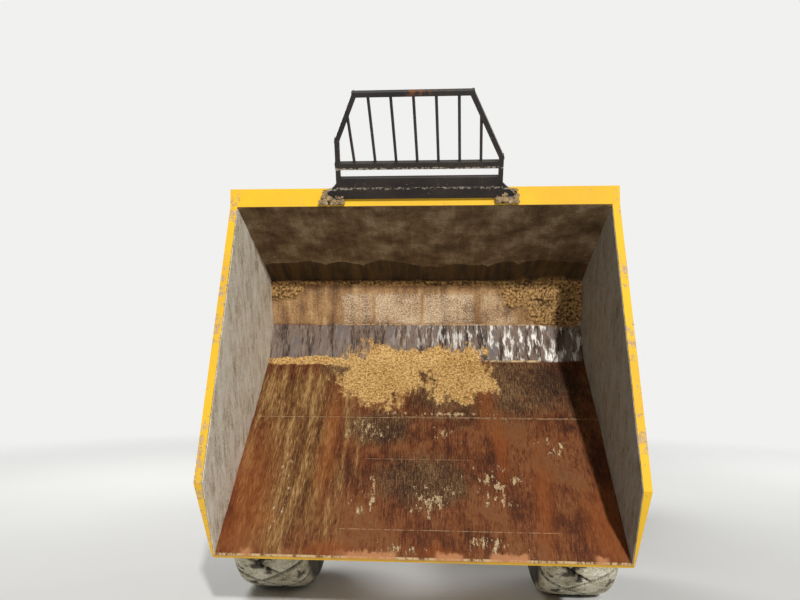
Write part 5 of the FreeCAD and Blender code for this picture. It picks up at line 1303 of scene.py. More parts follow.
@dataclass(frozen=True)
class Vinyl(Finish):
    """Black seat vinyl with a leather grain, grey with dust, and shiny where it is sat on."""

    name: str = "seat_vinyl"
    bump = 0.4
    depth = 0.0009

    def surface(self, shader: Shader) -> Surface:
        """Grain cells with dust between them."""
        crease = shader.cells(230.0, "DISTANCE_TO_EDGE").ramp(0.0, 0.10)
        cloud = shader.cloud(7.0, 5.0, 0.65)
        fine = shader.cloud(180.0, 3.0, 0.7)
        black = shader.stops(cloud, srgb(24, 24, 26), srgb(44, 43, 44))
        skin = Surface(black, shader.blend(cloud, 0.38, 0.56), 0.0, crease)
        film = Surface(srgb(122, 112, 98), 0.9, 0.0, crease)
        return skin.under(shader, (cloud * 0.6 + fine * 0.4).ramp(0.45, 0.75) * 0.4, film)


@dataclass(frozen=True)
class TyreRubber(Finish):
    """Tread under plates of dried grey mud, dark in the grooves, and a dusty side wall."""

    name: str = "tyre_mud"
    bump = 0.7
    depth = 0.004

    def surface(self, shader: Shader) -> Surface:
        """Rubber, dust on it, then the mud on the lugs, with painted shade in its cracks."""
        cloud = shader.cloud(9.0, 5.0, 0.65)
        grain = shader.cloud(150.0, 4.0, 0.75)
        bent = shader.place + shader.cloud(28.0) * 0.06
        crack = shader.cells(27.0, "DISTANCE_TO_EDGE", bent).ramp(0.035, 0.005) * cloud.ramp(0.42, 0.58)
        rubber = Surface(shader.stops(grain, srgb(20, 20, 20), srgb(40, 39, 37)), 0.8, 0.0, grain * 0.3)
        dusty = Surface(shader.stops(grain, srgb(74, 68, 58), srgb(116, 106, 90)), 0.95, 0.0, grain * 0.5)
        face = rubber.under(shader, shader.painted("wall") * cloud.ramp(0.35, 0.6) * 0.8, dusty)
        tone = (cloud * 0.5 + grain * 0.5).ramp(0.38, 0.62)
        pale = shader.stops(tone, srgb(104, 94, 76), srgb(186, 178, 152), srgb(214, 208, 184),
                            srgb(232, 228, 210))
        # Painted shade: the cracks between the mud plates are darkened to grey-brown.
        mud = Surface(shader.mix(crack * 0.6, pale, srgb(96, 86, 68)), 0.96, 0.0, grain * 0.6 + 0.6 - crack)
        return face.under(shader, shader.painted("mud"), mud)


@dataclass(frozen=True)
class Lens(Finish):
    """A lamp's lens or glass, with a film of dust."""

    name: str = "lens"
    tone: Colour = srgb(214, 218, 220)
    metal: float = 0.0
    gloss: float = 0.12
    coat = 0.6

    def surface(self, shader: Shader) -> Surface:
        """Clear face and the dust on it."""
        cloud = shader.cloud(16.0, 5.0, 0.65)
        deep = tuple(part * 0.55 for part in self.tone)
        colour = shader.stops(cloud, deep, self.tone)
        face = Surface(colour, shader.blend(cloud, self.gloss, 0.3), self.metal)
        film = Surface(srgb(170, 158, 138), 0.9)
        return face.under(shader, cloud.ramp(0.5, 0.8) * 0.35, film)


@dataclass(frozen=True)
class PaleFloor(Finish):
    """The studio's pale floor, which keeps the shadow and fades into the backdrop further out."""

    name: str = "studio_floor"
    fade: tuple[float, float] = (4.5, 11.0)

    def surface(self, shader: Shader) -> Surface:
        """Very even pale grey."""
        return Surface(shader.stops(shader.cloud(0.6, 2.0), srgb(222, 222, 220), srgb(228, 228, 226)), 0.9)

    def seen(self, shader: Shader, body: Signal) -> Signal:
        """The lit floor near the machine, and the backdrop's white far from it."""
        far = shader.add("ShaderNodeVectorMath", {"operation": "LENGTH"}, {0: shader.place}, "Value")
        direct = shader.add("ShaderNodeLightPath", output="Is Camera Ray")
        mirrored = shader.add("ShaderNodeLightPath", output="Is Glossy Ray")
        white = shader.add("ShaderNodeEmission", None, {"Color": BACKDROP, "Strength": BACKDROP_LEVEL})
        share = far.ramp(*self.fade) * direct.larger(mirrored)
        shader.material.cycles.emission_sampling = "NONE"
        return shader.add("ShaderNodeMixShader", None, {0: share, 1: body, 2: white})


BACKDROP = srgb(250, 250, 248)
BACKDROP_LEVEL = 0.92

YELLOW = Paint("skip_yellow", srgb(240, 178, 22), srgb(214, 156, 40), wear=0.45, dust=0.7)
RIM_YELLOW = RimPaint("rim_yellow", srgb(244, 194, 26), srgb(234, 182, 40), gloss=0.62, wear=0.2, dust=0.15)
GUARD_BLACK = GuardPaint("guard_black", srgb(30, 29, 30), srgb(50, 46, 44), wear=0.6, dust=0.2)
CHASSIS = Paint("chassis_grey", srgb(52, 53, 55), srgb(68, 68, 67), gloss=0.5, wear=0.4, dust=0.7)
AXLE = Paint("axle_grey", srgb(38, 38, 40), srgb(56, 54, 52), gloss=0.5, wear=0.5, dust=1.1)
RAM = Paint("ram_black", srgb(30, 31, 33), srgb(44, 44, 46), gloss=0.38, wear=0.25, dust=0.7)
CHROME = Metal("rod_chrome", srgb(208, 210, 212), srgb(140, 132, 118), 0.14, 0.15)
IRON = Paint("engine_iron", srgb(74, 76, 78), srgb(92, 88, 82), gloss=0.55, wear=0.35, dust=0.6)
CAST = Paint("cast_weight", srgb(52, 53, 55), srgb(70, 69, 67), gloss=0.6, wear=0.35, dust=0.6)
BODY = Paint("body_yellow", srgb(244, 184, 22), srgb(226, 168, 34), gloss=0.34, wear=0.2, dust=0.45)
TANK = Moulded("tank_black", srgb(36, 36, 38), srgb(140, 124, 100), 0.48, 0.8, 300.0)
STEP = Paint("step_black", srgb(40, 40, 42), srgb(58, 56, 54), gloss=0.55, wear=0.6, dust=0.7)
MUDGUARD = Paint("mudguard_yellow", srgb(240, 180, 24), srgb(216, 160, 40), wear=0.3, dust=0.8)
ROPS = Paint("rollbar_black", srgb(34, 34, 36), srgb(48, 48, 50), gloss=0.4, wear=0.3, dust=0.35)
EXHAUST = Metal("exhaust_steel", srgb(96, 84, 76), srgb(110, 70, 44), 0.5, 0.9)
WHEEL = Paint("wheel_white", srgb(196, 192, 184), srgb(176, 170, 160), gloss=0.45, wear=0.35, dust=1.0)
CONSOLE = Moulded("console_black", srgb(40, 40, 42), srgb(132, 120, 102), 0.52, 0.45)
WHEEL_GRIP = Moulded("steering_grip", srgb(22, 22, 23), srgb(110, 100, 88), 0.42, 0.25, 700.0)
LAMP = Moulded("lamp_black", srgb(26, 26, 28), srgb(120, 110, 96), 0.4, 0.4)
RED = Lens("lens_red", srgb(176, 22, 18))
AMBER = Lens("lens_amber", srgb(236, 128, 12))
CLEAR = Lens("lens_clear", srgb(206, 212, 214), 0.4, 0.1)
GLASS = Lens("mirror_glass", srgb(188, 196, 200), 0.95, 0.04)
RUBBER = Moulded("rubber", srgb(24, 24, 24), srgb(118, 108, 92), 0.72, 0.5)
STEEL = Metal("worn_steel", srgb(150, 146, 138), srgb(104, 78, 56), 0.36, 0.6)
ZINC = Metal("zinc_bolts", srgb(168, 164, 150), srgb(110, 92, 70), 0.38, 0.45)
WELD = Metal("weld_bead", srgb(92, 84, 78), srgb(86, 62, 44), 0.5, 0.5)
VINYL = Vinyl()
TYRE = TyreRubber()

SLOTS: dict[str, Finish] = {
    "skip_steel": YELLOW,
    "skip_paint": RIM_YELLOW,
    "guard_paint": GUARD_BLACK,
    "chassis_paint": CHASSIS,
    "axle_paint": AXLE,
    "ram_paint": RAM,
    "rod_chrome": CHROME,
    "cast_weight": CAST,
    "engine_iron": IRON,
    "body_paint": BODY,
    "tank_plastic": TANK,
    "step_paint": STEP,
    "mudguard_paint": MUDGUARD,
    "rops_paint": ROPS,
    "exhaust_steel": EXHAUST,
    "rim_paint": WHEEL,
    "tyre": TYRE,
    "seat_vinyl": VINYL,
    "console_plastic": CONSOLE,
    "wheel_plastic": WHEEL_GRIP,
    "lamp_plastic": LAMP,
    "lamp_red": RED,
    "beacon_amber": AMBER,
}


@dataclass(frozen=True)
class Tyres:
    """The four lugged tyres, each one closed ring whose tread is cut by two families of grooves."""

    radius: float = 0.5835
    centre_z: float = 0.585
    track: float = 1.950
    front_y: float = -0.9981
    rear_y: float = 1.6519
    lugs: int = 17
    steps_a_lug: int = 26
    depth: float = 0.028
    slope: float = 0.75
    groove_share: float = 0.12
    groove_wall: float = 0.006
    shoulder: float = 0.236
    lug_end: float = 0.286
    half_line: tuple[tuple[float, float], ...] = (
        (0.0, 0.0), (0.06, 0.0006), (0.12, 0.003), (0.17, 0.0095), (0.205, 0.021), (0.230, 0.044),
        (0.243, 0.078), (0.249, 0.118), (0.248, 0.158), (0.241, 0.198), (0.229, 0.235), (0.217, 0.262),
        (0.2135, 0.2755),
    )
    seat: tuple[tuple[float, float], ...] = ((0.2022, 0.3072), (0.2022, 0.2868))

    def outline(self) -> list[tuple[float, float, float]]:
        """Half the section from the crown to the bead: x, radius and distance along it."""
        line = [Vector((x, self.radius - drop)) for x, drop in self.half_line]
        found = [(line[0].x, line[0].y, 0.0)]
        total = 0.0
        for k in range(len(line) - 1):
            before, after = line[max(k - 1, 0)], line[min(k + 2, len(line) - 1)]
            if k == 0:
                before = Vector((-line[1].x, line[1].y))
            pieces = max(round((line[k + 1] - line[k]).length / 0.0085), 1)
            for step in range(1, pieces + 1):
                t = step / pieces
                a, b = (line[k + 1] - before) * 0.5, (after - line[k]) * 0.5
                point = (line[k] * (2 * t ** 3 - 3 * t ** 2 + 1) + a * (t ** 3 - 2 * t ** 2 + t)
                         + line[k + 1] * (3 * t ** 2 - 2 * t ** 3) + b * (t ** 3 - t ** 2))
                total += (point - Vector(found[-1][:2])).length
                found.append((point.x, point.y, total))
        return found

    def groove(self, across: float, around: float) -> float:
        """How deep in a groove a place is, from 0 on a lug to 1.

        Args:
            across: Distance from the crown along the section, to either side.
            around: Distance around the tread.

        Returns:
            The depth's share.
        """
        pitch = 2 * math.pi * self.radius / self.lugs
        overlap = pitch / (4 * self.slope)
        deepest = 0.0
        half = self.groove_share * pitch / 2 / math.hypot(1.0, self.slope)
        for side, shift in ((1, 0.0), (-1, 0.5)):
            reach = across * side
            if reach < -overlap - 0.01:
                continue
            offset = (around / pitch - shift - self.groove_share / 2 + self.slope * reach / pitch) % 1.0
            gap = min(offset, 1.0 - offset) * pitch / math.hypot(1.0, self.slope)
            cut = ease(gap, half + self.groove_wall / 2, half - self.groove_wall / 2)
            deepest = max(deepest, cut * ease(reach, -overlap - 0.01, -overlap))
        return deepest * ease(abs(across), self.lug_end, self.shoulder)

    def shape(self) -> tuple[list[list[Vector]], dict[str, list[float]]]:
        """Rings of points about the wheel's own middle, and their values."""
        half = self.outline()
        line = [(-x, r, -along) for x, r, along in reversed(half[1:])] + half
        base = [(x, r) for x, r in self.seat]
        base += [(-x, r) for x, r in reversed(self.seat)]
        count = self.lugs * self.steps_a_lug
        rings: list[list[Vector]] = []
        values: dict[str, list[float]] = {"mud": [], "wall": []}
        for k in range(count):
            turn = 2 * math.pi * k / count
            way = Vector((0, math.sin(turn), -math.cos(turn)))
            ring = []
            for x, r, across in line:
                cut = self.groove(across, self.radius * turn)
                here = Vector((x * 9, way.y * r * 9, way.z * r * 9))
                rough = noise.fractal(here, 0.9, 2.1, 4)
                tread = ease(abs(across), self.lug_end, self.shoulder)
                fill = 0.35 * ease(rough, 0.1, 0.6)
                fine = noise.fractal(here * 7, 0.8, 2.1, 3)
                lift = tread * (1 - cut) * (0.0008 + 0.0007 * fine)
                ribs = 0.0014 * (1 - tread) * ease(math.sin(abs(across) * 330), 0.2, 0.6)
                ribs *= ease(abs(across), 0.30, 0.33) * ease(abs(across), 0.47, 0.44)
                ring.append(Vector((x, 0, 0)) + way * (r - self.depth * cut * (1 - fill) + lift + ribs))
                mud = tread * ease(cut, 0.55, 0.12) * ease(rough, -0.55, -0.25)
                values["mud"].append(max(mud, 0.5 * ease(rough, 0.15, 0.5) * tread * cut))
                values["wall"].append(1 - tread * ease(cut, 0.0, 0.3))
            for x, r in base:
                ring.append(Vector((x, 0, 0)) + way * r)
                for row in values.values():
                    row.append(0.0)
            rings.append(ring)
        return rings, values

    def build(self) -> None:
        """Makes the four tyres."""
        rings, values = self.shape()
        for end, y in (("front", self.front_y), ("rear", self.rear_y)):
            for side, sign in (("left", 1), ("right", -1)):
                middle = Vector((sign * self.track / 2, y, self.centre_z))
                forms = Forms()
                forms.skin([[middle + point for point in ring] for ring in rings], caps=False)
                body = f"wheel_{end}_{side}"
                made = forms.piece(f"lugged_tyre_{end}_{side}", body, TYRE, "tyre", 40.0)
                write_values(made.data, values)
                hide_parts(f"tyre_{end}_{side}")


@dataclass(frozen=True)
class Pad:
    """One padded part of the seat, swollen by a cloth simulation, with sewn channels after it."""

    name: str
    node: str
    width: float
    depth: float
    height: float
    lean: float
    channels: tuple[float, ...]
    inset: float = 0.075
    shrink: float = 0.010
    corner: float = 0.030
    voxel: float = 0.0075
    cap: float = 0.014
    frames: int = 20
    pressure: float = 4.0
    seam_half: float = 0.006
    seam_deep: float = 0.008
    dish: float = 0.006
    welt_share: float = 0.28
    welt_half: float = 0.004
    welt_deep: float = 0.003

    def blank(self) -> bpy.types.Object:
        """The closed form that the simulation starts from, a rounded block about the origin."""
        shape = bmesh.new()
        bmesh.ops.create_cube(shape, size=2.0)
        bmesh.ops.subdivide_edges(shape, edges=shape.edges, cuts=14, use_grid_fill=True)
        half = Vector((self.width / 2, self.depth / 2, self.height / 2)) - Vector((self.shrink,) * 3)
        for point in shape.verts:
            full = Vector(tuple(part * size for part, size in zip(point.co, half)))
            inner = Vector(tuple(max(min(part, size - self.corner), self.corner - size)
                                 for part, size in zip(full, half)))
            out = full - inner
            point.co = inner + out.normalized() * min(out.length, self.corner) if out.length else full
        mesh = bpy.data.meshes.new(self.name)
        shape.to_mesh(mesh)
        shape.free()
        made = bpy.data.objects.new(self.name, mesh)
        bpy.context.scene.collection.objects.link(made)
        return made

    def swell(self, made: bpy.types.Object) -> None:
        """Voxel remesh, then cloth under pressure, with each point's travel capped."""
        remesh = made.modifiers.new("remesh", "REMESH")
        remesh.mode = "VOXEL"
        remesh.voxel_size = self.voxel
        self.settle(made)
        start = [point.co.copy() for point in made.data.vertices]
        cloth = made.modifiers.new("cloth", "CLOTH")
        cloth.settings.use_pressure = True
        cloth.settings.uniform_pressure_force = self.pressure
        cloth.settings.effector_weights.gravity = 0.0
        cloth.point_cache.frame_start, cloth.point_cache.frame_end = 1, self.frames
        scene = bpy.context.scene
        for frame_number in range(1, self.frames + 1):
            scene.frame_set(frame_number)
        self.settle(made)
        scene.frame_set(1)
        for point, before in zip(made.data.vertices, start):
            travel = point.co - before
            if travel.length > self.cap:
                point.co = before + travel * (self.cap / travel.length)

    @staticmethod
    def settle(made: bpy.types.Object) -> None:
        """Turns the object's modifiers into its mesh."""
        graph = bpy.context.evaluated_depsgraph_get()
        mesh = bpy.data.meshes.new_from_object(made.evaluated_get(graph))
        old = made.data
        made.modifiers.clear()
        made.data = mesh
        bpy.data.meshes.remove(old)

    def sew(self, made: bpy.types.Object) -> None:
        """Subdivides, then presses the seams: a panel's outline and the channels across it."""
        shape = bmesh.new()
        shape.from_mesh(made.data)
        bmesh.ops.subdivide_edges(shape, edges=shape.edges, cuts=1, use_grid_fill=True, smooth=0.4)
        axes = {f"use_axis_{axis}": True for axis in "xyz"}
        bmesh.ops.smooth_vert(shape, verts=shape.verts, factor=0.5, **axes)
        half_x, half_y = self.width / 2 - self.inset, self.depth / 2 - self.inset
        for point in shape.verts:
            x, y, z = point.co
            if z < 0:
                welt = abs(z + self.height * self.welt_share)
                if welt < 5 * self.welt_half:
                    point.co -= point.normal * self.welt_deep * math.exp(-((welt / self.welt_half) ** 2))
                continue
            ring = max(abs(x) - half_x, abs(y) - half_y)
            pull = math.exp(-((ring / self.seam_half) ** 2))
            if ring < 0:
                for channel in self.channels:
                    pull = max(pull, math.exp(-(((y - channel) / self.seam_half) ** 2)))
            face = ease(z, 0.0, self.height * 0.3)
            point.co.z -= self.seam_deep * pull * face
            if ring < 0:
                point.co.z -= self.dish * face * (1 - 0.5 * pull)
        shape.to_mesh(made.data)
        shape.free()

    def build(self, middle: Vector) -> None:
        """Makes the pad about its middle.

        Args:
            middle: The middle of the space that its solid fills.
        """
        made = self.blank()
        self.swell(made)
        self.sew(made)
        made.data.transform(Matrix.Translation(middle + ORIGIN) @ Matrix.Rotation(self.lean, 4, "X"))
        made.data.materials.clear()
        made.data.materials.append(VINYL.material())
        made.data.shade_smooth()
        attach(made, "rear_chassis")
        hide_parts(self.node)
        LOG.info("%s: %d faces", self.name, len(made.data.polygons))


@dataclass(frozen=True)
class DryMud(Finish):
    """Crumbs and cakes of dried soil."""

    name: str = "dry_mud"
    bump = 0.9
    depth = 0.004

    def surface(self, shader: Shader) -> Surface:
        """Pale crust, darker where it is broken."""
        cloud = shader.cloud(24.0, 5.0, 0.7)
        grain = shader.cloud(210.0, 4.0, 0.8)
        tone = (cloud * 0.5 + grain * 0.5).ramp(0.3, 0.7)
        colour = shader.stops(tone, srgb(112, 90, 62), srgb(154, 128, 92), srgb(180, 154, 116),
                              srgb(202, 180, 144))
        return Surface(colour, 0.96, 0.0, cloud + grain)


def around(middle: Sequence[float], axis: Sequence[float], radius: float, count: int,
           first: Optional[Sequence[float]] = None) -> list[Vector]:
    """Points spaced evenly on a circle about an axis.

    Args:
        middle: The circle's middle.
        axis: Its axis.
        radius: Its radius.
        count: How many points.
        first: Direction of the first point, if it matters.

    Returns:
        The points.
    """
    way = Vector(axis).normalized()
    side = Vector(first) if first is not None else way.orthogonal().normalized()
    return circle(Vector(middle), side, way.cross(side), radius, count)


class Kind(Enum):
    """What a fitting is made of: label, finish and the record's slot."""

    BOLT = ("bolts", ZINC, "rod_chrome")
    SEAM = ("welds", WELD, "skip_steel")
    STEEL = ("steel", STEEL, "rod_chrome")
    BLACK = ("black", LAMP, "lamp_plastic")
    RUBBER = ("rubber", RUBBER, "console_plastic")
    CLEAR = ("lenses", CLEAR, "lamp_plastic")
    GLASS = ("glass", GLASS, "lamp_plastic")
    RED = ("red", RED, "lamp_red")
    AMBER = ("amber", AMBER, "beacon_amber")
    PLATE = ("plate", STEP, "step_paint")
    BODY = ("corners", BODY, "body_paint")
    MUD = ("mud", DryMud(), "tyre")


class Kit:
    """Collects small fittings by the body that they move with and by what they are made of."""

    def __init__(self) -> None:
        """Starts empty."""
        self.lots: dict[tuple[str, Kind], Forms] = {}

    def on(self, body: str, kind: Kind) -> Forms:
        """The forms of one kind on one body."""
        return self.lots.setdefault((body, kind), Forms())

    def bolts(self, body: str, seats: Iterable[Sequence[float]], axis: Sequence[float],
              across: float) -> None:
        """Bolts of one size on a body, each on its seat."""
        for seat in seats:
            self.on(body, Kind.BOLT).bolt(seat, axis, across)

    def nipple(self, body: str, seat: Sequence[float], axis: Sequence[float]) -> None:
        """A grease nipple."""
        line = [(-0.002, 0.0065), (0.006, 0.0065), (0.007, 0.0035), (0.013, 0.0035), (0.016, 0.0045),
                (0.019, 0.002)]
        self.on(body, Kind.BOLT).turned(line, seat, axis, 8)

    def crumbs(self, body: str, low: Sequence[float], high: Sequence[float], count: int, size: float,
               sides: bool = False) -> None:
        """Lumps of mud at random places in a box.

        Args:
            body: The body that they stick to.
            low: The box's lowest corner.
            high: Its highest corner.
            count: How many lumps.
            size: The largest lump's half size.
            sides: Whether each lump has a twin across the machine's middle.
        """
        for _ in range(count):
            place = [random.uniform(a, b) for a, b in zip(low, high)]
            half = size * random.uniform(0.35, 1.0)
            reach = (half * random.uniform(0.8, 1.5), half * random.uniform(0.8, 1.5), half * 0.6)
            seed = random.uniform(0, 90)
            for sign in (1, -1) if sides else (1,):
                self.on(body, Kind.MUD).lump((place[0] * sign, place[1], place[2]), reach, seed, 0.5, 6, 9)

    def build(self) -> None:
        """Makes every piece."""
        for (body, kind), forms in self.lots.items():
            label, finish, slot = kind.value
            forms.piece(f"{body}_{label}", body, finish, slot, 40.0)


@dataclass(frozen=True)
class WheelFittings:
    """Nuts, hub bolts, plug, weld and valve of each wheel, and the axles' own bolts."""

    track: float = 1.950
    centre_z: float = 0.585
    axles: tuple[tuple[str, float], ...] = (("front", -0.9981), ("rear", 1.6519))
    disc_out: float = 0.108
    drum_out: float = 0.160
    cap_out: float = 0.185
    stud_circle: float = 0.195
    hub_circle: float = 0.122
    weld_circle: float = 0.2735
    banjo: float = 0.165
    banjo_half: float = 0.095
    drum_in: float = 0.780

    def fit(self, kit: Kit) -> None:
        """Both axles and their wheels."""
        for end, y in self.axles:
            self.axle(kit, f"{end}_chassis", y)
            for side, sign in (("left", 1), ("right", -1)):
                middle = Vector((sign * self.track / 2, y, self.centre_z))
                self.wheel(kit, f"wheel_{end}_{side}", middle, sign)

    def wheel(self, kit: Kit, body: str, middle: Vector, sign: int) -> None:
        """One wheel's fittings.

        Args:
            kit: Takes the fittings.
            body: The wheel's body.
            middle: The wheel's middle.
            sign: 1 where the outer face looks along +X.
        """
        out = X_UNIT * sign
        disc = middle + out * self.disc_out
        nut = [(0, 0.026), (0.003, 0.026), (0.0035, 0.0205), (0.016, 0.0205), (0.019, 0.0165)]
        for seat in around(disc, out, self.stud_circle, 10, Y_UNIT):
            kit.on(body, Kind.BOLT).turned(nut, seat, out, 6, random.uniform(0, 1))
        kit.bolts(body, around(middle + out * self.drum_out, out, self.hub_circle, 12), out, 0.018)
        plug = [(0, 0.032), (0.005, 0.032), (0.006, 0.019), (0.016, 0.019), (0.018, 0.016)]
        kit.on(body, Kind.STEEL).turned(plug, middle + out * self.cap_out, out, 6)
        kit.on(body, Kind.SEAM).tube(around(disc, out, self.weld_circle, 120), 0.005, 6, closed=True)
        stem = disc + Z_UNIT * 0.246 - out * 0.004
        kit.on(body, Kind.RUBBER).rod(stem, stem + out * 0.022 + Z_UNIT * 0.004, 0.0075, 12, 0.002)
        kit.on(body, Kind.BOLT).rod(stem, stem + out * 0.042 + Z_UNIT * 0.008, 0.004, 10, 0.001)
        for k, place in enumerate(around(disc, out, 0.262, 17)):
            if k % 3 != 1:
                size = random.uniform(0.010, 0.026)
                kit.on(body, Kind.MUD).lump(place, (0.010, size, size), k * 1.7 + middle.y, 0.5, 6, 9)

    def axle(self, kit: Kit, body: str, y: float) -> None:
        """One axle's plugs and bolts."""
        middle = Vector((0, y, self.centre_z))
        for sign in (1, -1):
            out = X_UNIT * sign
            kit.bolts(body, around(middle + out * self.banjo_half, out, self.banjo - 0.018, 14), out, 0.016)
            kit.bolts(body, around(middle + out * self.drum_in, -out, 0.112, 12), -out, 0.016)
        for way in (-Z_UNIT, Y_UNIT):
            kit.bolts(body, [middle + way * (self.banjo - 0.002)], way, 0.030)
        kit.nipple(body, middle + Z_UNIT * (self.banjo - 0.001) + X_UNIT * 0.04, Z_UNIT)
        kit.crumbs(body, (0.36, y - 0.045, 0.628), (0.76, y + 0.045, 0.645), 16, 0.030, True)


@dataclass(frozen=True)
class RamFittings:
    """Gland, ports, base weld and grease nipples of one kind of ram."""

    barrels: str
    rods: str
    base: Point
    head: Point
    across: Point
    length: float
    radius: float
    rod: float
    eye: float
    twins: bool

    def fit(self, kit: Kit) -> None:
        """The ram's fittings, with its twin's."""
        base, head = Vector(self.base), Vector(self.head)
        way = (head - base).normalized()
        out = way.cross(Vector(self.across))
        mouth = base + way * self.length
        wide, rod = self.radius + 0.005, self.rod
        gland = [(-0.036, self.radius), (-0.033, wide), (-0.004, wide), (0.0, wide - 0.004),
                 (0.002, rod + 0.012), (0.007, rod + 0.010), (0.009, rod + 0.0005)]
        kit.on(self.barrels, Kind.STEEL).turned(gland, mouth, way, 40)
        kit.bolts(self.barrels, around(mouth - way * 0.002, way, (rod + wide) / 2 + 0.003, 8), way, 0.009)
        for reach in (self.eye + 0.05, self.length - 0.075):
            seat = base + way * reach + out * (self.radius - 0.004)
            kit.on(self.barrels, Kind.STEEL).rod(seat, seat + out * 0.020, 0.015, 16, 0.002)
            kit.bolts(self.barrels, [seat + out * 0.019], out, 0.019)
        ring = around(base + way * (self.eye + 0.014), way, self.radius - 0.003, 60)
        kit.on(self.barrels, Kind.SEAM).tube(ring, 0.004, 6, closed=True)
        kit.nipple(self.barrels, base - way * self.eye, -way)
        kit.nipple(self.rods, head + way * self.eye, way)
        kit.on(self.rods, Kind.SEAM).tube(around(head - way * self.eye, way, rod, 40), 0.0035, 6, closed=True)
        if self.twins:
            for body in (self.barrels, self.rods):
                for (owner, _), forms in kit.lots.items():
                    if owner == body:
                        forms.mirror()


@dataclass(frozen=True)
class ChassisFittings:
    """Pin heads, pivot caps, trunnion bolts, welds and mud of both chassis."""

    pins: tuple[tuple[str, float, float, float, float], ...] = (
        ("skip", 0.352, -1.2531, 1.165, 0.025),
        ("skip", 0.210, -1.1800, 1.4098, 0.020),
        ("front_chassis", 0.198, -0.2381, 0.690, 0.020),
    )
    pivot_y: float = 0.1519
    fork: tuple[float, float] = (0.575, 0.900)
    trunnion: Point = (0.0, 0.4219, 0.7375)
    side_seams: tuple[tuple[float, tuple[float, float], tuple[float, float], float, float], ...] = (
        (0.305, (-0.0985, 0.565), (-0.0985, 0.895), 0.005, 1.0),
        (0.296, (-1.400, 0.905), (-1.318, 1.130), 0.004, 2.0),
    )
    axle_plates: tuple[tuple[str, float, float, float], ...] = (
        ("front_chassis", 0.305, -0.9981, 0.735),
        ("rear_chassis", 0.285, 1.6519, 0.695),
    )

    def fit(self, kit: Kit) -> None:
        """Everything on the two chassis."""
        for body, x, y, z, radius in self.pins:
            for sign in (1, -1):
                out, end = X_UNIT * sign, Vector((sign * x, y, z))
                head = [(-0.002, radius * 1.45), (0.006, radius * 1.45), (0.009, radius * 1.25)]
                kit.on(body, Kind.STEEL).turned(head, end, out, 28)
                kit.bolts(body, around(end + out * 0.008, out, radius * 0.85, 2, Y_UNIT), out, 0.013)
                kit.nipple(body, end + out * 0.008, out)
        for z, way in zip(self.fork, (-Z_UNIT, Z_UNIT)):
            seat = Vector((0, self.pivot_y, z))
            cap = [(-0.012, 0.062), (0.004, 0.062), (0.009, 0.056)]
            kit.on("front_chassis", Kind.STEEL).turned(cap, seat, way, 36)
            kit.bolts("front_chassis", around(seat + way * 0.008, way, 0.044, 4), way, 0.018)
            kit.nipple("front_chassis", seat + way * 0.008, way)
        kit.bolts("rear_chassis", around(self.trunnion, -Y_UNIT, 0.108, 10), -Y_UNIT, 0.022)
        for body, x, y, z in self.axle_plates:
            for sign in (1, -1):
                seats = [(sign * x, y + along, z + up) for along in (-0.06, 0, 0.06) for up in (0, 0.055)]
                kit.bolts(body, seats, X_UNIT * sign, 0.022)
        seams = kit.on("front_chassis", Kind.SEAM)
        for sign in (1, -1):
            for x, (y0, z0), (y1, z1), radius, seed in self.side_seams:
                seams.bead((sign * x, y0, z0), (sign * x, y1, z1), radius, seed)
        seams.bead((-0.195, -0.0735, 0.887), (0.195, -0.0735, 0.887), 0.005)
        ring = around(self.trunnion, Y_UNIT, 0.087, 60)
        kit.on("rear_chassis", Kind.SEAM).tube(ring, 0.005, 6, closed=True)
        kit.crumbs("front_chassis", (0.287, -0.85, 0.899), (0.303, -0.15, 0.903), 22, 0.018, True)
        kit.crumbs("front_chassis", (-0.24, -0.13, 0.572), (0.24, -0.08, 0.578), 14, 0.022)
        kit.crumbs("rear_chassis", (-0.24, 0.510, 0.600), (0.24, 0.525, 0.880), 10, 0.014)


@dataclass(frozen=True)
class SkipFittings:
    """Welds of the ribs and sides, and the mud caught at the guard's feet."""

    lines: SkipLines
    plate: float = 0.008
    ribs: tuple[float, ...] = (0.0, 0.48, 0.94)
    rib_half: float = 0.045
    feet: tuple[tuple[int, float, float], ...] = ((1, 0.428, 0.552), (-1, 0.458, 0.582))

    def outside(self, corner: int, away: float) -> Vector:
        """A corner of the folded sheet's outside, moved away from the skip."""
        corners = self.lines.corners
        k = min(corner, 3)
        way = (corners[k + 1] - corners[k]).normalized()
        return corners[corner] + Vector((0, way.z, -way.y)) * away

    def fit(self, kit: Kit) -> None:
        """The welds and the mud."""
        seams = kit.on("skip", Kind.SEAM)
        base = self.outside(3, self.plate).lerp(self.outside(4, self.plate), 0.02)
        top = self.outside(3, self.plate).lerp(self.outside(4, self.plate), 0.92)
        for x in self.ribs:
            for edge in {x - self.rib_half, x + self.rib_half, -x - self.rib_half, -x + self.rib_half}:
                seams.bead(base + X_UNIT * edge, top + X_UNIT * edge, 0.0045, edge * 9)
        side = self.lines.half_inside + self.plate
        for k in range(4):
            start, end = self.outside(k, self.plate), self.outside(k + 1, self.plate)
            for sign in (1, -1):
                out = X_UNIT * side * sign
                seams.bead(start.lerp(end, 0.03) + out, start.lerp(end, 0.97) + out, 0.0045, k + sign)
        foot = self.lines.onward(self.lines.corners[-1], self.lines.band_rise, 0.030)
        for sign, inner, outer in self.feet:
            for k in range(34):
                x = sign * random.uniform(inner, outer)
                place = self.lines.onward(foot, self.lines.band_rise, random.uniform(-0.024, 0.052))
                place = self.lines.onward(place, self.lines.band_rise + 90, random.uniform(0.010, 0.030))
                size = random.uniform(0.006, 0.017)
                reach = (size * 1.2, size, size)
                kit.on("skip", Kind.MUD).lump(place + X_UNIT * x, reach, k * 2.3 + sign, 0.5, 6, 9)


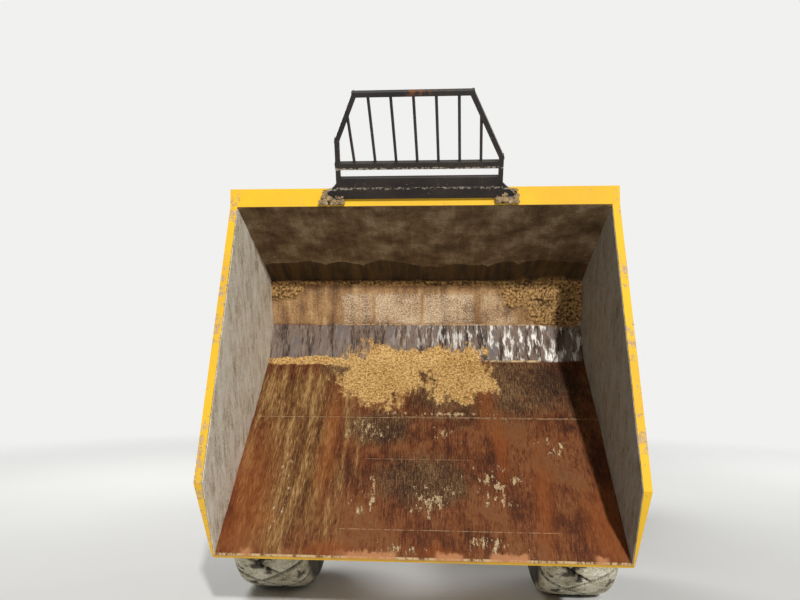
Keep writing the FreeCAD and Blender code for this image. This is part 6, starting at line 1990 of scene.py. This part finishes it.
@dataclass(frozen=True)
class BodyFittings:
    """Bonnet, engine bay, tanks, steps and mudguards: grilles, latches, straps, caps and treads."""

    half: float = 0.560
    axle_y: float = 1.6519
    guard_top: float = 1.265
    bonnet_back: float = 2.2779
    bonnet_base: float = 1.200
    bonnet_top: float = 1.710
    louvres: int = 6
    louvre_pitch: float = 0.046
    wire: float = 0.0014
    wire_pitch: float = 0.015
    wire_in: float = 0.009
    grip_y: float = 1.452
    tank: tuple[Point, Point] = ((0.430, 0.5319, 0.560), (1.040, 1.0019, 0.830))
    tank_corner: float = 0.045
    neck: Point = (0.930, 0.6119, 0.858)
    gauge: tuple[float, float] = (-1.046, 0.560)
    step: tuple[Point, Point] = ((0.870, 0.6019, 0.412), (1.036, 0.9419, 0.445))
    guard_line: tuple[tuple[float, float], ...] = (
        (1.0169, 0.900), (1.0919, 1.140), (1.2319, 1.265), (2.0719, 1.265), (2.2119, 1.160), (2.2919, 1.010)
    )

    def fit(self, kit: Kit) -> None:
        """All of them."""
        self.bonnet(kit)
        self.tanks(kit)
        self.steps(kit)
        self.mudguards(kit)
        for sign in (1, -1):
            seats = [(sign * self.half, 1.47 + 0.155 * k, z) for k in range(6) for z in (0.925, 1.165)]
            kit.bolts("rear_chassis", seats, X_UNIT * sign, 0.016)

    def bonnet(self, kit: Kit) -> None:
        """Wire mesh, corner fillers, hoods over the louvres, latches, a handle and the lid's bolts."""
        self.wires(kit)
        self.corners(kit)
        self.hoods(kit)
        self.latches(kit)
        grip = [(-0.11, 1.705), (-0.11, 1.742), (-0.10, 1.752), (0.10, 1.752), (0.11, 1.742), (0.11, 1.705)]
        black = kit.on("bonnet", Kind.BLACK)
        black.tube([(x, self.grip_y, z) for x, z in grip], 0.009, 12)
        for x in (-0.11, 0.11):
            seat = (x, self.grip_y, self.bonnet_top)
            black.turned([(-0.001, 0.020), (0.005, 0.020), (0.007, 0.014)], seat, Z_UNIT, 20)
        kit.bolts("bonnet", [(x, 2.10, self.bonnet_top) for x in (-0.3, -0.1, 0.1, 0.3)], Z_UNIT, 0.014)

    def wires(self, kit: Kit) -> None:
        """Wire mesh behind the grilles, at the back and on both sides."""
        mesh = kit.on("bonnet", Kind.BLACK)
        low, high = self.bonnet_base + 0.075, self.bonnet_base + 0.365
        rises = [low + self.wire_pitch * k for k in range(20)]
        back = self.bonnet_back - self.wire_in
        for k in range(53):
            x = -0.39 + self.wire_pitch * k
            mesh.rod((x, back, low), (x, back, high), self.wire, 5)
        for z in rises:
            mesh.rod((-0.40, back - 0.002, z), (0.40, back - 0.002, z), self.wire, 5)
        for sign in (1, -1):
            side = sign * (self.half - self.wire_in)
            for k in range(25):
                y = 1.650 + 0.0155 * k
                mesh.rod((side, y, low), (side, y, high), self.wire, 5)
            for z in rises:
                mesh.rod((side, 1.645, z), (side, 2.030, z), self.wire, 5)

    def corners(self, kit: Kit) -> None:
        """Sloping fillers between the lid's chamfer and its square back corners."""
        y, top = self.bonnet_back, self.bonnet_top
        lower = [(0.558, top - 0.100), (0.470, top - 0.100)]
        rings = (
            (y - 0.25, [(0.470, top), (0.507, top - 0.0365), (0.560, top - 0.0895), *lower]),
            (y - 0.158, [(0.470, top), (0.507, top), (0.560, top - 0.0895), *lower]),
            (y - 0.0005, [(0.470, top - 0.119), (0.507, top - 0.119), (0.560, top - 0.119),
                          (0.558, top - 0.124), (0.470, top - 0.124)]),
        )
        for sign in (1, -1):
            kit.on("bonnet", Kind.BODY).skin([[Vector((sign * x, along, z)) for x, z in ring]
                                              for along, ring in rings])

    def hoods(self, kit: Kit) -> None:
        """A pressed hood over each louvre, at the back and on both sides."""
        hoods = kit.on("bonnet", Kind.PLATE)
        section = [(0.0, 0.006), (0.013, -0.006), (0.0145, -0.0045), (0.0, 0.009)]
        back, side = self.bonnet_back - 0.001, self.half - 0.001
        for k in range(self.louvres):
            z = self.bonnet_base + 0.108 + self.louvre_pitch * k
            ends = ((-0.395, 0.0), (-0.39, 1.0), (0.39, 1.0), (0.395, 0.0))
            hoods.skin([[Vector((x, back + out * grow, z + up * grow)) for out, up in section]
                        for x, grow in ends])
            ends = ((1.652, 0.0), (1.657, 1.0), (2.019, 1.0), (2.024, 0.0))
            for sign in (1, -1):
                hoods.skin([[Vector((sign * (side + out * grow), y, z + up * grow)) for out, up in section]
                            for y, grow in ends])

    def latches(self, kit: Kit) -> None:
        """Four rubber latches, each with a plate on the lid and one on the side below it."""
        steel, rubber = kit.on("bonnet", Kind.STEEL), kit.on("bonnet", Kind.RUBBER)
        for sign in (1, -1):
            x = sign * self.half
            for y in (1.455, 2.130):
                a, b = sorted((x - sign * 0.001, x + sign * 0.007))
                steel.block((a, y - 0.020, 1.215), (b, y + 0.020, 1.268))
                seats = [(x + sign * 0.006, y + along, 1.256) for along in (-0.011, 0.011)]
                kit.bolts("bonnet", seats, X_UNIT * sign, 0.009)
                strap = ((0.010, 1.245), (0.014, 1.225), (0.014, 1.208))
                rubber.tube([(x + sign * out, y, z) for out, z in strap], 0.007, 10)
                a, b = sorted((x - sign * 0.001, x + sign * 0.006))
                kit.on("rear_chassis", Kind.STEEL).block((a, y - 0.017, 1.135), (b, y + 0.017, 1.182))

    def tanks(self, kit: Kit) -> None:
        """Strap bands, knurled caps and grip strips on both tanks, and the level gauge."""
        body = "rear_chassis"
        (_, _, z0), (x1, _, z1) = self.tank
        black, strip = kit.on(body, Kind.BLACK), kit.on(body, Kind.RUBBER)
        for sign in (1, -1):
            for y in (0.690, 0.865):
                kit.on(body, Kind.PLATE).skin(self.band(sign, y), caps=False)
                kit.bolts(body, [(sign * (x1 + 0.003), y, z) for z in (0.66, 0.73)], X_UNIT * sign, 0.016)
            seat = Vector((self.neck[0] * sign, self.neck[1], self.neck[2] - 0.016))
            cap = [(0.0, 0.044), (0.004, 0.047), (0.026, 0.047), (0.031, 0.042), (0.032, 0.020)]
            black.turned(cap, seat, Z_UNIT, 40)
            for place in around(seat + Z_UNIT * 0.004, Z_UNIT, 0.047, 20):
                black.rod(place, place + Z_UNIT * 0.021, 0.0024, 6, 0.001)
            for k in range(8):
                x = sign * (0.640 + 0.022 * k)
                line = ((0.550, 0.0), (0.560, 0.002), (0.975, 0.002), (0.985, 0.0))
                strip.tube([(x, y, z1 + up) for y, up in line], 0.004, 8)
        kit.on(body, Kind.STEEL).block((-1.046, 0.545, 0.615), (-1.039, 0.575, 0.775))
        x, y = self.gauge
        kit.on(body, Kind.AMBER).rod((x, y, 0.630), (x, y, 0.760), 0.006, 12, 0.002)
        kit.bolts(body, [(x + 0.001, y, z) for z in (0.622, 0.768)], -X_UNIT, 0.010)
        for sign in (1, -1):
            kit.bolts(body, [(sign * 0.60, 0.767, z0)], -Z_UNIT, 0.028)

    def band(self, sign: int, y: float) -> list[list[Vector]]:
        """A strap's rings around a tank, rounded at the tank's corners.

        Args:
            sign: 1 for the machine's left, -1 for its right.
            y: The strap's place along the machine.

        Returns:
            The rings, the last of which meets the first.
        """
        (x0, _, z0), (x1, _, z1) = self.tank
        c = self.tank_corner
        section = ((c - 0.001, -0.018), (c + 0.003, -0.018), (c + 0.003, 0.018), (c - 0.001, 0.018))
        rings = []
        right, left, top, base = x1 - c, x0 + c, z1 - c, z0 + c
        for x, z, start in ((right, top, 0), (left, top, 90), (left, base, 180), (right, base, 270)):
            for k in range(7):
                turn = math.radians(start + 15 * k)
                rings.append([Vector((sign * (x + math.cos(turn) * r), y + w, z + math.sin(turn) * r))
                              for r, w in section])
        return rings

    def steps(self, kit: Kit) -> None:
        """Punched grip rings on the treads and bolts in their straps."""
        (x0, y0, z0), (x1, y1, _) = self.step
        ring = [(-0.001, 0.011), (0.004, 0.0085), (0.004, 0.0055), (0.0012, 0.0045)]
        for sign in (1, -1):
            for row in range(5):
                for k in range(10):
                    place = (sign * (x0 + 0.018 + 0.032 * row), y0 + 0.024 + 0.0325 * k, z0)
                    kit.on("rear_chassis", Kind.PLATE).turned(ring, place, Z_UNIT, 14)
            for y, way in ((y0, -Y_UNIT), (y1, Y_UNIT)):
                kit.bolts("rear_chassis", [(sign * x, y, 0.535) for x in (0.910, 0.960)], way, 0.018)
            a, b = sorted((sign * x0, sign * x1))
            kit.crumbs("rear_chassis", (a, y0 + 0.01, z0), (b, y1 - 0.01, z0 + 0.004), 20, 0.014)

    def mudguards(self, kit: Kit) -> None:
        """A rubber edge along each mudguard, bolts through its inner wall and mud on its shoulders."""
        for sign in (1, -1):
            edge = [(sign * 1.2235, y, z - 0.002) for y, z in self.guard_line]
            kit.on("rear_chassis", Kind.RUBBER).tube(edge, 0.007, 10)
            seats = [(sign * 0.601, self.axle_y + y, z)
                     for y in (-0.225, -0.195, 0.415, 0.445) for z in (0.990, 1.020)]
            kit.bolts("rear_chassis", seats, X_UNIT * sign, 0.014)
            seats = [(sign * x, y, self.guard_top) for x in (0.62, 1.16) for y in (1.30, 1.65, 2.00)]
            kit.bolts("rear_chassis", seats, Z_UNIT, 0.018)
            a, b = sorted((sign * 0.60, sign * 1.21))
            kit.crumbs("rear_chassis", (a, 1.26, 1.266), (b, 2.05, 1.270), 12, 0.015)


@dataclass(frozen=True)
class CabFittings:
    """The driver's place: floor pattern, dials, switches, pedals, wheel knob, roll bar and lamps."""

    deck: float = 1.190
    deck_front: float = 0.500
    deck_back: float = 1.372
    deck_half: float = 0.545
    keep_clear: tuple[tuple[float, float, float], ...] = ((0.235, 0.49, 0.63), (0.235, 0.80, 1.20))
    dash: Point = (0.0, 0.6089, 1.815)
    dash_up: Point = (0.0, 0.486, 0.874)
    column_top: Point = (0.0, 0.7077, 2.0075)
    column_way: Point = (0.0, 0.4067, 0.9135)
    wheel_radius: float = 0.190
    post_x: float = 0.480
    post_y: float = 1.2019
    pipe: Point = (-0.380, 1.3199, 0.0)
    shield_radius: float = 0.062
    lamp_face: Point = (0.500, 0.4889, 1.450)
    lamp_glass: float = 0.066
    tail_x: tuple[float, float, float] = (0.325, 0.420, 0.475)
    tail_z: tuple[float, float] = (0.995, 1.095)
    mirror: Point = (0.785, 1.148, 2.445)
    tow: Point = (0.0, 2.5119, 0.0)
    body: str = "rear_chassis"

    def fit(self, kit: Kit) -> None:
        """All of them."""
        self.floor(kit)
        self.dials(kit)
        self.controls(kit)
        self.roll_bar(kit)
        self.exhaust(kit)
        self.lamps(kit)
        self.rear(kit)

    def floor(self, kit: Kit) -> None:
        """Raised lozenges on the deck, turned by turns, and crumbs of mud."""
        plate = kit.on(self.body, Kind.PLATE)
        pitch = 0.036
        for row in range(int((self.deck_back - self.deck_front) / pitch)):
            for k in range(int(2 * self.deck_half / pitch)):
                x, y = -self.deck_half + pitch * (k + 0.75), self.deck_front + pitch * (row + 0.5)
                if any(abs(x) < half and y0 < y < y1 for half, y0, y1 in self.keep_clear):
                    continue
                way = level_way(45 if (row + k) % 2 else -45)
                side = Z_UNIT.cross(way)
                rings = []
                for z, grow in ((-0.0005, 1.0), (0.0012, 0.85), (0.002, 0.45)):
                    middle = Vector((x, y, self.deck + z))
                    rings.append([middle + way * (a * 0.015 * grow) + side * (b * 0.0045 * grow)
                                  for a, b in ((-1, 0), (-0.4, -1), (0.4, -1), (1, 0), (0.4, 1), (-0.4, 1))])
                plate.skin(rings)
        low, high = self.deck + 0.002, self.deck + 0.006
        kit.crumbs(self.body, (-0.5, 0.66, low), (0.5, 0.80, high), 24, 0.014)
        kit.crumbs(self.body, (0.30, 0.80, low), (0.52, 1.09, high), 10, 0.014, True)

    def dials(self, kit: Kit) -> None:
        """Gauges, rocker switches, lamps and the key on the dashboard's slope."""
        up = Vector(self.dash_up)
        down = Vector((0, up.z, -up.y))
        middle = Vector(self.dash)
        black, clear = kit.on(self.body, Kind.BLACK), kit.on(self.body, Kind.CLEAR)
        for x, radius in ((-0.165, 0.034), (-0.090, 0.034), (0.085, 0.026)):
            seat = middle + X_UNIT * x
            bezel = [(-0.002, radius), (0.006, radius), (0.008, radius - 0.003), (0.008, radius - 0.006),
                     (0.003, radius - 0.007)]
            black.turned(bezel, seat, up, 32)
            clear.turned([(0.002, radius - 0.0065), (0.0045, radius - 0.0068)], seat, up, 32)
            for tick in around(seat + up * 0.0046, up, radius - 0.011, 12, X_UNIT)[:9]:
                way = (seat + up * 0.0046 - tick).normalized()
                kit.on(self.body, Kind.RED).rod(tick, tick + way * 0.004, 0.0006, 5)
            black.rod(seat + up * 0.005, seat + up * 0.005 + X_UNIT * (radius - 0.013), 0.0009, 6)
        for k in range(4):
            seat = middle + X_UNIT * (0.125 + 0.022 * k)
            black.turned([(-0.001, 0.013), (0.007, 0.012), (0.009, 0.009)], seat, up, 4, math.pi / 4)
        for k in range(6):
            seat = middle + X_UNIT * (-0.19 + 0.018 * k) + down * 0.042
            kind = (Kind.RED, Kind.AMBER, Kind.CLEAR)[k % 3]
            kit.on(self.body, kind).turned([(-0.001, 0.0055), (0.002, 0.0055), (0.0035, 0.003)], seat, up, 14)
        key = middle + X_UNIT * 0.165 + down * 0.036
        kit.on(self.body, Kind.STEEL).turned([(-0.001, 0.012), (0.004, 0.012), (0.006, 0.009)], key, up, 24)
        black.rod(key, key + up * 0.030, 0.005, 10, 0.001)
        seats = [(x, 0.5039, z) for x in (-0.20, 0.20) for z in (1.23, 1.45, 1.72)]
        kit.bolts(self.body, seats, -Y_UNIT, 0.012)

    def controls(self, kit: Kit) -> None:
        """Pedal treads, the lever's gaiter, and what the steering wheel and the seat carry."""
        rubber = kit.on(self.body, Kind.RUBBER)
        start, end = Vector((0, 0.6230, 1.2640)), Vector((0, 0.7040, 1.2095))
        for x in (-0.09, 0.09):
            for k in range(8):
                place = start.lerp(end, k / 7) + X_UNIT * x
                rubber.rod(place - X_UNIT * 0.034, place + X_UNIT * 0.034, 0.0042, 8, 0.001)
        lever, way = Vector((0.1712, 0.6345, 1.724)), Vector((0.020, 0.090, 0.200)).normalized()
        bellows = [(0.0, 0.034)]
        for k in range(6):
            bellows += [(0.006 + 0.012 * k, 0.032 - 0.0032 * k), (0.012 + 0.012 * k, 0.022 - 0.0022 * k)]
        rubber.turned(bellows, lever, way, 24)
        self.steering(kit)
        self.seat(kit)

    def steering(self, kit: Kit) -> None:
        """The wheel's cap, its spinner knob and the grip ribs inside its rim."""
        black, rubber = kit.on(self.body, Kind.BLACK), kit.on(self.body, Kind.RUBBER)
        top, lean = Vector(self.column_top), Vector(self.column_way)
        cap = [(0.030, 0.040), (0.036, 0.040), (0.043, 0.034), (0.045, 0.012), (0.045, 0.006)]
        black.turned(cap, top, lean, 32)
        seat = around(top + lean * 0.038, lean, self.wheel_radius, 8, X_UNIT)[3]
        knob = [(-0.004, 0.010), (0.020, 0.008), (0.026, 0.019), (0.046, 0.023), (0.056, 0.015)]
        black.turned(knob, seat, lean, 24)
        hub = top + lean * 0.030
        for place in around(hub, lean, self.wheel_radius, 36):
            inward = (hub - place).normalized()
            rubber.turned([(-0.004, 0.011), (0.0, 0.006)], place + inward * 0.0135 - lean * 0.004, inward, 8)

    def seat(self, kit: Kit) -> None:
        """The seat's adjuster bar, runners, buckles and hinge bolts."""
        steel, black = kit.on(self.body, Kind.STEEL), kit.on(self.body, Kind.BLACK)
        bar = [(-0.16, 0.812, 1.538), (-0.16, 0.775, 1.536), (-0.15, 0.768, 1.536), (0.15, 0.768, 1.536),
               (0.16, 0.775, 1.536), (0.16, 0.812, 1.538)]
        steel.tube(bar, 0.006, 10)
        for sign in (1, -1):
            x = sign * 0.205
            steel.block((x - 0.016, 0.815, 1.528), (x + 0.016, 1.215, 1.5465))
            buckle = Vector((sign * 0.262, 1.190, 1.590))
            foot = buckle - Z_UNIT * 0.06 - X_UNIT * sign * 0.024
            steel.rod(foot, buckle + Z_UNIT * 0.01, 0.005)
            black.block(buckle - Vector((0.010, 0.020, 0.0)), buckle + Vector((0.010, 0.020, 0.055)), 0.004)
        kit.bolts(self.body, [(x, y, 1.546) for x in (-0.2, 0.2) for y in (1.198, 1.218)], Z_UNIT, 0.014)

    def roll_bar(self, kit: Kit) -> None:
        """Bolted feet, welds, the tubes' clamps and the handrails' flanges."""
        for sign in (1, -1):
            x = sign * self.post_x
            seats = [(x + a, self.post_y + b, 1.208) for a in (-0.052, 0.052) for b in (-0.072, 0.072)]
            kit.bolts(self.body, seats, Z_UNIT, 0.024)
            seam = kit.on(self.body, Kind.SEAM)
            for a in (-0.045, 0.045):
                seam.bead((x + a, self.post_y - 0.044, 1.209), (x + a, self.post_y + 0.044, 1.209), 0.004, a)
                seam.bead((x - 0.044, self.post_y + a, 1.209), (x + 0.044, self.post_y + a, 1.209), 0.004, a)
            inner = sign * (self.post_x - 0.045)
            for z in (2.350, 2.410):
                seam.bead((inner, self.post_y - 0.029, z), (inner, self.post_y + 0.029, z), 0.004, z)
            flange = [(0, 0.023), (0.006, 0.023), (0.007, 0.0165)]
            for y in (0.6519, 0.8919):
                kit.on(self.body, Kind.PLATE).turned(flange, (sign * 0.536, y, self.deck), Z_UNIT, 28)
            seats = [(sign * 0.534, self.post_y + b, 2.42) for b in (-0.02, 0.02)]
            kit.bolts(self.body, seats, X_UNIT * sign, 0.012)

    def exhaust(self, kit: Kit) -> None:
        """Clamps, a slotted heat shield and the rain flap."""
        steel, plate = kit.on(self.body, Kind.STEEL), kit.on(self.body, Kind.PLATE)
        middle = Vector(self.pipe)
        for z in (1.275, 1.625):
            band = [(-0.012, 0.0475), (-0.012, 0.0505), (0.012, 0.0505), (0.012, 0.0475)]
            steel.turned(band, middle + Z_UNIT * z, Z_UNIT, 36)
            kit.bolts(self.body, [middle + Vector((0.0, -0.0505, z))], -Y_UNIT, 0.016)
        for k in range(9):
            way = level_way(200 + 17.5 * k)
            side = Z_UNIT.cross(way)
            place = middle + way * self.shield_radius
            rings = [[place + side * a * 0.0075 * grow + way * b * 0.001 + Z_UNIT * z
                      for a, b in ((-1, -1), (1, -1), (1, 1), (-1, 1))]
                     for z, grow in ((1.300, 0.5), (1.310, 1.0), (1.590, 1.0), (1.600, 0.5))]
            plate.skin(rings)
        inner = self.shield_radius - 0.0015
        for z in (1.330, 1.450, 1.570):
            level = middle + Z_UNIT * z
            plate.tube([level + level_way(turn) * inner for turn in range(196, 346, 10)], 0.0025, 6)
            for turn in (196, 340):
                plate.rod(level + level_way(turn) * 0.046, level + level_way(turn) * inner, 0.003, 6)
        tilt = Vector((0, -0.42, 0.91)).normalized()
        lid = middle + Vector((0.0, 0.008, 2.453))
        steel.turned([(0.0, 0.031), (0.003, 0.031), (0.004, 0.028)], lid, tilt, 28)
        hinge = middle + Vector((0.0, 0.028, 2.438))
        steel.rod(hinge - X_UNIT * 0.022, hinge + X_UNIT * 0.022, 0.005, 10, 0.001)
        collar = [(-0.014, 0.0275), (-0.014, 0.029), (0.0, 0.029), (0.0, 0.0275)]
        steel.turned(collar, middle + Z_UNIT * 2.432, Z_UNIT, 28)

    def lamps(self, kit: Kit) -> None:
        """Headlamps, tail lamps and mirrors on both sides, and the beacon."""
        for sign in (1, -1):
            self.headlamp(kit, sign)
            self.tail_lamp(kit, sign)
            self.mirror_glass(kit, sign)
        black = kit.on(self.body, Kind.BLACK)
        y = self.post_y
        black.block((0.5252, y - 0.0312, 2.8792), (0.6362, y + 0.0312, 2.8932))
        dome = Vector((0.595, y, 2.892))
        black.turned([(0, 0.054), (0.010, 0.054), (0.014, 0.050)], dome, Z_UNIT, 36)
        for place in around(dome + Z_UNIT * 0.014, Z_UNIT, 0.0475, 24):
            kit.on(self.body, Kind.AMBER).rod(place, place + Z_UNIT * 0.088, 0.0016, 6)
        kit.bolts(self.body, [(0.545, y + b, 2.893) for b in (-0.018, 0.018)], Z_UNIT, 0.012)

    def headlamp(self, kit: Kit, sign: int) -> None:
        """One headlamp: its rim, its domed lens, the flutes on the lens and the bolt below.

        Args:
            kit: Takes the fittings.
            sign: 1 for the machine's left, -1 for its right.
        """
        black, clear = kit.on(self.body, Kind.BLACK), kit.on(self.body, Kind.CLEAR)
        x, y, z = self.lamp_face
        face, half = Vector((sign * x, y, z)), self.lamp_glass
        black.tube(around(face - Y_UNIT * 0.002, Y_UNIT, 0.0775, 48), 0.006, 8, closed=True)
        dome = [(0, 0.074), (0.004, 0.072), (0.009, 0.055), (0.012, 0.028), (0.013, 0.006)]
        clear.turned(dome, face, -Y_UNIT, 40)
        for k in range(-4, 5):
            across = 0.0145 * k
            tall = math.sqrt(half ** 2 - across ** 2)
            flute = []
            for share in (-1, -0.6, -0.2, 0.2, 0.6, 1):
                drop = 0.0085 * (share * tall / half) ** 2 + 0.009 * (across / half) ** 2
                flute.append(face + Vector((across, drop - 0.0125, share * tall)))
            clear.tube(flute, 0.0022, 6)
        kit.bolts(self.body, [face + Vector((0.0, 0.028, -0.0775))], -Z_UNIT, 0.018)

    def tail_lamp(self, kit: Kit, sign: int) -> None:
        """One tail lamp: a red and an amber lens, ribbed, in a black frame.

        Args:
            kit: Takes the fittings.
            sign: 1 for the machine's left, -1 for its right.
        """
        inner, split, outer = (sign * x for x in self.tail_x)
        low, high = self.tail_z
        lenses = [(*sorted((inner, split)), Kind.RED), (*sorted((split, outer)), Kind.AMBER)]
        for a, b, kind in sorted(lenses, key=lambda lens: lens[0]):
            lens = kit.on(self.body, kind)
            lens.block((a + 0.004, 2.514, low + 0.010), (b - 0.002, 2.524, high - 0.010), 0.003)
            for k in range(7):
                z = low + 0.017 + 0.011 * k
                lens.rod((a + 0.007, 2.524, z), (b - 0.005, 2.524, z), 0.0022, 6)
        x0, x1 = sorted((inner, outer))
        frame_bars = (
            (x0 - 0.004, x1 + 0.004, low, low + 0.008),
            (x0 - 0.004, x1 + 0.004, high - 0.008, high),
            (x0 - 0.005, x0 + 0.002, low, high),
            (x1 - 0.002, x1 + 0.005, low, high),
        )
        for a, b, base, top in frame_bars:
            kit.on(self.body, Kind.BLACK).block((a, 2.483, base), (b, 2.519, top), 0.0015)

    def mirror_glass(self, kit: Kit, sign: int) -> None:
        """One mirror's glass and the bead around it.

        Args:
            kit: Takes the fittings.
            sign: 1 for the machine's left, -1 for its right.
        """
        x, y, z = sign * self.mirror[0], self.mirror[1], self.mirror[2]
        glass = kit.on(self.body, Kind.GLASS)
        glass.block((x - 0.069, y - 0.0025, z - 0.103), (x + 0.069, y + 0.0008, z + 0.103), 0.0015)
        bead = [(x + a * 0.071, y, z + b * 0.105) for a, b in ((-1, -1), (1, -1), (1, 1), (-1, 1))]
        kit.on(self.body, Kind.BLACK).tube(bead, 0.003, 6, closed=True)

    def rear(self, kit: Kit) -> None:
        """The tow pin with its grip and clip, and bolts that hold the counterweight."""
        steel = kit.on(self.body, Kind.STEEL)
        pin = Vector(self.tow)
        steel.rod(pin + Z_UNIT * 0.555, pin + Z_UNIT * 0.715, 0.0152, 20, 0.003)
        steel.turned([(0, 0.026), (0.008, 0.026), (0.011, 0.022)], pin + Z_UNIT * 0.692, Z_UNIT, 28)
        grip = ((0, 0.700), (0, 0.735), (0.012, 0.752), (0.055, 0.757), (0.080, 0.750))
        clip = ((-0.030, 0.566), (0.024, 0.566), (0.034, 0.572), (0.034, 0.582), (0.022, 0.586))
        for line, radius, sides in ((grip, 0.008, 12), (clip, 0.003, 8)):
            steel.tube([pin + Vector((x, 0, z)) for x, z in line], radius, sides)
        seats = [(sign * x, 2.4819, z) for sign in (1, -1) for x in (0.12, 0.27) for z in (0.74, 0.86)]
        kit.bolts(self.body, seats, Y_UNIT, 0.034)
        seams = kit.on(self.body, Kind.SEAM)
        for sign in (1, -1):
            for x in (0.420, 0.440):
                seams.bead((sign * x, 2.4825, 0.568), (sign * x, 2.4825, 0.652), 0.004, x)


@dataclass(frozen=True)
class Studio:
    """Floor, lamps, sky and the camera at the photograph's place."""

    place: Point = (0.106, -5.660, 1.489)
    yaw: float = -3.55
    pitch: float = 6.12
    roll: float = 0.41
    lens: float = 29.1
    sensor: float = 36.0
    key_way: Point = (0.25, -1.0, 0.50)
    key_distance: float = 20.0
    key_size: float = 0.6
    key_power: float = 3300.0
    fill_size: float = 5.0
    fill_power: float = 260.0
    sky: float = 0.12
    floor_half: float = 30.0

    def camera(self) -> None:
        """The camera, looking as the photograph was taken."""
        yaw, pitch, roll = (math.radians(turn) for turn in (self.yaw, self.pitch, self.roll))
        ahead = Vector((math.sin(yaw) * math.cos(pitch), math.cos(yaw) * math.cos(pitch), math.sin(pitch)))
        level = Vector((math.cos(yaw), -math.sin(yaw), 0.0))
        up = level.cross(ahead)
        right = level * math.cos(roll) + up * math.sin(roll)
        above = up * math.cos(roll) - level * math.sin(roll)
        data = bpy.data.cameras.new("camera")
        data.lens, data.sensor_width = self.lens, self.sensor
        made = bpy.data.objects.new("camera", data)
        turn = Matrix((right, above, -ahead)).transposed()
        made.matrix_world = Matrix.Translation(Vector(self.place) + ORIGIN) @ turn.to_4x4()
        bpy.context.scene.collection.objects.link(made)
        bpy.context.scene.camera = made

    @staticmethod
    def lamp(name: str, place: Sequence[float], target: Sequence[float], size: float, power: float) -> None:
        """A square area lamp that points at a target."""
        data = bpy.data.lights.new(name, "AREA")
        data.shape, data.size, data.energy = "SQUARE", size, power
        made = bpy.data.objects.new(name, data)
        made.location = place
        made.rotation_euler = (Vector(target) - Vector(place)).to_track_quat("-Z", "Y").to_euler()
        bpy.context.scene.collection.objects.link(made)

    def lights(self) -> None:
        """A key from where the sun stood, and a wide soft fill from above and behind."""
        skip, machine = Vector((0, -1.6, 1.4)), Vector((0, 0.5, 1.0))
        place = skip + Vector(self.key_way).normalized() * self.key_distance
        self.lamp("key", place, skip, self.key_size, self.key_power)
        self.lamp("fill", (-5.0, 4.0, 7.0), machine, self.fill_size, self.fill_power * 2)
        self.lamp("fill_low", (7.0, 5.0, 4.5), machine, self.fill_size, self.fill_power)

    def world(self) -> None:
        """A pale sky, white to the camera."""
        world = bpy.data.worlds.new("sky")
        bpy.context.scene.world = world
        world.use_nodes = True
        tree = world.node_tree
        tree.nodes.clear()
        path = tree.nodes.new("ShaderNodeLightPath")
        seen = path.outputs["Is Camera Ray"]
        for ray in ("Is Glossy Ray", "Is Transmission Ray"):
            either = tree.nodes.new("ShaderNodeMath")
            either.operation = "MAXIMUM"
            tree.links.new(seen, either.inputs[0])
            tree.links.new(path.outputs[ray], either.inputs[1])
            seen = either.outputs[0]
        level = tree.nodes.new("ShaderNodeMapRange")
        level.inputs[3].default_value, level.inputs[4].default_value = self.sky, BACKDROP_LEVEL
        tree.links.new(seen, level.inputs[0])
        light = tree.nodes.new("ShaderNodeBackground")
        light.inputs["Color"].default_value = (*BACKDROP, 1.0)
        tree.links.new(level.outputs[0], light.inputs["Strength"])
        out = tree.nodes.new("ShaderNodeOutputWorld")
        tree.links.new(light.outputs[0], out.inputs["Surface"])

    def floor(self) -> None:
        """A wide plain floor."""
        half = self.floor_half
        mesh = bpy.data.meshes.new("studio_floor")
        corners = [(-half, -half, 0), (half, -half, 0), (half, half, 0), (-half, half, 0)]
        mesh.from_pydata(corners, [], [(0, 1, 2, 3)])
        made = bpy.data.objects.new("studio_floor", mesh)
        bpy.context.scene.collection.objects.link(made)
        mesh.materials.append(PaleFloor().material())

    def build(self) -> None:
        """Everything around the machine."""
        self.camera()
        self.world()
        self.lights()
        self.floor()
        bpy.context.scene.view_settings.view_transform = "Standard"


def dress_nodes(frame: Mapping[str, Mapping[str, bpy.types.Object]]) -> None:
    """Gives every carried-over solid the finish of its slot."""
    for name, node in frame["nodes"].items():
        for place in node.material_slots:
            slot = place.material.name.split(".")[0]
            place.material = SLOTS[slot].material()
        LOG.info("dressed %s", name)


def build(frame: Mapping[str, Mapping[str, bpy.types.Object]]) -> None:
    """Builds the scene around the loaded frame.

    Args:
        frame: The imported mesh parts, by name, under nodes.
    """
    Studio().build()
    dress_nodes(frame)
    lines = SkipLines(Vector((0.0, -1.2531, 1.165)))
    Lining(lines).build()
    Tyres().build()
    kit = Kit()
    RamFittings("tip_ram_barrels", "tip_ram_rods", (0.150, -0.2381, 0.690), (0.150, -1.1800, 1.4098),
                (1.0, 0.0, 0.0), 0.620, 0.050, 0.025, 0.038, True).fit(kit)
    RamFittings("steer_ram_barrel", "steer_ram_rod", (0.240, 0.5619, 0.520), (0.170, -0.0681, 0.520),
                (0.0, 0.0, 1.0), 0.390, 0.032, 0.0175, 0.030, False).fit(kit)
    for fittings in (WheelFittings(), ChassisFittings(), SkipFittings(lines), BodyFittings(), CabFittings()):
        fittings.fit(kit)
    kit.build()
    cushion = Pad("cushion", "seat_cushion", 0.500, 0.450, 0.115, 0.0, (-0.05, 0.06))
    cushion.build(Vector((0, 1.0169, 1.6175)))
    backrest = Pad("backrest", "seat_back", 0.500, 0.520, 0.100, math.radians(82), (-0.12, 0.0, 0.12))
    backrest.build(Vector((0, 1.2186, 1.936)))


def main() -> None:
    """Builds the scene."""
    logging.basicConfig(level=logging.INFO, format="%(message)s")
    random.seed(7)
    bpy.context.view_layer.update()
    build(frame)


if __name__ == "__main__":
    main()
